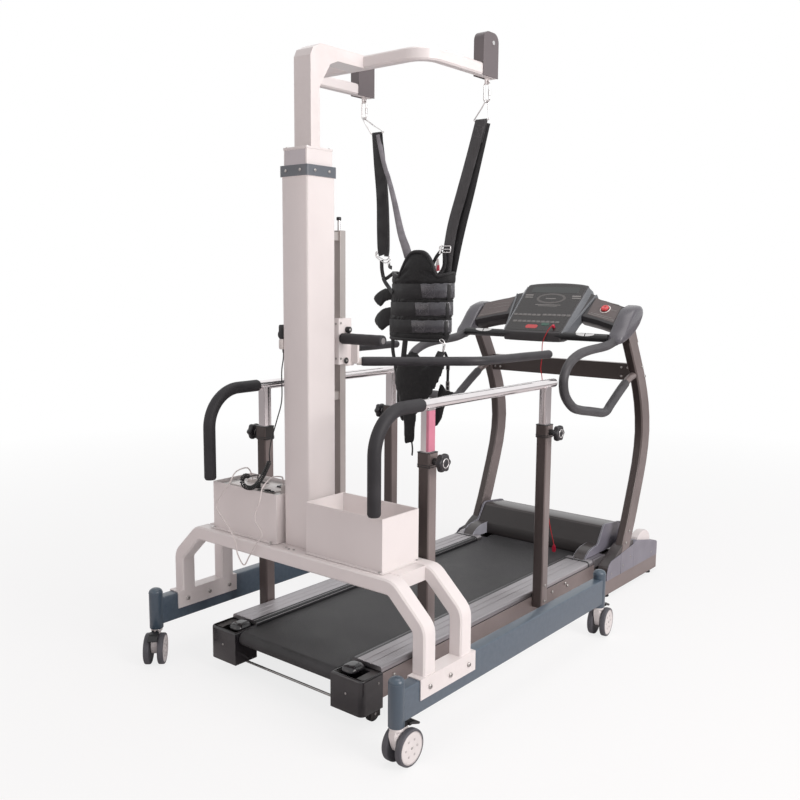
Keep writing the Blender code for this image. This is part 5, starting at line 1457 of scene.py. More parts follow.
# Suspension straps: polyester webbing over 50 mm wide, folded over the ring's flat side and sewn back
# on itself with a crossed box. A second, narrower strap runs behind each.
STRAP_ROUTES = {
    "right": (
        [
            (0.2960, 2.176), (0.2560, 2.045), (0.2100, 1.905), (0.1700, 1.785), (0.1500, 1.690),
            (0.1440, 1.640), (0.1400, 1.560),
        ],
        [0.052, 0.052, 0.052, 0.052, 0.052, 0.050, 0.040],
    ),
    "left": (
        [
            (-0.2430, 2.176), (-0.2290, 2.045), (-0.2130, 1.905), (-0.2100, 1.770), (-0.2080, 1.690),
            (-0.2020, 1.662),
        ],
        [0.052, 0.056, 0.058, 0.058, 0.054, 0.050],
    ),
}
all_stitches = []
for name, side in SIDES:
    x = side * ARM_X
    points, widths = STRAP_ROUTES[name]
    foot = points[0][0]
    reach = 0.0078
    ring = [
        (x - 0.0015, LUG_Y - reach, LINK_LOW),
        (x - 0.0010, LUG_Y - reach * 0.7, LINK_LOW + reach * 0.72),
        (x, LUG_Y, LINK_LOW + reach),
        (x + 0.0010, LUG_Y + reach * 0.7, LINK_LOW + reach * 0.72),
        (x + 0.0015, LUG_Y + reach, LINK_LOW),
        (x * 0.6 + (foot + 0.034) * 0.4, LUG_Y + 0.006, LINK_LOW * 0.6 + RING_LOW * 0.4),
        (foot + 0.034, LUG_Y + 0.002, RING_LOW + 0.004),
        (foot + 0.031, LUG_Y + 0.001, RING_LOW),
        (foot - 0.031, LUG_Y - 0.001, RING_LOW),
        (foot - 0.034, LUG_Y - 0.002, RING_LOW + 0.004),
        (x * 0.6 + (foot - 0.034) * 0.4, LUG_Y - 0.006, LINK_LOW * 0.6 + RING_LOW * 0.4),
    ]
    fitted(
        "triangle_ring_" + name, "harness", [(wire_form(ring, 0.0028), chrome)],
    )
    route, wide = eased([(a, LUG_Y - 0.0040, b) for a, b in points], widths)
    down = (route[3] - route[0]).normalized()
    look = grey_webbing if side > 0 else black_webbing
    forms = [(strap(route, wide, WEBBING, (0, -1, 0)), look)]
    turned_over = []
    for k in range(11):
        turn = math.pi * k / 10
        turned_over.append(Vector((
            foot, LUG_Y + 0.0002 - 0.0042 * math.cos(turn), RING_LOW + 0.0042 * math.sin(turn)
        )))
    front = [(route[0] + down * t) + Vector((0, 0.0088, 0)) for t in (0.012, 0.030, 0.055, 0.078)]
    loop_over = [
        route[0] + down * 0.012 + Vector((0, 0.0002, 0)), route[0] + down * 0.004, *turned_over[1:-1],
        *front,
    ]
    faces = []
    for i, point in enumerate(loop_over):
        before, after = loop_over[max(0, i - 1)], loop_over[min(len(loop_over) - 1, i + 1)]
        faces.append((after - before).cross(Vector((-1, 0, 0))).normalized())
    forms.append((strap(loop_over, 0.0510, WEBBING, faces), look))
    if side > 0:
        behind = [
            (0.3080, LUG_Y + 0.004, 2.170), (0.2740, LUG_Y + 0.006, 2.045), (0.2360, LUG_Y + 0.009, 1.905),
            (0.2000, LUG_Y + 0.012, 1.785), (0.1740, LUG_Y + 0.015, 1.690), (0.1520, LUG_Y + 0.017, 1.600),
            (0.1300, LUG_Y + 0.018, 1.510),
        ]
        second, wider = eased(behind, [0.050, 0.050, 0.048, 0.046, 0.044, 0.044, 0.044])
        forms.append((strap(second, wider, WEBBING, (0.25, -1, 0)), black_webbing))
    else:
        behind = [
            (-0.2290, LUG_Y + 0.004, 2.165), (-0.2100, LUG_Y + 0.005, 2.045),
            (-0.1960, LUG_Y + 0.006, 1.905), (-0.1900, LUG_Y + 0.006, 1.780),
            (-0.1880, LUG_Y + 0.005, 1.690), (-0.1900, LUG_Y + 0.003, 1.655),
        ]
        second, wider = eased(behind, [0.020, 0.020, 0.022, 0.024, 0.024, 0.022])
        forms.append((strap(second, wider, WEBBING, (0.35, -1, 0)), grey_webbing))
    fitted(
        "suspension_webbing_" + name, "harness", forms,
        replaces=["suspension_strap_" + name], angle=60,
    )
    middle = route[0] + down * 0.040 + Vector((0, -0.0013, 0))
    across = down.cross(Vector((0, 1, 0)))
    if across.x < 0:
        across = -across
    all_stitches += stitched_box(middle, across, -down, 0.040, 0.042)
repeated("strap_stitches", "harness", stitch_form(), all_stitches, white_thread)

# Back strap: a narrower pale strap from the left ring's side down to the vest's back lobe.
route, wide = eased(
    [
        (-0.1760, -0.2910, 2.010), (-0.1600, -0.2930, 1.976), (-0.1190, -0.3050, 1.880),
        (-0.0730, -0.3180, 1.755), (-0.0420, -0.3220, 1.690), (-0.0300, -0.3180, 1.650),
    ],
    [0.019, 0.019, 0.024, 0.031, 0.036, 0.036],
)
back_forms = [(strap(route, wide, 0.0020, (0.45, -1, 0.1)), pale_webbing)]
route, wide = eased([
    (-0.2310, -0.2810, 2.172), (-0.2180, -0.2830, 2.120), (-0.1980, -0.2870, 2.060),
    (-0.1760, -0.2912, 2.008),
], [0.022, 0.020, 0.019, 0.019])
back_forms.append((strap(route, wide, 0.0020, (0.45, -1, 0.1)), pale_webbing))
fitted("back_strap", "harness", back_forms, angle=60)

# Vest: black nylon fabric over foam, sewn as an open ring that rises to a lobe at the back. Three
# straps squeeze it, and the foam swells between them. Its hem and lobe are bound with tape.


def nylon(name, colour, second, rough=0.60, thread=0.0016):
    """Coated nylon fabric: a fine plain weave, with creases and rubbed places. The threads are drawn at
    1.6 mm, about three times the real ones, so that they show."""
    made = bpy.data.materials.new(name)
    tree = clear_tree(made)
    place = add_node(tree, "ShaderNodeTexCoord")
    waves = []
    for way in ("DIAGONAL", "Z"):
        waves.append(add_node(tree, "ShaderNodeTexWave", {
            "wave_type": "BANDS", "bands_direction": way, "Scale": 0.314 / thread, "Distortion": 0.4,
            "Detail": 1.0,
        }, Vector=place.outputs["Object"]))
    weave = add_node(
        tree, "ShaderNodeMath", {"operation": "MULTIPLY"}, _0=waves[0].outputs["Fac"],
        _1=waves[1].outputs["Fac"],
    )
    cloud = add_node(
        tree, "ShaderNodeTexNoise", {"Scale": 16.0, "Detail": 5.0, "Roughness": 0.6},
        Vector=place.outputs["Object"],
    )
    creases = add_node(
        tree, "ShaderNodeTexNoise", {"Scale": 34.0, "Detail": 2.0, "Distortion": 1.2},
        Vector=place.outputs["Object"],
    )
    shades = two_tone(tree, cloud.outputs["Fac"], 0.34, linear(second), 0.72, linear(colour))
    thin = add_node(tree, "ShaderNodeMapRange", {"To Min": 0.82, "To Max": 1.0}, Value=weave.outputs[0])
    tone = add_node(
        tree, "ShaderNodeMixRGB", {"blend_type": "MULTIPLY", "Fac": 1.0}, Color1=shades.outputs["Color"],
        Color2=thin.outputs["Result"],
    )
    big = add_node(
        tree, "ShaderNodeBump", {"Strength": 0.35, "Distance": 0.004}, Height=creases.outputs["Fac"]
    )
    fine = add_node(
        tree, "ShaderNodeBump", {"Strength": 0.35, "Distance": 0.0004}, Height=weave.outputs[0],
        Normal=big.outputs["Normal"],
    )
    worn = add_node(
        tree,
        "ShaderNodeMapRange",
        {"From Min": 0.3, "From Max": 0.7, "To Min": rough - 0.10, "To Max": rough + 0.12},
        Value=cloud.outputs["Fac"],
    )
    settings = {"Sheen Weight": 0.10, "Sheen Roughness": 0.45, "Specular IOR Level": 0.35}
    surfaced(tree, settings, tone.outputs["Color"], worn.outputs["Result"], fine.outputs["Normal"])
    return made


black_nylon = nylon("black_padded_nylon", "171619", "0d0c0e")


def swollen(name, body, form, look, voxel, pressure, cap, replaces=(), frames=20, pinned=None):
    """A padded piece: the form is remeshed, blown up a little as cloth, held within a cap, and smoothed.
    pinned says which points (in drawing coordinates) a strap or seam holds still."""
    form.name = name
    form.transform(Matrix.Translation(DRAWN_AT))
    made = put(name, form)
    remesh = made.modifiers.new("even_faces", "REMESH")
    remesh.mode = "VOXEL"
    remesh.voxel_size = voxel
    bpy.context.view_layer.update()
    even = bpy.data.meshes.new_from_object(made.evaluated_get(bpy.context.evaluated_depsgraph_get()))
    made.modifiers.remove(remesh)
    made.data = even
    even.name = name
    start = [v.co.copy() for v in even.vertices]
    if pinned:
        held = made.vertex_groups.new(name="held")
        held.add([v.index for v in even.vertices if pinned(v.co - DRAWN_AT)], 1.0, "REPLACE")
    cloth = made.modifiers.new("swell", "CLOTH")
    cloth.settings.effector_weights.gravity = 0
    cloth.settings.use_pressure = True
    cloth.settings.uniform_pressure_force = pressure
    cloth.settings.quality = 4
    if pinned:
        cloth.settings.vertex_group_mass = "held"
    for i in range(1, frames + 1):
        bpy.context.scene.frame_set(i)
    blown = made.evaluated_get(bpy.context.evaluated_depsgraph_get()).data
    moved = [v.co.copy() for v in blown.vertices]
    made.modifiers.remove(cloth)
    bpy.context.scene.frame_set(1)
    for vertex, a, b in zip(even.vertices, start, moved):
        step = b - a
        if step.length > cap:
            step *= cap / step.length
        vertex.co = a + step
    made.vertex_groups.clear()
    even.materials.clear()
    even.materials.append(look)
    even.polygons.foreach_set("use_smooth", [True] * len(even.polygons))
    smoother = made.modifiers.new("smooth", "SUBSURF")
    smoother.levels = 1
    smoother.render_levels = 1
    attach(made, body)
    if replaces:
        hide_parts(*replaces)
    return made


BANDS = ((1.334, 1.390), (1.404, 1.464), (1.477, 1.541))
VEST_LOW = 1.303


def vest_point(turn, z, inset):
    """A point of the vest's wall at an angle round it and a height, a distance inside its outer face."""
    swell = 0.0055
    for low, high in BANDS:
        if low - 0.004 < z < high + 0.004:
            swell = -0.0010
    narrow = 1 - 0.10 * max(0, (z - 1.56) / 0.12) - 0.10 * max(0, (1.345 - z) / 0.05)
    a = (0.156 + swell - inset) * narrow
    b = (0.063 + swell - inset) * narrow
    lean = 0.010 * (z - 1.42) / 0.12
    return Vector((a * math.cos(turn) + 0.004 + lean, LUG_Y + b * math.sin(turn), z))


def vest_top(turn):
    """The vest's top edge: level at the front, a shoulder at each side and the lobe at the back."""
    shoulder = 1.568 + 0.022 * abs(math.cos(turn)) ** 3
    if math.sin(turn) > 0:
        return shoulder
    lobe = 1.677 - 115 * abs(0.156 * math.cos(turn) - 0.008) ** 3
    return max(shoulder, lobe) + 0.006 * math.exp(-(((lobe - shoulder) / 0.012) ** 2))


rings = []
heights = 34
for inset, order in ((0.0, range(heights + 1)), (0.013, range(heights, -1, -1))):
    for k in order:
        ring = []
        for i in range(96):
            turn = math.tau * i / 96
            z = VEST_LOW + (vest_top(turn) - VEST_LOW) * k / heights
            edge = 0.0035 if k in (0, heights) else 0.0
            ring.append(vest_point(turn, z, inset + (edge if inset == 0 else -edge)))
        rings.append(ring)


def under_a_band(point):
    """Whether a strap holds this point of the vest."""
    return any(low < point.z < high for low, high in BANDS) or point.z < VEST_LOW + 0.008


swollen(
    "vest_pad", "harness", lofted(rings, loop=True), black_nylon, 0.0055, 3.0, 0.006,
    ["vest"], pinned=under_a_band,
)


def pillow(outline, y, thickness, middle=None, lean=(0.0, 0.0), steps=3, crown=(0.0, 0.0)):
    """A crowned closed pad from an outline in x and z: thick in the middle and thin at its sewn edge."""
    corners = [Vector((a, 0, b)) for a, b in outline]
    count = len(corners)
    edge = []
    for i in range(count):
        a, b, c, d = corners[i - 1], corners[i], corners[(i + 1) % count], corners[(i + 2) % count]
        for k in range(steps):
            t = k / steps
            bend = (2 * a - 5 * b + 4 * c - d) * t * t + (3 * b - a - 3 * c + d) * t * t * t
            edge.append(0.5 * (2 * b + (c - a) * t + bend))
    centre = Vector((middle[0], 0, middle[1])) if middle else sum(edge, Vector()) / len(edge)
    rings = []
    for face in (1, -1):
        shares = (0.04, 0.30, 0.55, 0.74, 0.87, 0.95, 0.99, 1.0)
        for share in shares if face > 0 else shares[::-1][1:]:
            deep = thickness / 2 * (1 - share**3) + 0.0014
            ring = []
            for point in edge:
                spot = centre + (point - centre) * share
                right_by, up_by = spot.x - centre.x, spot.z - centre.z
                back = lean[0] * right_by + lean[1] * up_by + crown[0] * right_by**2 + crown[1] * up_by**2
                ring.append(Vector((spot.x, y + back + face * deep, spot.z)))
            rings.append(ring)
    return lofted(rings)


# Flaps: the loose padded ends of the two upper body straps, in the vest's nylon over thin foam. They
# stand out on the left, a little curved.
upper_flap = [
    (-0.270, 1.471), (-0.221, 1.437), (-0.186, 1.456), (-0.152, 1.466), (-0.118, 1.468), (-0.118, 1.519),
    (-0.158, 1.520), (-0.193, 1.519), (-0.238, 1.500),
]
lower_flap = [
    (-0.264, 1.371), (-0.216, 1.334), (-0.192, 1.338), (-0.156, 1.356), (-0.118, 1.366), (-0.118, 1.436),
    (-0.157, 1.440), (-0.204, 1.430), (-0.245, 1.404),
]
for name, outline, middle in (
    ("upper", upper_flap, (-0.190, 1.487)), ("lower", lower_flap, (-0.185, 1.388))
):
    form = pillow(outline, -0.284, 0.011, middle, lean=(-0.12, 0.0), crown=(2.4, 0.0))
    swollen(name + "_flap", "harness", form, black_nylon, 0.0035, 2.0, 0.003)

# Seat pads: the padded seat that hangs below the vest, its two thigh pieces and the long tail, all
# in the same black nylon over thin foam, sewn to short straps.
seat_main = [
    (-0.060, 1.235), (-0.093, 1.192), (-0.106, 1.138), (-0.098, 1.086), (-0.074, 1.035), (-0.046, 0.985),
    (0.030, 0.985), (0.060, 1.020), (0.098, 1.068), (0.127, 1.118), (0.160, 1.205), (0.150, 1.248),
    (0.118, 1.240), (0.088, 1.205), (0.050, 1.245), (0.000, 1.262),
]
swollen(
    "seat_pad",
    "harness",
    pillow(seat_main, -0.3320, 0.016, (0.010, 1.120), crown=(1.6, 0.0), steps=2),
    black_nylon,
    0.0050,
    3.0,
    0.005,
)
tail = [
    (-0.040, 0.995), (-0.037, 0.930), (-0.030, 0.862), (-0.004, 0.864), (0.021, 0.873), (0.026, 0.930),
    (0.031, 0.995), (0.000, 1.005),
]
swollen(
    "seat_tail",
    "harness",
    pillow(tail, -0.3335, 0.006, (-0.004, 0.932), crown=(0.8, 0.0)),
    black_nylon,
    0.0035,
    1.5,
    0.002,
)
thigh_right = [
    (0.098, 1.068), (0.112, 1.126), (0.128, 1.118), (0.149, 1.101), (0.174, 1.096), (0.168, 1.072),
    (0.145, 1.041), (0.122, 0.972), (0.102, 0.945), (0.089, 0.938), (0.090, 1.009),
]
swollen(
    "thigh_pad_right",
    "harness",
    pillow(thigh_right, -0.2760, 0.014, (0.118, 1.040), lean=(0.20, 0.0), steps=2),
    black_nylon,
    0.0045,
    2.5,
    0.004,
)
thigh_left = [
    (-0.088, 1.060), (-0.100, 1.115), (-0.112, 1.120), (-0.124, 1.090), (-0.128, 1.030), (-0.112, 0.970),
    (-0.094, 0.945), (-0.078, 0.950), (-0.076, 1.000),
]
swollen(
    "thigh_pad_left",
    "harness",
    pillow(thigh_left, -0.2760, 0.014, (-0.100, 1.035), lean=(-0.20, 0.0), steps=2),
    black_nylon,
    0.0045,
    2.5,
    0.004,
)

# Vest's straps: three coated webbing straps round the vest. On the right half each one's end laps over
# it, sewn with a crossed box, and passes a dark loop at the side.


def ring_of_strap(low, high, inset, start, end, count, tilt=0.0):
    """Points and outward directions along the vest's outline between two angles."""
    points, faces = [], []
    for i in range(count):
        turn = start + (end - start) * i / (count if end - start > 6.2 else count - 1)
        z = (low + high) / 2 + tilt * math.cos(turn)
        p = vest_point(turn, (low + high) / 2, inset)
        q = vest_point(turn + 0.02, (low + high) / 2, inset)
        points.append(Vector((p.x, p.y, z)))
        faces.append((q - p).cross(Vector((0, 0, 1))).normalized())
    return points, faces


band_forms = []
lap_forms = []
loop_forms = []
box_places = []
for (low, high), lap_start in zip(BANDS, (-1.50, -1.42, -1.28)):
    points, faces = ring_of_strap(low, high, -0.0016, 0.0, math.tau, 72, 0.002)
    band_forms.append((strap(points, high - low, 0.0026, faces, loop=True), black_webbing))
    points, faces = ring_of_strap(low, high, -0.0052, lap_start, 0.62, 30, 0.006)
    points = [p + Vector((0, 0, 0.0015 * math.sin(i * 1.1))) for i, p in enumerate(points)]
    lap_forms.append((strap(points, high - low - 0.006, 0.0024, faces), coated_webbing))
    turn = lap_start + 0.26
    p = vest_point(turn, (low + high) / 2, -0.0064)
    q = vest_point(turn + 0.02, (low + high) / 2, -0.0064)
    along = (q - p).normalized()
    box_places += stitched_box(
        p + Vector((0, 0, 0.001)), along, (0, 0, 1), 0.040, (high - low) * 0.62, 0.0030
    )
    p = vest_point(-0.30, (low + high) / 2, -0.0070)
    q = vest_point(-0.28, (low + high) / 2, -0.0070)
    along = (q - p).normalized()
    outward = along.cross(Vector((0, 0, 1)))
    loop_points = []
    half = (high - low) / 2
    for t, out in (
        (-half - 0.004, -0.006), (-half + 0.004, 0.0004), (0.0, 0.0012), (half - 0.004, 0.0004),
        (half + 0.004, -0.006),
    ):
        loop_points.append(p + Vector((0, 0, t)) + outward * out)
    loop_forms.append((strap(loop_points, 0.014, WEBBING, outward), black_webbing))
fitted("vest_straps", "harness", band_forms + loop_forms, angle=60)
fitted("vest_strap_ends", "harness", lap_forms, angle=60)
repeated("vest_stitches", "harness", stitch_form(0.0024, 0.00050), box_places, white_thread)

# Binding tape: a folded nylon tape sewn over the vest's hem and top edge.
bind_forms = []
for edge_of in ("hem", "top"):
    points, faces = [], []
    for i in range(120):
        turn = math.tau * i / 120
        z = VEST_LOW + 0.004 if edge_of == "hem" else vest_top(turn) - 0.005
        p = vest_point(turn, z, 0.0065)
        q = vest_point(turn + 0.02, z, 0.0065)
        points.append(Vector((p.x, p.y, z)))
        faces.append(((q - p).cross(Vector((0, 0, 1)))).normalized())
    bind_forms.append((strap(points, 0.014, 0.0172, faces, loop=True, edge=0.004), black_webbing))
fitted("vest_binding", "harness", bind_forms, angle=70)

# Fittings: a chromed hook on the left strap, a three-bar slide and its red and white pull on the right,
# short straps from them to the vest, and the straps that carry the seat.
hook_forms = []
hook = [
    (-0.232, 1.672), (-0.240, 1.668), (-0.240, 1.658), (-0.226, 1.652), (-0.208, 1.645), (-0.193, 1.640),
    (-0.178, 1.644), (-0.170, 1.654), (-0.166, 1.652), (-0.166, 1.640), (-0.172, 1.634), (-0.193, 1.628),
    (-0.214, 1.636), (-0.232, 1.646), (-0.246, 1.656), (-0.246, 1.672), (-0.238, 1.678),
]
hook_forms.append((wire_form(smooth_route([(a, LUG_Y - 0.002, b) for a, b in hook], 4), 0.0024), chrome))
eye = [
    (
        -0.170 + 0.006 * math.cos(math.tau * k / 20), LUG_Y - 0.004,
        1.626 + 0.012 * math.sin(math.tau * k / 20),
    )
    for k in range(20)
]
hook_forms.append((wire_form(eye, 0.0018), chrome))
slide_middle = Vector((0.138, LUG_Y - 0.014, 1.681))
frame_points = [slide_middle + Vector((a, 0.0, b)) for a, b in rounded_rectangle(0.056, 0.026, 0.005)]
hook_forms.append((wire_form(frame_points, 0.0024), chrome))
bar = [slide_middle + Vector((-0.028, 0.001, 0)), slide_middle + Vector((0.028, 0.001, 0))]
hook_forms.append((wire_form(bar, 0.0022, cyclic=False), chrome))
tongue = [(0.112, 1.664), (0.124, 1.700), (0.130, 1.698), (0.120, 1.662)]
hook_forms.append((extruded("xz", tongue, LUG_Y - 0.022, LUG_Y - 0.019), chrome))
seat_hook = [
    (0.128, 1.312), (0.142, 1.314), (0.152, 1.306), (0.156, 1.290), (0.152, 1.270), (0.150, 1.252),
    (0.156, 1.240), (0.150, 1.236), (0.143, 1.246), (0.146, 1.268), (0.148, 1.288), (0.144, 1.300),
    (0.132, 1.302),
]
hook_forms.append((wire_form(smooth_route([
    (a, LUG_Y - 0.030, b)
    for a, b in seat_hook
], 4), 0.0022), chrome))
for z, high in ((1.203, 0.016), (1.118, 0.018)):
    for x in (0.1465, 0.1625):
        hook_forms.append((wire_form([
            (x, LUG_Y - 0.0045, z - high), (x, LUG_Y - 0.0045, z + high)
        ], 0.0019, cyclic=False), chrome))
    for at in (z - high, z, z + high):
        hook_forms.append((wire_form([
            (0.1455, LUG_Y - 0.0045, at), (0.1635, LUG_Y - 0.0045, at)
        ], 0.0019, cyclic=False), chrome))
fitted("harness_fittings", "harness", hook_forms)
short_forms = []
for route, width, facing in (
    ([
        (-0.214, LUG_Y - 0.001, 1.640), (-0.211, LUG_Y - 0.002, 1.600), (-0.203, LUG_Y - 0.002, 1.566)
    ], 0.018, (0.2, -1, 0)),
    ([
        (-0.206, LUG_Y - 0.002, 1.574), (-0.190, LUG_Y - 0.003, 1.560), (-0.160, LUG_Y - 0.004, 1.574),
        (-0.140, LUG_Y - 0.006, 1.586),
    ], 0.016, (0.0, -1, 0)),
    ([
        (-0.206, LUG_Y - 0.002, 1.566), (-0.188, LUG_Y - 0.008, 1.546), (-0.150, LUG_Y - 0.024, 1.520),
        (-0.118, LUG_Y - 0.042, 1.500),
    ], 0.022, (-0.3, -1, 0)),
    ([
        (-0.171, LUG_Y - 0.004, 1.620), (-0.155, LUG_Y - 0.020, 1.612), (-0.120, LUG_Y - 0.044, 1.606)
    ], 0.016, (-0.3, -1, 0)),
    ([
        (0.120, LUG_Y - 0.016, 1.676), (0.100, LUG_Y - 0.022, 1.650), (0.084, LUG_Y - 0.030, 1.615),
        (0.076, LUG_Y - 0.052, 1.585),
    ], 0.016, (0.1, -1, 0)),
    ([
        (0.136, LUG_Y - 0.016, 1.668), (0.142, LUG_Y - 0.022, 1.620), (0.132, LUG_Y - 0.034, 1.585),
        (0.110, LUG_Y - 0.052, 1.562),
    ], 0.018, (0.1, -1, 0)),
    ([
        (-0.030, LUG_Y - 0.055, 1.330), (-0.036, LUG_Y - 0.056, 1.280), (-0.042, LUG_Y - 0.057, 1.225)
    ], 0.028, (0, -1, 0)),
    ([
        (0.142, LUG_Y - 0.034, 1.262), (0.140, LUG_Y - 0.050, 1.240), (0.136, LUG_Y - 0.056, 1.212)
    ], 0.036, (0.1, -1, 0)),
    ([
        (0.152, LUG_Y - 0.026, 1.262), (0.155, LUG_Y - 0.012, 1.235), (0.1545, LUG_Y - 0.0045, 1.205),
        (0.1545, LUG_Y - 0.0045, 1.120), (0.156, LUG_Y - 0.003, 1.100),
    ], 0.013, (0.1, -1, 0)),
    ([
        (-0.110, LUG_Y - 0.044, 1.325), (-0.120, LUG_Y - 0.034, 1.260), (-0.122, LUG_Y - 0.014, 1.190),
        (-0.116, LUG_Y - 0.003, 1.110),
    ], 0.024, (-0.2, -1, 0)),
    ([
        (0.006, LUG_Y - 0.056, 0.878), (0.012, LUG_Y - 0.057, 0.840), (0.010, LUG_Y - 0.057, 0.812)
    ], 0.008, (0, -1, 0)),
):
    short_forms.append((strap(smooth_route(route, 5), width, WEBBING, facing), black_webbing))
fitted("short_straps", "harness", short_forms, angle=60)
pull = moulded("red_pull_tab", "c8344c", 0.42, 0.002, 0.08)
pale_tab = moulded("white_pull_tab", "ded8d8", 0.42, 0.002, 0.08)
pull_forms = []
for outline, look in (
    ([(0.118, 1.592), (0.134, 1.594), (0.132, 1.618), (0.122, 1.616)], pull),
    ([
        (0.107, 1.592), (0.118, 1.592), (0.122, 1.616), (0.132, 1.618), (0.129, 1.642), (0.122, 1.645)
    ], pale_tab),
):
    pull_forms.append((extruded("xz", outline, LUG_Y - 0.046, LUG_Y - 0.042), look))
fitted("pull_tab", "harness", pull_forms, bevel=0.0008)

# Base frame: two steel floor tubes with rubber feet, cross tubes and the pads that the deck rests on,
# in a metallic brown-grey coat. The outer faces show below the front covers.


def metallic_coat(name, colour, second, rough=0.34, painted_rear_shade=None):
    """Metallic stove enamel: fine flakes, their glints painted into the colour. Where a third colour is
    given, faces that look to the front or the rear are painted in it, darker, as shade."""
    made = bpy.data.materials.new(name)
    tree = clear_tree(made)
    place = add_node(tree, "ShaderNodeTexCoord")
    drift = add_node(
        tree, "ShaderNodeTexNoise", {"Scale": 4.0, "Detail": 4.0}, Vector=place.outputs["Object"]
    )
    flakes = add_node(tree, "ShaderNodeTexVoronoi", {"Scale": 1400.0}, Vector=place.outputs["Object"])
    shades = two_tone(tree, drift.outputs["Fac"], 0.30, linear(second), 0.70, linear(colour))
    # Painted shade: faces that look to the front or rear take the darker colour.
    if painted_rear_shade:
        shape = add_node(tree, "ShaderNodeNewGeometry")
        facing = add_node(tree, "ShaderNodeSeparateXYZ", None, Vector=shape.outputs["Normal"])
        toward = add_node(tree, "ShaderNodeMath", {"operation": "ABSOLUTE"}, _0=facing.outputs["Y"])
        fork_web_and_rear_shade = add_node(
            tree, "ShaderNodeMapRange", {"From Min": 0.45, "From Max": 0.75}, Value=toward.outputs[0]
        )
        shades = add_node(
            tree, "ShaderNodeMixRGB", None, Fac=fork_web_and_rear_shade.outputs["Result"], Color1=shades.outputs["Color"]
        )
        shades.inputs["Color2"].default_value = linear(painted_rear_shade)
    # Painted glints: the flakes' centres lighten the colour and the rest darkens it a little.
    glint = add_node(
        tree, "ShaderNodeMapRange", {"From Max": 0.5, "To Min": 1.12, "To Max": 0.92},
        Value=flakes.outputs["Distance"],
    )
    tone = add_node(
        tree, "ShaderNodeMixRGB", {"blend_type": "MULTIPLY", "Fac": 1.0}, Color1=shades.outputs["Color"],
        Color2=glint.outputs["Result"],
    )
    skin = add_node(
        tree, "ShaderNodeTexNoise", {"Scale": 160.0, "Detail": 2.0}, Vector=place.outputs["Object"]
    )
    relief = add_node(
        tree, "ShaderNodeBump", {"Strength": 0.05, "Distance": 0.0008}, Height=skin.outputs["Fac"]
    )
    worn = add_node(
        tree, "ShaderNodeMapRange", {"To Min": rough - 0.06, "To Max": rough + 0.10},
        Value=drift.outputs["Fac"],
    )
    settings = {"Metallic": 0.35, "Coat Weight": 0.20, "Coat Roughness": 0.22}
    surfaced(tree, settings, tone.outputs["Color"], worn.outputs["Result"], relief.outputs["Normal"])
    return made


# The last colour is painted shade on faces that look to the front or rear.
brown_steel = metallic_coat("brown_grey_enamel_painted_rear_shade", "968a88", "837775", 0.36, "504745")
dark_steel = metallic_coat("dark_grey_stove_enamel", "3e3a39", "302d2c", 0.38)
black_rubber = moulded("black_rubber", "202022", 0.62, 0.003, 0.12)
base_x = 0.4275


def on_outer_tube(c):
    """Whether a face of the base frame belongs to the floor tubes' visible outer part."""
    return abs(c.x) > 0.404 and c.z > 0.0181 and c.z < 0.0955


base_forms = [(copied("base_frame", on_outer_tube), brown_steel)]
base_forms.append((copied("base_frame", lambda c: not on_outer_tube(c)), dark_steel))
fitted("base_tubes", "treadmill", base_forms, replaces=["base_frame"], bevel=0.0018)
foot_forms = []
for side in (1, -1):
    for y in (0.700, 1.190):
        foot_forms.append((lathed("z", (side * base_x, y, 0), [
            (0.0, 0.0165), (0.0012, 0.0185), (0.0065, 0.0185), (0.0082, 0.0160), (0.0084, 0.0105),
            (0.0160, 0.0105),
        ], 36), black_rubber))
        foot_forms.append((lathed("z", (side * base_x, y, 0), [
            (0.0090, 0.0125), (0.0092, 0.0135), (0.0118, 0.0135), (0.0120, 0.0125)
        ], 6), zinc_screw))
    for low, high in ((0.6524, 0.6554), (1.2556, 1.2586)):
        plug = [(side * base_x + a, 0.0535 + b) for a, b in rounded_rectangle(0.041, 0.079, 0.005)]
        foot_forms.append((extruded("xz", plug, low, high), black_abs))
fitted("base_feet", "treadmill", foot_forms, bevel=0.0008)

# Deck: steel side channels with a walking board between them, and four square posts bolted outside
# that take the handrails. Two button-head bolts hold each post; its top has a folded collar.
walking_board = moulded("phenolic_faced_board", "2a2a2c", 0.35, 0.004, 0.05)
deck_forms = [
    (copied("deck_frame", lambda c: 0.4025 < abs(c.x) <= 0.4580), brown_steel),
    (copied("deck_frame", lambda c: abs(c.x) > 0.4580), black_abs),
    (copied("deck_frame", lambda c: 0.3582 < abs(c.x) <= 0.4025), dark_steel),
    (copied("deck_frame", lambda c: abs(c.x) <= 0.3582), walking_board),
]
fitted("deck_and_posts", "treadmill", deck_forms, replaces=["deck_frame"], bevel=0.0015)
POST_X = 0.42915
POST_ROWS = (-0.770, 0.053)
bolt_places = []
for side in (1, -1):
    for y in POST_ROWS:
        for z in (0.161, 0.233):
            bolt_places.append(((side * (POST_X + 0.0252), y, z), (side, 0, 0), (0, 1, 0)))
repeated(
    "post_bolts", "treadmill", cap_screw(0.0062, 0.0042, 18), bolt_places, zinc_screw
)
side_bolts = []
for y, z in ((0.210, 0.150), (0.330, 0.158), (0.352, 0.142), (-0.500, 0.150), (-0.920, 0.150)):
    for side in (1, -1):
        side_bolts.append(((side * 0.4040, y, z), (side, 0, 0), (0, 1, 0)))
repeated(
    "channel_bolts", "treadmill", cap_screw(0.0070, 0.0045, 18), side_bolts, zinc_screw
)
trim_forms = []
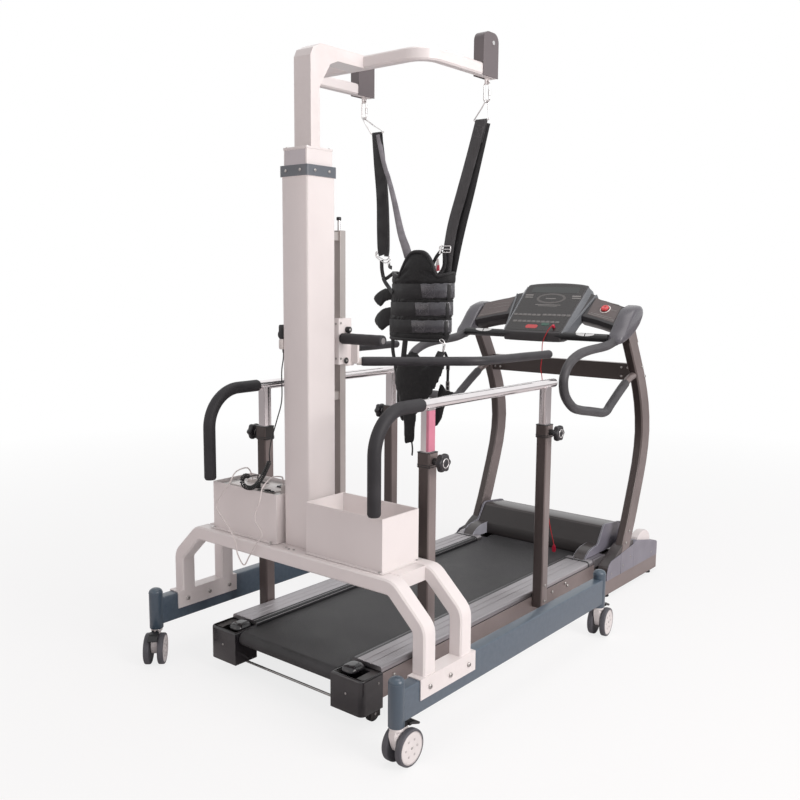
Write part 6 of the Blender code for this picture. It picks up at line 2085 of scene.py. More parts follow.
for side in (1, -1):
    for y in POST_ROWS:
        x = side * POST_X
        lip = []
        for z, grow in ((0.9446, 0.0570), (0.9452, 0.0578), (0.9466, 0.0578), (0.9472, 0.0566)):
            lip.append([Vector((x + a, y + b, z)) for a, b in rounded_rectangle(grow, grow, 0.006)])
        inner = [
            [Vector((x + a, y + b, p.z)) for a, b in rounded_rectangle(0.0404, 0.0404, 0.004)]
            for p in (lip[3][0], lip[0][0])
        ]
        trim_forms.append((lofted(lip + inner, loop=True), black_abs))
        for z in (0.893, 0.900):
            band = []
            for level, grow in (
                (z, 0.0572), (z + 0.0005, 0.0580), (z + 0.0025, 0.0580), (z + 0.003, 0.0572)
            ):
                band.append([
                    Vector((x + a, y + b, level))
                    for a, b in rounded_rectangle(grow, grow, 0.006)
                ])
            inner = [
                [Vector((x + a, y + b, p.z)) for a, b in rounded_rectangle(0.0562, 0.0562, 0.006)]
                for p in (band[3][0], band[0][0])
            ]
            trim_forms.append((lofted(band + inner, loop=True), black_abs))
fitted("post_collars", "treadmill", trim_forms)

# Running belt: two-ply PVC over polyester, a seamless loop round both rollers, with the diamond
# pattern moulded into its walking face. The pattern is about 9 mm, as the photograph shows it.
belt_pvc = bpy.data.materials.new("diamond_pattern_belt")
tree = clear_tree(belt_pvc)
place = add_node(tree, "ShaderNodeTexCoord")
parts = add_node(tree, "ShaderNodeSeparateXYZ", None, Vector=place.outputs["Object"])
slants = []
for sign in (1, -1):
    half = add_node(tree, "ShaderNodeMath", {"operation": "MULTIPLY"}, _0=parts.outputs["X"])
    half.inputs[1].default_value = sign * 1.6
    total = add_node(
        tree, "ShaderNodeMath", {"operation": "ADD"}, _0=parts.outputs["Y"], _1=half.outputs[0]
    )
    folded = add_node(tree, "ShaderNodeMath", {"operation": "PINGPONG"}, _0=total.outputs[0])
    folded.inputs[1].default_value = 0.0065
    slants.append(folded)
ridge = add_node(
    tree, "ShaderNodeMath", {"operation": "MINIMUM"}, _0=slants[0].outputs[0], _1=slants[1].outputs[0]
)
raised = add_node(
    tree, "ShaderNodeMapRange", {"From Min": 0.0005, "From Max": 0.0022}, Value=ridge.outputs[0]
)
cloud = add_node(
    tree, "ShaderNodeTexNoise", {"Scale": 5.0, "Detail": 5.0, "Roughness": 0.65},
    Vector=place.outputs["Object"],
)
dust = add_node(tree, "ShaderNodeTexNoise", {"Scale": 160.0, "Detail": 3.0}, Vector=place.outputs["Object"])
shades = two_tone(tree, cloud.outputs["Fac"], 0.30, linear("2c2c2d"), 0.72, linear("434345"))
tone = add_node(
    tree, "ShaderNodeMapRange", {"To Min": 0.80, "To Max": 1.06}, Value=raised.outputs["Result"]
)
tone = add_node(
    tree, "ShaderNodeMixRGB", {"blend_type": "MULTIPLY", "Fac": 1.0}, Color1=shades.outputs["Color"],
    Color2=tone.outputs["Result"],
)
coarse = add_node(
    tree, "ShaderNodeBump", {"Strength": 0.55, "Distance": 0.0007}, Height=raised.outputs["Result"]
)
fine = add_node(
    tree, "ShaderNodeBump", {"Strength": 0.15, "Distance": 0.0003}, Height=dust.outputs["Fac"],
    Normal=coarse.outputs["Normal"],
)
worn = add_node(
    tree,
    "ShaderNodeMapRange",
    {"From Min": 0.3, "From Max": 0.7, "To Min": 0.40, "To Max": 0.60},
    Value=cloud.outputs["Fac"],
)
looks = (tone.outputs["Color"], worn.outputs["Result"], fine.outputs["Normal"])
surfaced(tree, {"Specular IOR Level": 0.35}, *looks)
REAR_ROLLER_Y = -1.0515
FRONT_ROLLER_Y = 0.720
ROLLER_Z = 0.1522
rings = []
outline = []
for radius in (0.0278, 0.0253):
    one = []
    for y, start in ((FRONT_ROLLER_Y, -90), (REAR_ROLLER_Y, 90)):
        for i in range(25):
            turn = math.radians(start + 180 * i / 24)
            one.append((y + radius * math.cos(turn), ROLLER_Z + radius * math.sin(turn)))
    outline.append(one)
for x, which in ((-0.2535, 0), (-0.2540, 0), (-0.2540, 1), (0.2540, 1), (0.2540, 0), (0.2535, 0)):
    rings.append([Vector((x, a, b)) for a, b in outline[which]])
fitted(
    "walking_belt", "treadmill", [(lofted(rings, loop=True), belt_pvc)],
    replaces=["running_belt"],
)

# End rollers: turned steel drums with their spindles, in the belt's loop; only their ends show.
turned_steel = bare_metal("turned_steel", "a9a7a6", 0.30, (1.0, 30.0, 30.0), 0.05, 60.0)
for name, y in (("rear", REAR_ROLLER_Y), ("front", FRONT_ROLLER_Y)):
    shape = [(-0.371, 0.0050), (-0.370, 0.0060), (-0.270, 0.0060), (-0.270, 0.0215), (-0.2685, 0.0242)]
    shape += [(0.2685, 0.0242), (0.270, 0.0215), (0.270, 0.0060), (0.370, 0.0060), (0.371, 0.0050)]
    drum = [(lathed("x", (0, y, ROLLER_Z), shape, 48), turned_steel)]
    fitted(name + "_drum", name + "_roller", drum, replaces=[name + "_roller"])

# Foot rails: extruded aluminium with a crowned top and ribbed tread strips, satin anodised, with a
# short second length at the front and a black joint strip between.
ribbed = bare_metal("satin_anodised_foot_rail", "b0acaf", 0.34, (60.0, 0.4, 60.0), 0.02, 30.0)
for name, side in SIDES:
    crown = [(0.2565, 0.1771), (0.2565, 0.1880), (0.2572, 0.1912), (0.2600, 0.1948), (0.2645, 0.1972)]
    for i in range(14):
        start = 0.2715 + i * 0.0083
        if i in (5, 9):
            crown += [
                (start - 0.001, 0.1992), (start + 0.0004, 0.1962), (start + 0.0042, 0.1962),
                (start + 0.0056, 0.1992),
            ]
        else:
            crown += [
                (start, 0.1992), (start + 0.0010, 0.1978), (start + 0.0024, 0.1978),
                (start + 0.0034, 0.1992),
            ]
    crown += [(0.3905, 0.1984), (0.3950, 0.1966), (0.3982, 0.1935), (0.4000, 0.1890), (0.4000, 0.1771)]
    sections = []
    for low, high in ((-0.985, 0.563), (0.567, 0.613)):
        sections.append((extruded("xz", [(side * a, b) for a, b in crown], low, high), ribbed))
    cover = [
        (0.2562, 0.1775), (0.2562, 0.1895), (0.2600, 0.1955), (0.2700, 0.2002), (0.3900, 0.2002),
        (0.3970, 0.1965), (0.4006, 0.1895), (0.4006, 0.1775),
    ]
    edge = [
        (0.2560, 0.1775), (0.2560, 0.1890), (0.2600, 0.1957), (0.2650, 0.1982), (0.2830, 0.2000),
        (0.2830, 0.1985),
    ]
    edge += [(0.2655, 0.1966), (0.2606, 0.1944), (0.2568, 0.1885), (0.2568, 0.1775)]
    sections.append((extruded("xz", [(side * a, b) for a, b in edge], -0.985, 0.558), black_abs))
    rise = []
    for y, grow in ((0.560, 0.0), (0.5612, 0.0008), (0.5700, 0.0008), (0.5712, 0.0)):
        rise.append([Vector((side * a, y, b + (grow if b > 0.18 else 0))) for a, b in cover])
    sections.append((lofted(rise), black_abs))
    fitted(
        "foot_rail_" + name, "treadmill", sections,
        replaces=[name + "_foot_rail"], bevel=0.0004, segments=1, angle=50,
    )

# Rear caps: moulded black corner covers over the channels' ends, glossy, with a raised oval dome.
gloss_black = moulded("gloss_black_abs", "222024", 0.20, 0.010, 0.04, coat=0.4)
for name, side in SIDES:
    cap_outer = 0.4072
    rings = []
    for z, inset in (
        (0.0500, 0.0008), (0.0508, 0.0), (0.1740, 0.0), (0.1785, 0.0012), (0.1808, 0.0036), (0.1820, 0.0080)
    ):
        plan = [(0.2565 + inset, -0.986), (0.2565 + inset, -1.097 + inset)]
        for t in range(9):
            turn = math.radians(90 * t / 8)
            plan.append((
                cap_outer - 0.022 + (0.022 - inset) * math.sin(turn),
                -1.075 - (0.022 - inset) * math.cos(turn),
            ))
        plan.append((cap_outer - inset, -0.986))
        rings.append([Vector((side * a, b, z)) for a, b in plan])
    inner = []
    for z in (0.1785, 0.0500):
        plan = [(0.2595, -0.987), (0.2595, -1.094)]
        for t in range(9):
            turn = math.radians(90 * t / 8)
            plan.append((cap_outer - 0.022 + 0.019 * math.sin(turn), -1.075 - 0.019 * math.cos(turn)))
        plan.append((cap_outer - 0.003, -0.987))
        inner.append([Vector((side * a, b, z)) for a, b in plan])
    cap = [(lofted(rings + inner, loop=True), gloss_black)]
    dome = []
    for k in range(9):
        turn = math.radians(90 * k / 8)
        share = 0.35 + 0.65 * math.cos(turn)
        level = 0.1805 + 0.0205 * math.sin(turn)
        dome.append([
            Vector((side * 0.3035 + a * share, -1.030 + b * share, level))
            for a, b in rounded_rectangle(0.067, 0.084, 0.026, 8)
        ])
    cap.append((lofted(dome), gloss_black))
    fitted(
        "rear_cap_cover_" + name, "treadmill", cap, replaces=["rear_cap_" + name],
        angle=50,
    )
cap_screws = [((side * 0.330, -1.0972, 0.120), (0, -1, 0), (1, 0, 0)) for side in (1, -1)]
cap_screws += [((side * 0.4074, -1.010, 0.150), (side, 0, 0), (0, 1, 0)) for side in (1, -1)]
repeated(
    "rear_cap_screws", "treadmill", cap_screw(0.0040, 0.0018, 14), cap_screws, zinc_screw,
)

# Rear wheels: black moulded transport wheels on a steel axle in brackets under the caps.
WHEEL_AXLE = (0, -1.007, 0.030)
wheel_forms = []
for side in (1, -1):
    profile = [
        (0.3650, 0.0060), (0.3650, 0.0150), (0.3665, 0.0170), (0.3655, 0.0250), (0.3660, 0.0280),
        (0.3685, 0.0298), (0.3760, 0.0300),
    ]
    profile += [
        (0.3835, 0.0298), (0.3860, 0.0280), (0.3865, 0.0250), (0.3855, 0.0170), (0.3870, 0.0150),
        (0.3870, 0.0060),
    ]
    wheel_forms.append((lathed("x", WHEEL_AXLE, [(side * a, b) for a, b in profile], 56), black_rubber))
    wheel_forms.append((lathed("x", WHEEL_AXLE, [
        (side * 0.3640, 0.0040), (side * 0.3645, 0.0050), (side * 0.3916, 0.0050)
    ], 20), zinc_screw))
wheel_forms.append((lathed("x", WHEEL_AXLE, [(-0.3645, 0.0048), (0.3645, 0.0048)], 24), turned_steel))
fitted("transport_wheels", "rear_wheels", wheel_forms, replaces=["rear_wheels"])

# Motor hood: a moulded casing over the motor, dark brown-grey and satin, with a light edge on each
# side plate and a rounded toe beside the belt. Its rear face stands upright, then leans forward; a
# darker sheet over it and a dark plate inside the casing are painted shade.
HOOD_HALF = 0.3580
COVER_INNER = 0.4045
COVER_OUTER = 0.4612
hood_grey = moulded("dark_brown_grey_abs", "413c3c", 0.32, 0.006, 0.06, coat=0.20)
hood_rear_painted_shade = moulded("painted_shade_brown_grey_abs", "2c2828", 0.40, 0.006, 0.06)
cheek_grey = moulded("lavender_grey_abs", "85838f", 0.32, 0.006, 0.05, coat=0.25)
pale_edge = moulded("pale_edge_abs", "b4b5bf", 0.36, 0.004, 0.04)
over = [
    (0.7270, 0.1825), (0.7270, 0.2360), (0.7310, 0.2430), (0.7840, 0.3170), (0.7920, 0.3255),
    (0.8050, 0.3290),
]
over += [(0.9500, 0.3150), (0.9650, 0.3110), (1.1000, 0.2020), (1.1720, 0.1520), (1.1840, 0.0980)]
under = [
    (1.1810, 0.0980), (1.1690, 0.1500), (1.0980, 0.1985), (0.9635, 0.3072), (0.9490, 0.3112),
    (0.8060, 0.3250),
]
under += [(0.7945, 0.3222), (0.7870, 0.3150), (0.7345, 0.2415), (0.7305, 0.2350), (0.7305, 0.1825)]
hood_forms = [(extruded("yz", over + under, -HOOD_HALF, HOOD_HALF), hood_grey)]
# A thin sheet over the rear faces, in a darker colour as painted shade.
skin = [
    (0.7265, 0.1826), (0.7265, 0.2361), (0.7305, 0.2433), (0.7835, 0.3173), (0.7840, 0.3170),
    (0.7310, 0.2430), (0.7270, 0.2360), (0.7270, 0.1826),
]
hood_forms.append((extruded("yz", skin, -0.3577, 0.3577), hood_rear_painted_shade))
# A dark plate inside the casing, standing in for the shade there.
hood_forms.append((block((-0.3560, 0.3560), (0.7900, 0.7930), (0.1000, 0.2900)), hood_rear_painted_shade))
rim = [
    (0.5960, 0.1995), (0.6080, 0.2140), (0.6320, 0.2290), (0.6640, 0.2385), (0.7000, 0.2425),
    (0.7260, 0.2450),
]
rim += [(0.7370, 0.2580), (0.7780, 0.3220), (0.7880, 0.3315), (0.8060, 0.3350)]
plate_side = rim + [
    (0.9520, 0.3205), (0.9720, 0.3155), (1.1040, 0.2060), (1.1770, 0.1550), (1.1900, 0.0980),
    (1.1600, 0.0980), (1.1500, 0.1995),
]
toe_side = [
    (0.5900, 0.1826), (0.5900, 0.2000), (0.6060, 0.2150), (0.6320, 0.2290), (0.6640, 0.2385),
    (0.7000, 0.2420), (0.7300, 0.2435), (0.7300, 0.1826),
]
for side in (1, -1):
    low, high = span(side, HOOD_HALF, 0.3660)
    hood_forms.append((extruded("yz", plate_side, low, high), cheek_grey))
    low, high = span(side, 0.3572, 0.3667)
    edge = rim + [(y + 0.0016, z - 0.0016) for y, z in reversed(rim)]
    hood_forms.append((extruded("yz", edge, low, high), pale_edge))
    low, high = span(side, 0.3020, 0.3579)
    hood_forms.append((extruded("yz", toe_side, low, high), hood_grey))
    low, high = span(side, 0.3005, 0.3021)
    hood_forms.append((extruded("yz", toe_side, low, high), pale_edge))
fitted(
    "motor_cover", "treadmill", hood_forms, replaces=["motor_hood"], bevel=0.0020,
    segments=3, angle=30,
)

# Tube covers: a dark moulded boot behind each upright, and lavender-grey panels screwed on outside
# it. The foot rail runs on between boot and hood, and a white cap stands in front of the upright.
boot_side = [
    (0.6560, 0.0960), (0.6560, 0.1500), (0.6640, 0.1640), (0.6900, 0.1760), (0.7350, 0.1930),
    (0.7650, 0.2120), (0.8050, 0.2340), (0.8500, 0.2480), (0.9410, 0.2390), (0.9410, 0.0960),
]
rear_panel = [
    (0.6440, 0.0960), (0.6440, 0.1220), (0.6580, 0.1580), (0.6680, 0.1720), (0.6900, 0.1860),
    (0.7950, 0.1995), (0.7950, 0.0960),
]
side_panel = [(0.7970, 0.0960), (0.7970, 0.2000), (0.8340, 0.2050), (0.9420, 0.2190), (0.9420, 0.0960)]
front_cover = [
    (0.9420, 0.0960), (0.9420, 0.2190), (0.9560, 0.2290), (0.9680, 0.2330), (1.1900, 0.1845),
    (1.2260, 0.1730), (1.2330, 0.1650), (1.2330, 0.0960),
]
cap_side = [(0.9970, 0.1800), (0.9970, 0.2090), (1.0100, 0.2340), (1.0400, 0.2530), (1.0780, 0.2590)]
cap_side += [(2.1560 - y, z) for y, z in reversed(cap_side[:-1])]
cover_forms = []
strip_forms = []
for side in (1, -1):
    low, high = span(side, COVER_INNER, 0.4566)
    cover_forms.append((extruded("yz", boot_side, low, high), hood_grey))
    for outline in (rear_panel, side_panel):
        low, high = span(side, 0.4567, COVER_OUTER)
        cover_forms.append((extruded("yz", outline, low, high), cheek_grey))
    low, high = span(side, COVER_INNER, COVER_OUTER)
    cover_forms.append((extruded("yz", front_cover, low, high), cheek_grey))
    low, high = span(side, 0.4100, 0.4490)
    cover_forms.append((extruded("yz", cap_side, low, high), warm_white))
    low, high = span(side, 0.3665, 0.4042)
    strip_forms.append((block((low, high), (0.6150, 0.7350), (0.1600, 0.1990)), ribbed))
    strip_forms.append((block((low, high), (0.7352, 1.1700), (0.1000, 0.1860)), hood_grey))
    low, high = span(side, 0.3900, 0.3935)
    strip_forms.append((block((low, high), (0.6150, 0.7345), (0.1985, 0.1994)), hood_grey))
fitted("tube_covers", "treadmill", cover_forms, bevel=0.0018, segments=3, angle=30)
fitted("hood_side_strips", "treadmill", strip_forms, bevel=0.0006)
hood_screws = []
for side in (1, -1):
    for y, z in ((0.690, 0.125), (0.820, 0.135), (0.905, 0.160), (1.160, 0.125)):
        hood_screws.append(((side * 0.4611, y, z), (side, 0, 0), (0, 1, 0)))
repeated(
    "cover_screws", "treadmill", cap_screw(0.0045, 0.0016, 16), hood_screws, zinc_screw
)

# Uprights: rolled steel profiles with rounded corners, bent forward and back, bolted to the floor
# tubes at the foot and joined by a crossbar, in the same metallic enamel.
# The last colour is painted shade: the uprights' front and rear faces are darker than their flanks.
post_enamel = metallic_coat("upright_enamel_painted_rear_shade", "918584", "7d7270", 0.34, "423937")
upright_forms = [(copied("console_frame"), post_enamel)]
for side in (1, -1):
    low, high = span(side, 0.4135, 0.4595)
    upright_forms.append((extruded("yz", [
        (0.7985, 1.2570), (0.8925, 1.2570), (0.8390, 1.3450), (0.7450, 1.3450)
    ], low, high), post_enamel))
fitted(
    "upright_frame", "treadmill", upright_forms, replaces=["console_frame"],
    bevel=0.0025, segments=3, angle=30,
)
upright_bolts = []
for side in (1, -1):
    for y, z in ((0.948, 1.130), (0.983, 1.082), (0.850, 0.245), (0.880, 0.300)):
        upright_bolts.append(((side * (0.4365 + 0.0226), y, z), (side, 0, 0), (0, 1, 0)))
repeated(
    "upright_bolts", "treadmill", cap_screw(0.0070, 0.0045, 18), upright_bolts, zinc_screw,
)
bracket_forms = []
for side in (1, -1):
    low, high = span(side, 0.345, 0.413)
    bracket_forms.append((block((low, high), (0.9215, 0.9245), (1.064, 1.141)), post_enamel))
fitted("bridge_brackets", "treadmill", bracket_forms, bevel=0.001)
bridge_bolts = [
    ((side * x, 0.9213, z), (0, -1, 0), (1, 0, 0))
    for side in (1, -1)
    for x in (0.362, 0.396)
    for z in (1.080, 1.125)
]
repeated(
    "bridge_bolts", "treadmill", cap_screw(0.0060, 0.0040, 18), bridge_bolts, zinc_screw,
)

# Handlebars: foam-covered tube loops, each from the console's cheek round to its upright. The foam is
# matt dark grey; a black ring marks its upper end and a bare brown-grey tube carries its lower one.
grey_foam = foam_rubber("handlebar_foam", "504f52", "434245", 0.44)
HANDLE = [
    (0.6995, 1.278), (0.658, 1.267), (0.605, 1.256), (0.544, 1.250), (0.421, 1.243), (0.328, 1.230),
    (0.250, 1.201), (0.204, 1.157),
    (0.192, 1.107), (0.214, 1.050), (0.283, 0.996), (0.360, 0.974), (0.444, 0.960), (0.520, 0.947),
    (0.580, 0.938), (0.622, 0.943), (0.650, 0.962),
    (0.700, 0.993), (0.747, 1.022), (0.800, 1.052), (0.852, 1.079), (0.915, 1.095),
]
for name, side in SIDES:
    x = side * 0.437
    route = smooth_route([(x, a, b) for a, b in HANDLE], 6)
    body = [p for p in route if p.y < 0.694 or p.z < 1.2]
    end = next(i for i in range(len(body) - 1, 0, -1) if body[i].z < 1.066)
    body = divided(body[: end + 1], 0.008)
    grip_forms = [(round_tube(body, [
        r - 0.0003 + 0.0003 * math.sin(0.17 * i)
        for i, r in enumerate(soft_ends(body, 0.0214, 0.004))
    ], 36), grey_foam)]
    tail_route = [p for p in route if p.y > 0.60 and p.z < 1.10 and p.z > 0.93]
    grip_forms.append((round_tube([
        p
        for p in divided(tail_route, 0.010)
        if p.y < 0.897
    ], 0.0180, 32), post_enamel))
    grip_forms.append((lathed("y", (x, 0, 1.272), [
        (0.680, 0.0212), (0.681, 0.0217), (0.688, 0.0217), (0.689, 0.0212)
    ], 40), black_abs))
    fitted(
        "handlebar_loop_" + name, "treadmill", grip_forms,
        replaces=["handlebar_" + name], angle=50,
    )

# Console: a moulded ABS housing. Its raised centre carries a glossy black overlay with displays and
# keys, between silver side trims; two lower wings reach out to the cheeks that grip the uprights.
housing_abs = moulded("charcoal_abs_housing", "343234", 0.34, 0.006, 0.06, coat=0.2)
cheek_abs = moulded("slate_grey_abs_cheek", "55535a", 0.28, 0.006, 0.05, coat=0.3)
trim_silver = moulded("silver_grey_lacquered_trim", "6c7075", 0.26, 0.004, 0.04, coat=0.4)
overlay = moulded("gloss_black_overlay", "231f1f", 0.26, 0.004, 0.02, coat=0.25)
smoked = moulded("smoked_display_window", "171c1b", 0.08, 0.004, 0.01, coat=0.6)
lit_print = moulded("pale_grey_screen_ink", "8f8d8b", 0.45, 0.003, 0.04)
red_key = moulded("red_key_top", "c8474a", 0.35, 0.003, 0.06, coat=0.2)
green_key = moulded("green_key_top", "2f5b4d", 0.35, 0.003, 0.06, coat=0.2)
wing_overlay = moulded("brown_grey_wing_overlay", "5a4f4e", 0.30, 0.003, 0.05, coat=0.3)
FACE_FOOT = Vector((0, 0.638, 1.298))
UP_FACE = Vector((0, 0.7454, 0.6666))
OFF_FACE = Vector((0, -0.6666, 0.7454))


def on_face(x, up, out=0.0):
    """A point of the console's sloping face: across it, up it and out from it."""
    return Vector((x, 0, 0)) + FACE_FOOT + UP_FACE * up + OFF_FACE * out


def face_plate(outline, low, high, inset=0.0):
    """A plate that lies on the console's face, its outer outline drawn in by an inset."""
    middle = sum((Vector(p) for p in outline), Vector((0, 0))) / len(outline)
    upper = [p + (middle - p).normalized() * inset for p in (Vector(q) for q in outline)]
    return lofted([[on_face(a, b, low) for a, b in outline], [on_face(a, b, high) for a, b in upper]])


def face_outline(half_foot, half_top, foot, corner, crest, grow=0.0):
    """The centre panel's outline: straight sides, rounded corners and a low arch along the top."""
    points = []
    for k in range(7):
        turn = math.radians(-90 + 15 * k)
        points.append((half_foot - 0.014 + 0.014 * math.cos(turn), foot + 0.014 + 0.014 * math.sin(turn)))
    for k in range(7):
        turn = math.radians(15 * k)
        points.append((half_top - 0.012 + 0.012 * math.cos(turn), corner - 0.012 + 0.012 * math.sin(turn)))
    for k in range(1, 6):
        x = (half_top - 0.012) * (1 - k / 6)
        points.append((x, corner + (crest - corner) * (1 - (x / half_top) ** 2)))
    points += [(0.0, crest)]
    middle = Vector((0, (foot + crest) / 2))
    whole = points + [(-a, b) for a, b in reversed(points[:-1])]
    return [tuple(Vector(p) + (Vector(p) - middle).normalized() * grow) for p in whole]


console_forms = []
slab = []
for out, grow in ((None, 0.0), (-0.004, 0.0), (0.0, -0.004)):
    ring = []
    for a, b in face_outline(0.168, 0.177, 0.0, 0.354, 0.370, grow):
        ring.append(on_face(a, b, -(0.010 + 0.075 * b) if out is None else out))
    slab.append(ring)
console_forms.append((lofted(slab), housing_abs))
lip_profile = [
    (0.640, 1.2535), (0.638, 1.2600), (0.638, 1.2970), (0.700, 1.3500), (0.862, 1.4850), (0.892, 1.4900),
    (0.860, 1.3500), (0.750, 1.2630), (0.690, 1.2530),
]
lip_rings = []
for x, back in (
    (-0.168, 0.010), (-0.158, 0.002), (-0.120, 0.0), (0.0, -0.001), (0.120, 0.0), (0.158, 0.002),
    (0.168, 0.010),
):
    lip_rings.append([
        Vector((x, a + (back if a < 0.66 else 0.0), b + (back * 0.6 if b < 1.27 else 0.0)))
        for a, b in lip_profile
    ])
console_forms.append((lofted(lip_rings), housing_abs))
for side in (1, -1):
    trim = []
    for up, inner, outer in (
        (0.004, 0.166, 0.178), (0.060, 0.168, 0.184), (0.140, 0.170, 0.193), (0.220, 0.173, 0.202),
        (0.290, 0.175, 0.207), (0.322, 0.176, 0.205), (0.336, 0.176, 0.196),
    ):
        deep = 0.010 + 0.070 * up
        trim.append([
            on_face(side * inner, up, -0.0010),
            on_face(side * (inner + 0.004), up, 0.0004),
            on_face(side * (inner * 0.35 + outer * 0.65), up, -0.006 - 0.02 * up),
            on_face(side * outer, up, -0.010 - 0.05 * up),
            on_face(side * outer, up, -deep - 0.010),
            on_face(side * inner, up, -deep - 0.010),
        ])
    console_forms.append((lofted(trim), trim_silver))
    ridge = [
        (0.172, 0.010), (0.186, 0.100), (0.205, 0.185), (0.228, 0.295), (0.236, 0.302), (0.232, 0.270),
        (0.213, 0.174), (0.194, 0.092), (0.180, 0.006),
    ]
    console_forms.append((lofted([
        [on_face(side * a, b, -0.062 + 0.02 * (b < 0.05)) for a, b in ridge],
        [on_face(side * a, b, -0.0165) for a, b in ridge],
        [on_face(side * (a * 0.998), b, -0.0140) for a, b in ridge],
    ]), trim_silver))
    shoulder = [
        (0.160, 0.008), (0.172, 0.008), (0.190, 0.100), (0.209, 0.180), (0.232, 0.298), (0.170, 0.320)
    ]
    console_forms.append((lofted([
        [on_face(side * a, b, -0.066 + 0.025 * (b < 0.05)) for a, b in shoulder],
        [on_face(side * a, b, -0.0180) for a, b in shoulder],
    ]), housing_abs))
    wing_rings = []
    for x, low, high in (
        (0.190, 0.168, 0.292), (0.300, 0.140, 0.262), (0.405, 0.104, 0.226), (0.440, 0.094, 0.212)
    ):
        front, back = on_face(side * x, low, -0.0214), on_face(side * x, high, -0.0214)
        ring = [
            front, back, back + Vector((0, 0.010, -0.004)), back + Vector((0, 0.016, -0.016)),
            back + Vector((0, 0.010, -0.090)),
        ]
        ring += [
            front + Vector((0, 0.060, -0.060)), front + Vector((0, 0.010, -0.040)),
            front + Vector((0, 0.000, -0.032)), front + Vector((0, -0.006, -0.008)),
        ]
        wing_rings.append(ring)
    console_forms.append((lofted(wing_rings), housing_abs))
    plate = []
    for x, low, high in ((0.236, 0.164, 0.284), (0.300, 0.144, 0.258), (0.398, 0.111, 0.224)):
        plate.append([
            on_face(side * x, low, -0.0220), on_face(side * x, high, -0.0220),
            on_face(side * x, high - 0.0006, -0.0204), on_face(side * x, low + 0.0006, -0.0204),
        ])
    console_forms.append((lofted(plate), wing_overlay))
    cheek = [
        (0.652, 1.2560), (0.648, 1.2700), (0.655, 1.2840), (0.680, 1.3050), (0.712, 1.3400),
        (0.750, 1.3850), (0.790, 1.4200), (0.828, 1.4330), (0.858, 1.4400),
    ]
    cheek += [
        (0.882, 1.4380), (0.898, 1.4270), (0.902, 1.4080), (0.892, 1.3850), (0.862, 1.3480),
        (0.818, 1.3150), (0.765, 1.2860), (0.715, 1.2680), (0.680, 1.2580),
    ]
    middle = Vector((0.780, 1.362))
    leaf = []
    for x, size in (
        (0.4040, 0.88), (0.4070, 0.95), (0.4160, 1.0), (0.4520, 1.0), (0.4660, 0.975), (0.4760, 0.92),
        (0.4820, 0.84), (0.4848, 0.74),
    ):
        leaf.append([Vector((side * x, *(middle + (Vector(p) - middle) * size))) for p in cheek])
    console_forms.append((lofted(leaf), cheek_abs))
fitted(
    "console_housing", "treadmill", console_forms, replaces=["console"], bevel=0.0022,
    segments=3, angle=34,
)

# Overlay: a glossy printed sheet with a display window, a plain oval track of lamps, and rows of
# small membrane keys. It carries no lettering.
overlay_forms = [(face_plate(
    face_outline(0.160, 0.166, 0.012, 0.344, 0.358), -0.001, 0.0010, 0.0010
), overlay)]
overlay_forms.append((face_plate([
    (a, 0.312 + b)
    for a, b in rounded_rectangle(0.276, 0.044, 0.012)
], 0.0005, 0.0016, 0.0006), smoked))
for x, up, wide, high, look in (
    (-0.137, 0.271, 0.050, 0.009, lit_print),
    (-0.133, 0.255, 0.050, 0.007, lit_print),
    (0.141, 0.268, 0.052, 0.009, lit_print),
    (0.146, 0.253, 0.052, 0.007, lit_print),
    (0.004, 0.200, 0.150, 0.004, lit_print),
    (0.005, 0.191, 0.110, 0.003, lit_print),
    (-0.018, 0.040, 0.070, 0.026, red_key),
    (0.052, 0.060, 0.046, 0.022, green_key),
    (0.000, 0.247, 0.060, 0.006, lit_print),
):
    shape = rounded_rectangle(wide, high, min(wide, high) * 0.48, 4)
    overlay_forms.append((face_plate(
        [(x + a, up + b) for a, b in shape], 0.0006, 0.0020 if look is not lit_print else 0.0013, 0.0005
    ), look))
track = []
for wide, high, out in (
    (0.084, 0.038, 0.0006), (0.084, 0.038, 0.0014), (0.070, 0.027, 0.0014), (0.070, 0.027, 0.0006)
):
    track.append([
        on_face(0.002 + wide * math.cos(math.tau * i / 48), 0.248 + high * math.sin(math.tau * i / 48), out)
        for i in range(48)
    ])
overlay_forms.append((lofted(track, loop=True), moulded(
    "dim_grey_lamp_track", "625f5e", 0.40, 0.003, 0.04
)))
fitted("console_overlay", "treadmill", overlay_forms, bevel=0.0003, angle=50)
key_rings = [
    [
        Vector((a, b, z))
        for a, b in rounded_rectangle(0.0235 - 2 * inset, 0.0150 - 2 * inset, 0.004 - inset, 3)
    ]
    for z, inset in ((0.0, 0.0), (0.0010, 0.0), (0.0014, 0.0008))
]
key_form = lofted(key_rings)
key_places = []
for row_up, start, count in ((0.123, -0.151, 6), (0.126, 0.019, 6), (0.075, -0.132, 10)):
    for i in range(count):
        key_places.append((on_face(start + 0.0272 * i, row_up, 0.0009), OFF_FACE, (1, 0, 0)))
repeated(
    "console_keys", "treadmill", key_form, key_places,
    moulded("mid_grey_membrane_key", "6f6d6c", 0.42, 0.003, 0.05),
)

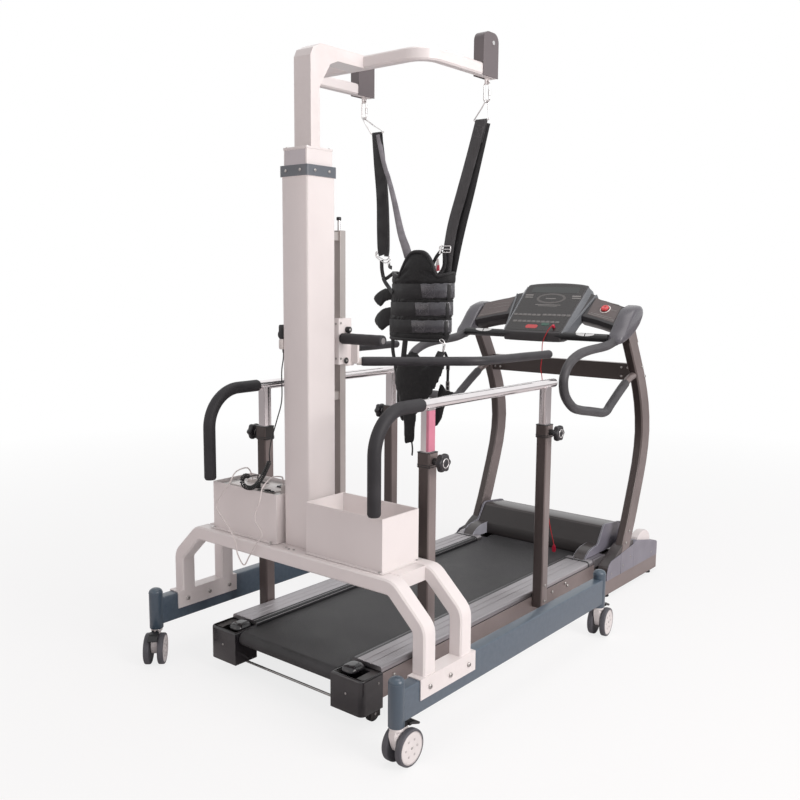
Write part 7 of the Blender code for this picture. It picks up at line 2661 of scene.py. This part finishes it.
# Wing details: plain pale printed lines on both wings. The stop switch's white ring is let into the
# right one, with its red mushroom button inside.
wing_forms = []
for x, low, slant, wide, thick in (
    (0.345, 0.243, -0.27, 0.075, 0.0028),
    (0.362, 0.196, -0.27, 0.040, 0.0028),
    (0.318, 0.146, -0.27, 0.150, 0.0028),
    (0.318, 0.156, -0.27, 0.130, 0.0028),
    (-0.318, 0.146, 0.27, 0.150, 0.0022),
    (-0.300, 0.196, 0.27, 0.110, 0.0022),
    (-0.300, 0.222, 0.27, 0.090, 0.0022),
):
    corners = [(x - wide / 2, low - slant * wide / 2), (x + wide / 2, low + slant * wide / 2)]
    corners += [(a, b + thick) for a, b in reversed(corners)]
    wing_forms.append((lofted([
        [on_face(a, b, out) for a, b in corners]
        for out in (-0.0210, -0.0198)
    ]), lit_print))
fitted("wing_lines", "treadmill", wing_forms)
STOP = Vector((0.319, 0.803, 1.417))


def turned_off_face(centre, profile, count=48):
    """A round body whose axis stands square to the console's face."""
    return lofted([
        [centre + Vector((a, 0, 0)) + UP_FACE * b + OFF_FACE * out for a, b in round_outline(radius, count)]
        for out, radius in profile
    ])


stop_ring = turned_off_face(STOP, [
    (-0.012, 0.0275), (0.0020, 0.0275), (0.0032, 0.0262), (0.0032, 0.0228), (0.0020, 0.0215),
    (-0.012, 0.0215),
])
fitted("stop_switch_ring", "treadmill", [(stop_ring, white_abs)], angle=50)
red_switch = moulded("red_switch_abs", "d8373c", 0.28, 0.004, 0.04, coat=0.4)
mushroom = [
    (-0.0010, 0.0120), (0.0058, 0.0120), (0.0060, 0.0196), (0.0090, 0.0203), (0.0120, 0.0196),
    (0.0146, 0.0168), (0.0156, 0.0115), (0.0156, 0.0085), (0.0148, 0.0075),
]
fitted(
    "stop_switch_button", "stop_button", [(turned_off_face(STOP, mushroom), red_switch)],
    replaces=["stop_button"], angle=50,
)

# Hand-pulse bar: a black moulded bar between the cheeks, with a split steel contact plate near each end.
pulse_forms = [(lathed("x", (0, 0.658, 1.285), [
    (-0.4125, 0.0185), (-0.4100, 0.0196), (0.4100, 0.0196), (0.4125, 0.0185)
], 40), black_abs)]
for side in (1, -1):
    for low, high in ((0.246, 0.292), (0.298, 0.344)):
        rows = []
        for k in range(9):
            share = k / 8
            x = side * (low + (high - low) * share)
            fat = math.sqrt(max(0.02, 1 - ((abs(x) - 0.295) / 0.0505) ** 2))
            rows.append([
                Vector((x, 0.658 + r * math.cos(turn), 1.285 + r * math.sin(turn)))
                for r, turn in [
                    (0.0203, math.radians(125 + 38 * fat * (j / 5 - 1)))
                    for j in range(11)
                ] + [(0.0190, math.radians(125 + 38 * fat * (1 - j / 5))) for j in range(11)]
            ])
        pulse_forms.append((lofted(rows), chrome))
fitted("hand_pulse_bar", "treadmill", pulse_forms, bevel=0.0003, angle=50)
key_plug = [
    (-0.0030, 0.0100), (0.0005, 0.0104), (0.0010, 0.0084), (0.0120, 0.0080), (0.0150, 0.0066),
    (0.0160, 0.0040),
]
fitted(
    "lanyard_plug",
    "treadmill",
    [(turned_off_face(Vector((0.110, 0.668, 1.3248)), key_plug, 28), red_abs)],
    angle=50,
)

# Handrails: a chromed tube with a rubber-foam grip that turns down at the rear, welded to two square
# chromed legs that slide in the posts. The outer and rear faces of the rear right leg are drawn pink,
# from the post up to the rail, as a thin layer over the chrome.
mirror_tube = bare_metal("bright_chrome_tube", "f6f1f2", 0.10, (1.0, 1.0, 1.0), 0.02, 500.0)
pink_leg_look = moulded("pink_leg_surface", "e08aa2", 0.30, 0.004, 0.05, coat=0.2)
for name, side in SIDES:
    x = side * POST_X
    bar = [Vector((x, y, 1.120)) for y in (-0.812, -0.60, -0.30, 0.0, 0.1195, 0.1222, 0.1230)]
    rail_forms = [(round_tube(bar, [
        0.0190, 0.0190, 0.0190, 0.0190, 0.0190, 0.0182, 0.0160
    ], 40), mirror_tube)]
    grip = divided(rounded_path([
        Vector((x, -0.805, 1.120)), Vector((x, -1.063, 1.120)), Vector((x, -1.063, 0.766))
    ], 0.150), 0.008)
    rail_forms.append((round_tube(grip, soft_ends(grip, 0.0238, 0.005), 40), dark_foam))
    for y in POST_ROWS:
        leg = [
            [Vector((x + a, y + b, z)) for a, b in rounded_rectangle(0.0390, 0.0390, 0.0040, 3)]
            for z in (0.5215, 1.110)
        ]
        rail_forms.append((lofted(leg), mirror_tube))
        foot = [
            [Vector((x + a * s, y + b * s, z)) for a, b in rounded_rectangle(0.0380, 0.0380, 0.0040, 3)]
            for z, s in ((0.5200, 0.96), (0.5212, 1.0), (0.5225, 1.0))
        ]
        rail_forms.append((lofted(foot), black_abs))
        for end in (-1, 1):
            bead = [
                Vector((x + a * 0.0195, y + end * 0.0198, 1.1030 + 0.0004 * math.sin(9 * a)))
                for a in (-1, -0.5, 0, 0.5, 1)
            ]
            rail_forms.append((round_tube(bead, [0.0016] * 5, 10), mirror_tube))
    fitted(
        "handrail_" + name + "_tube", "handrail_" + name, rail_forms,
        replaces=["handrail_" + name], bevel=0.0006, angle=50,
    )
corner = [(math.cos(math.radians(a)), math.sin(math.radians(a))) for a in (-90, -67.5, -45, -22.5, 0)]
pink_strip_plan = [(0.4365, -0.78965)] + [
    (0.44465 + 0.00415 * a, -0.7855 + 0.00415 * b)
    for a, b in corner
] + [(0.4488, -0.7535)]
pink_strip_plan += [(0.4484, -0.7535)] + [
    (0.44465 + 0.00375 * a, -0.7855 + 0.00375 * b)
    for a, b in reversed(corner)
] + [(0.4365, -0.78925)]
pink_strip = extruded("xy", pink_strip_plan, 0.950, 1.0985)
fitted("leg_film", "handrail_right", [(pink_strip, pink_leg_look)])

# Star knobs: black moulded grips on a light neck, screwed through the posts to clamp the legs.
knob_black = moulded("black_nylon_knob", "242226", 0.42, 0.004, 0.08)
KNOB_Z = 0.915
for row, y in zip(("rear", "front"), POST_ROWS):
    for name, side in SIDES:
        knob_forms = []
        rings = []
        for out, size in (
            (0.4850, 0.72), (0.4864, 0.88), (0.4900, 0.97), (0.4970, 1.0), (0.5040, 0.98), (0.5085, 0.92),
            (0.5104, 0.80), (0.5106, 0.50),
        ):
            ring = []
            for i in range(72):
                turn = math.tau * i / 72
                radius = (0.0325 + 0.0032 * math.cos(6 * turn)) * size
                ring.append(Vector((
                    side * out, y + radius * math.cos(turn), KNOB_Z + radius * math.sin(turn)
                )))
            rings.append(ring)
        knob_forms.append((lofted(rings), knob_black))
        knob_forms.append((lathed("x", (0, y, KNOB_Z), [
            (side * a, r)
            for a, r in (
                (0.5090, 0.0185), (0.5118, 0.0185), (0.5125, 0.0176), (0.5125, 0.0146), (0.5112, 0.0136),
                (0.5090, 0.0134),
            )
        ], 40), chrome))
        knob_forms.append((lathed("x", (0, y, KNOB_Z), [
            (side * a, r)
            for a, r in ((0.5090, 0.0132), (0.5120, 0.0126), (0.5136, 0.0100), (0.5140, 0.0050))
        ], 32), knob_black))
        knob_forms.append((lathed("x", (0, y, KNOB_Z), [
            (side * a, r)
            for a, r in ((0.4805, 0.0108), (0.4852, 0.0108))
        ], 32), pale_flange))
        part = "knob_" + row + "_" + name
        fitted("star_" + part, part, knob_forms, replaces=[part], bevel=0.0006, angle=45)
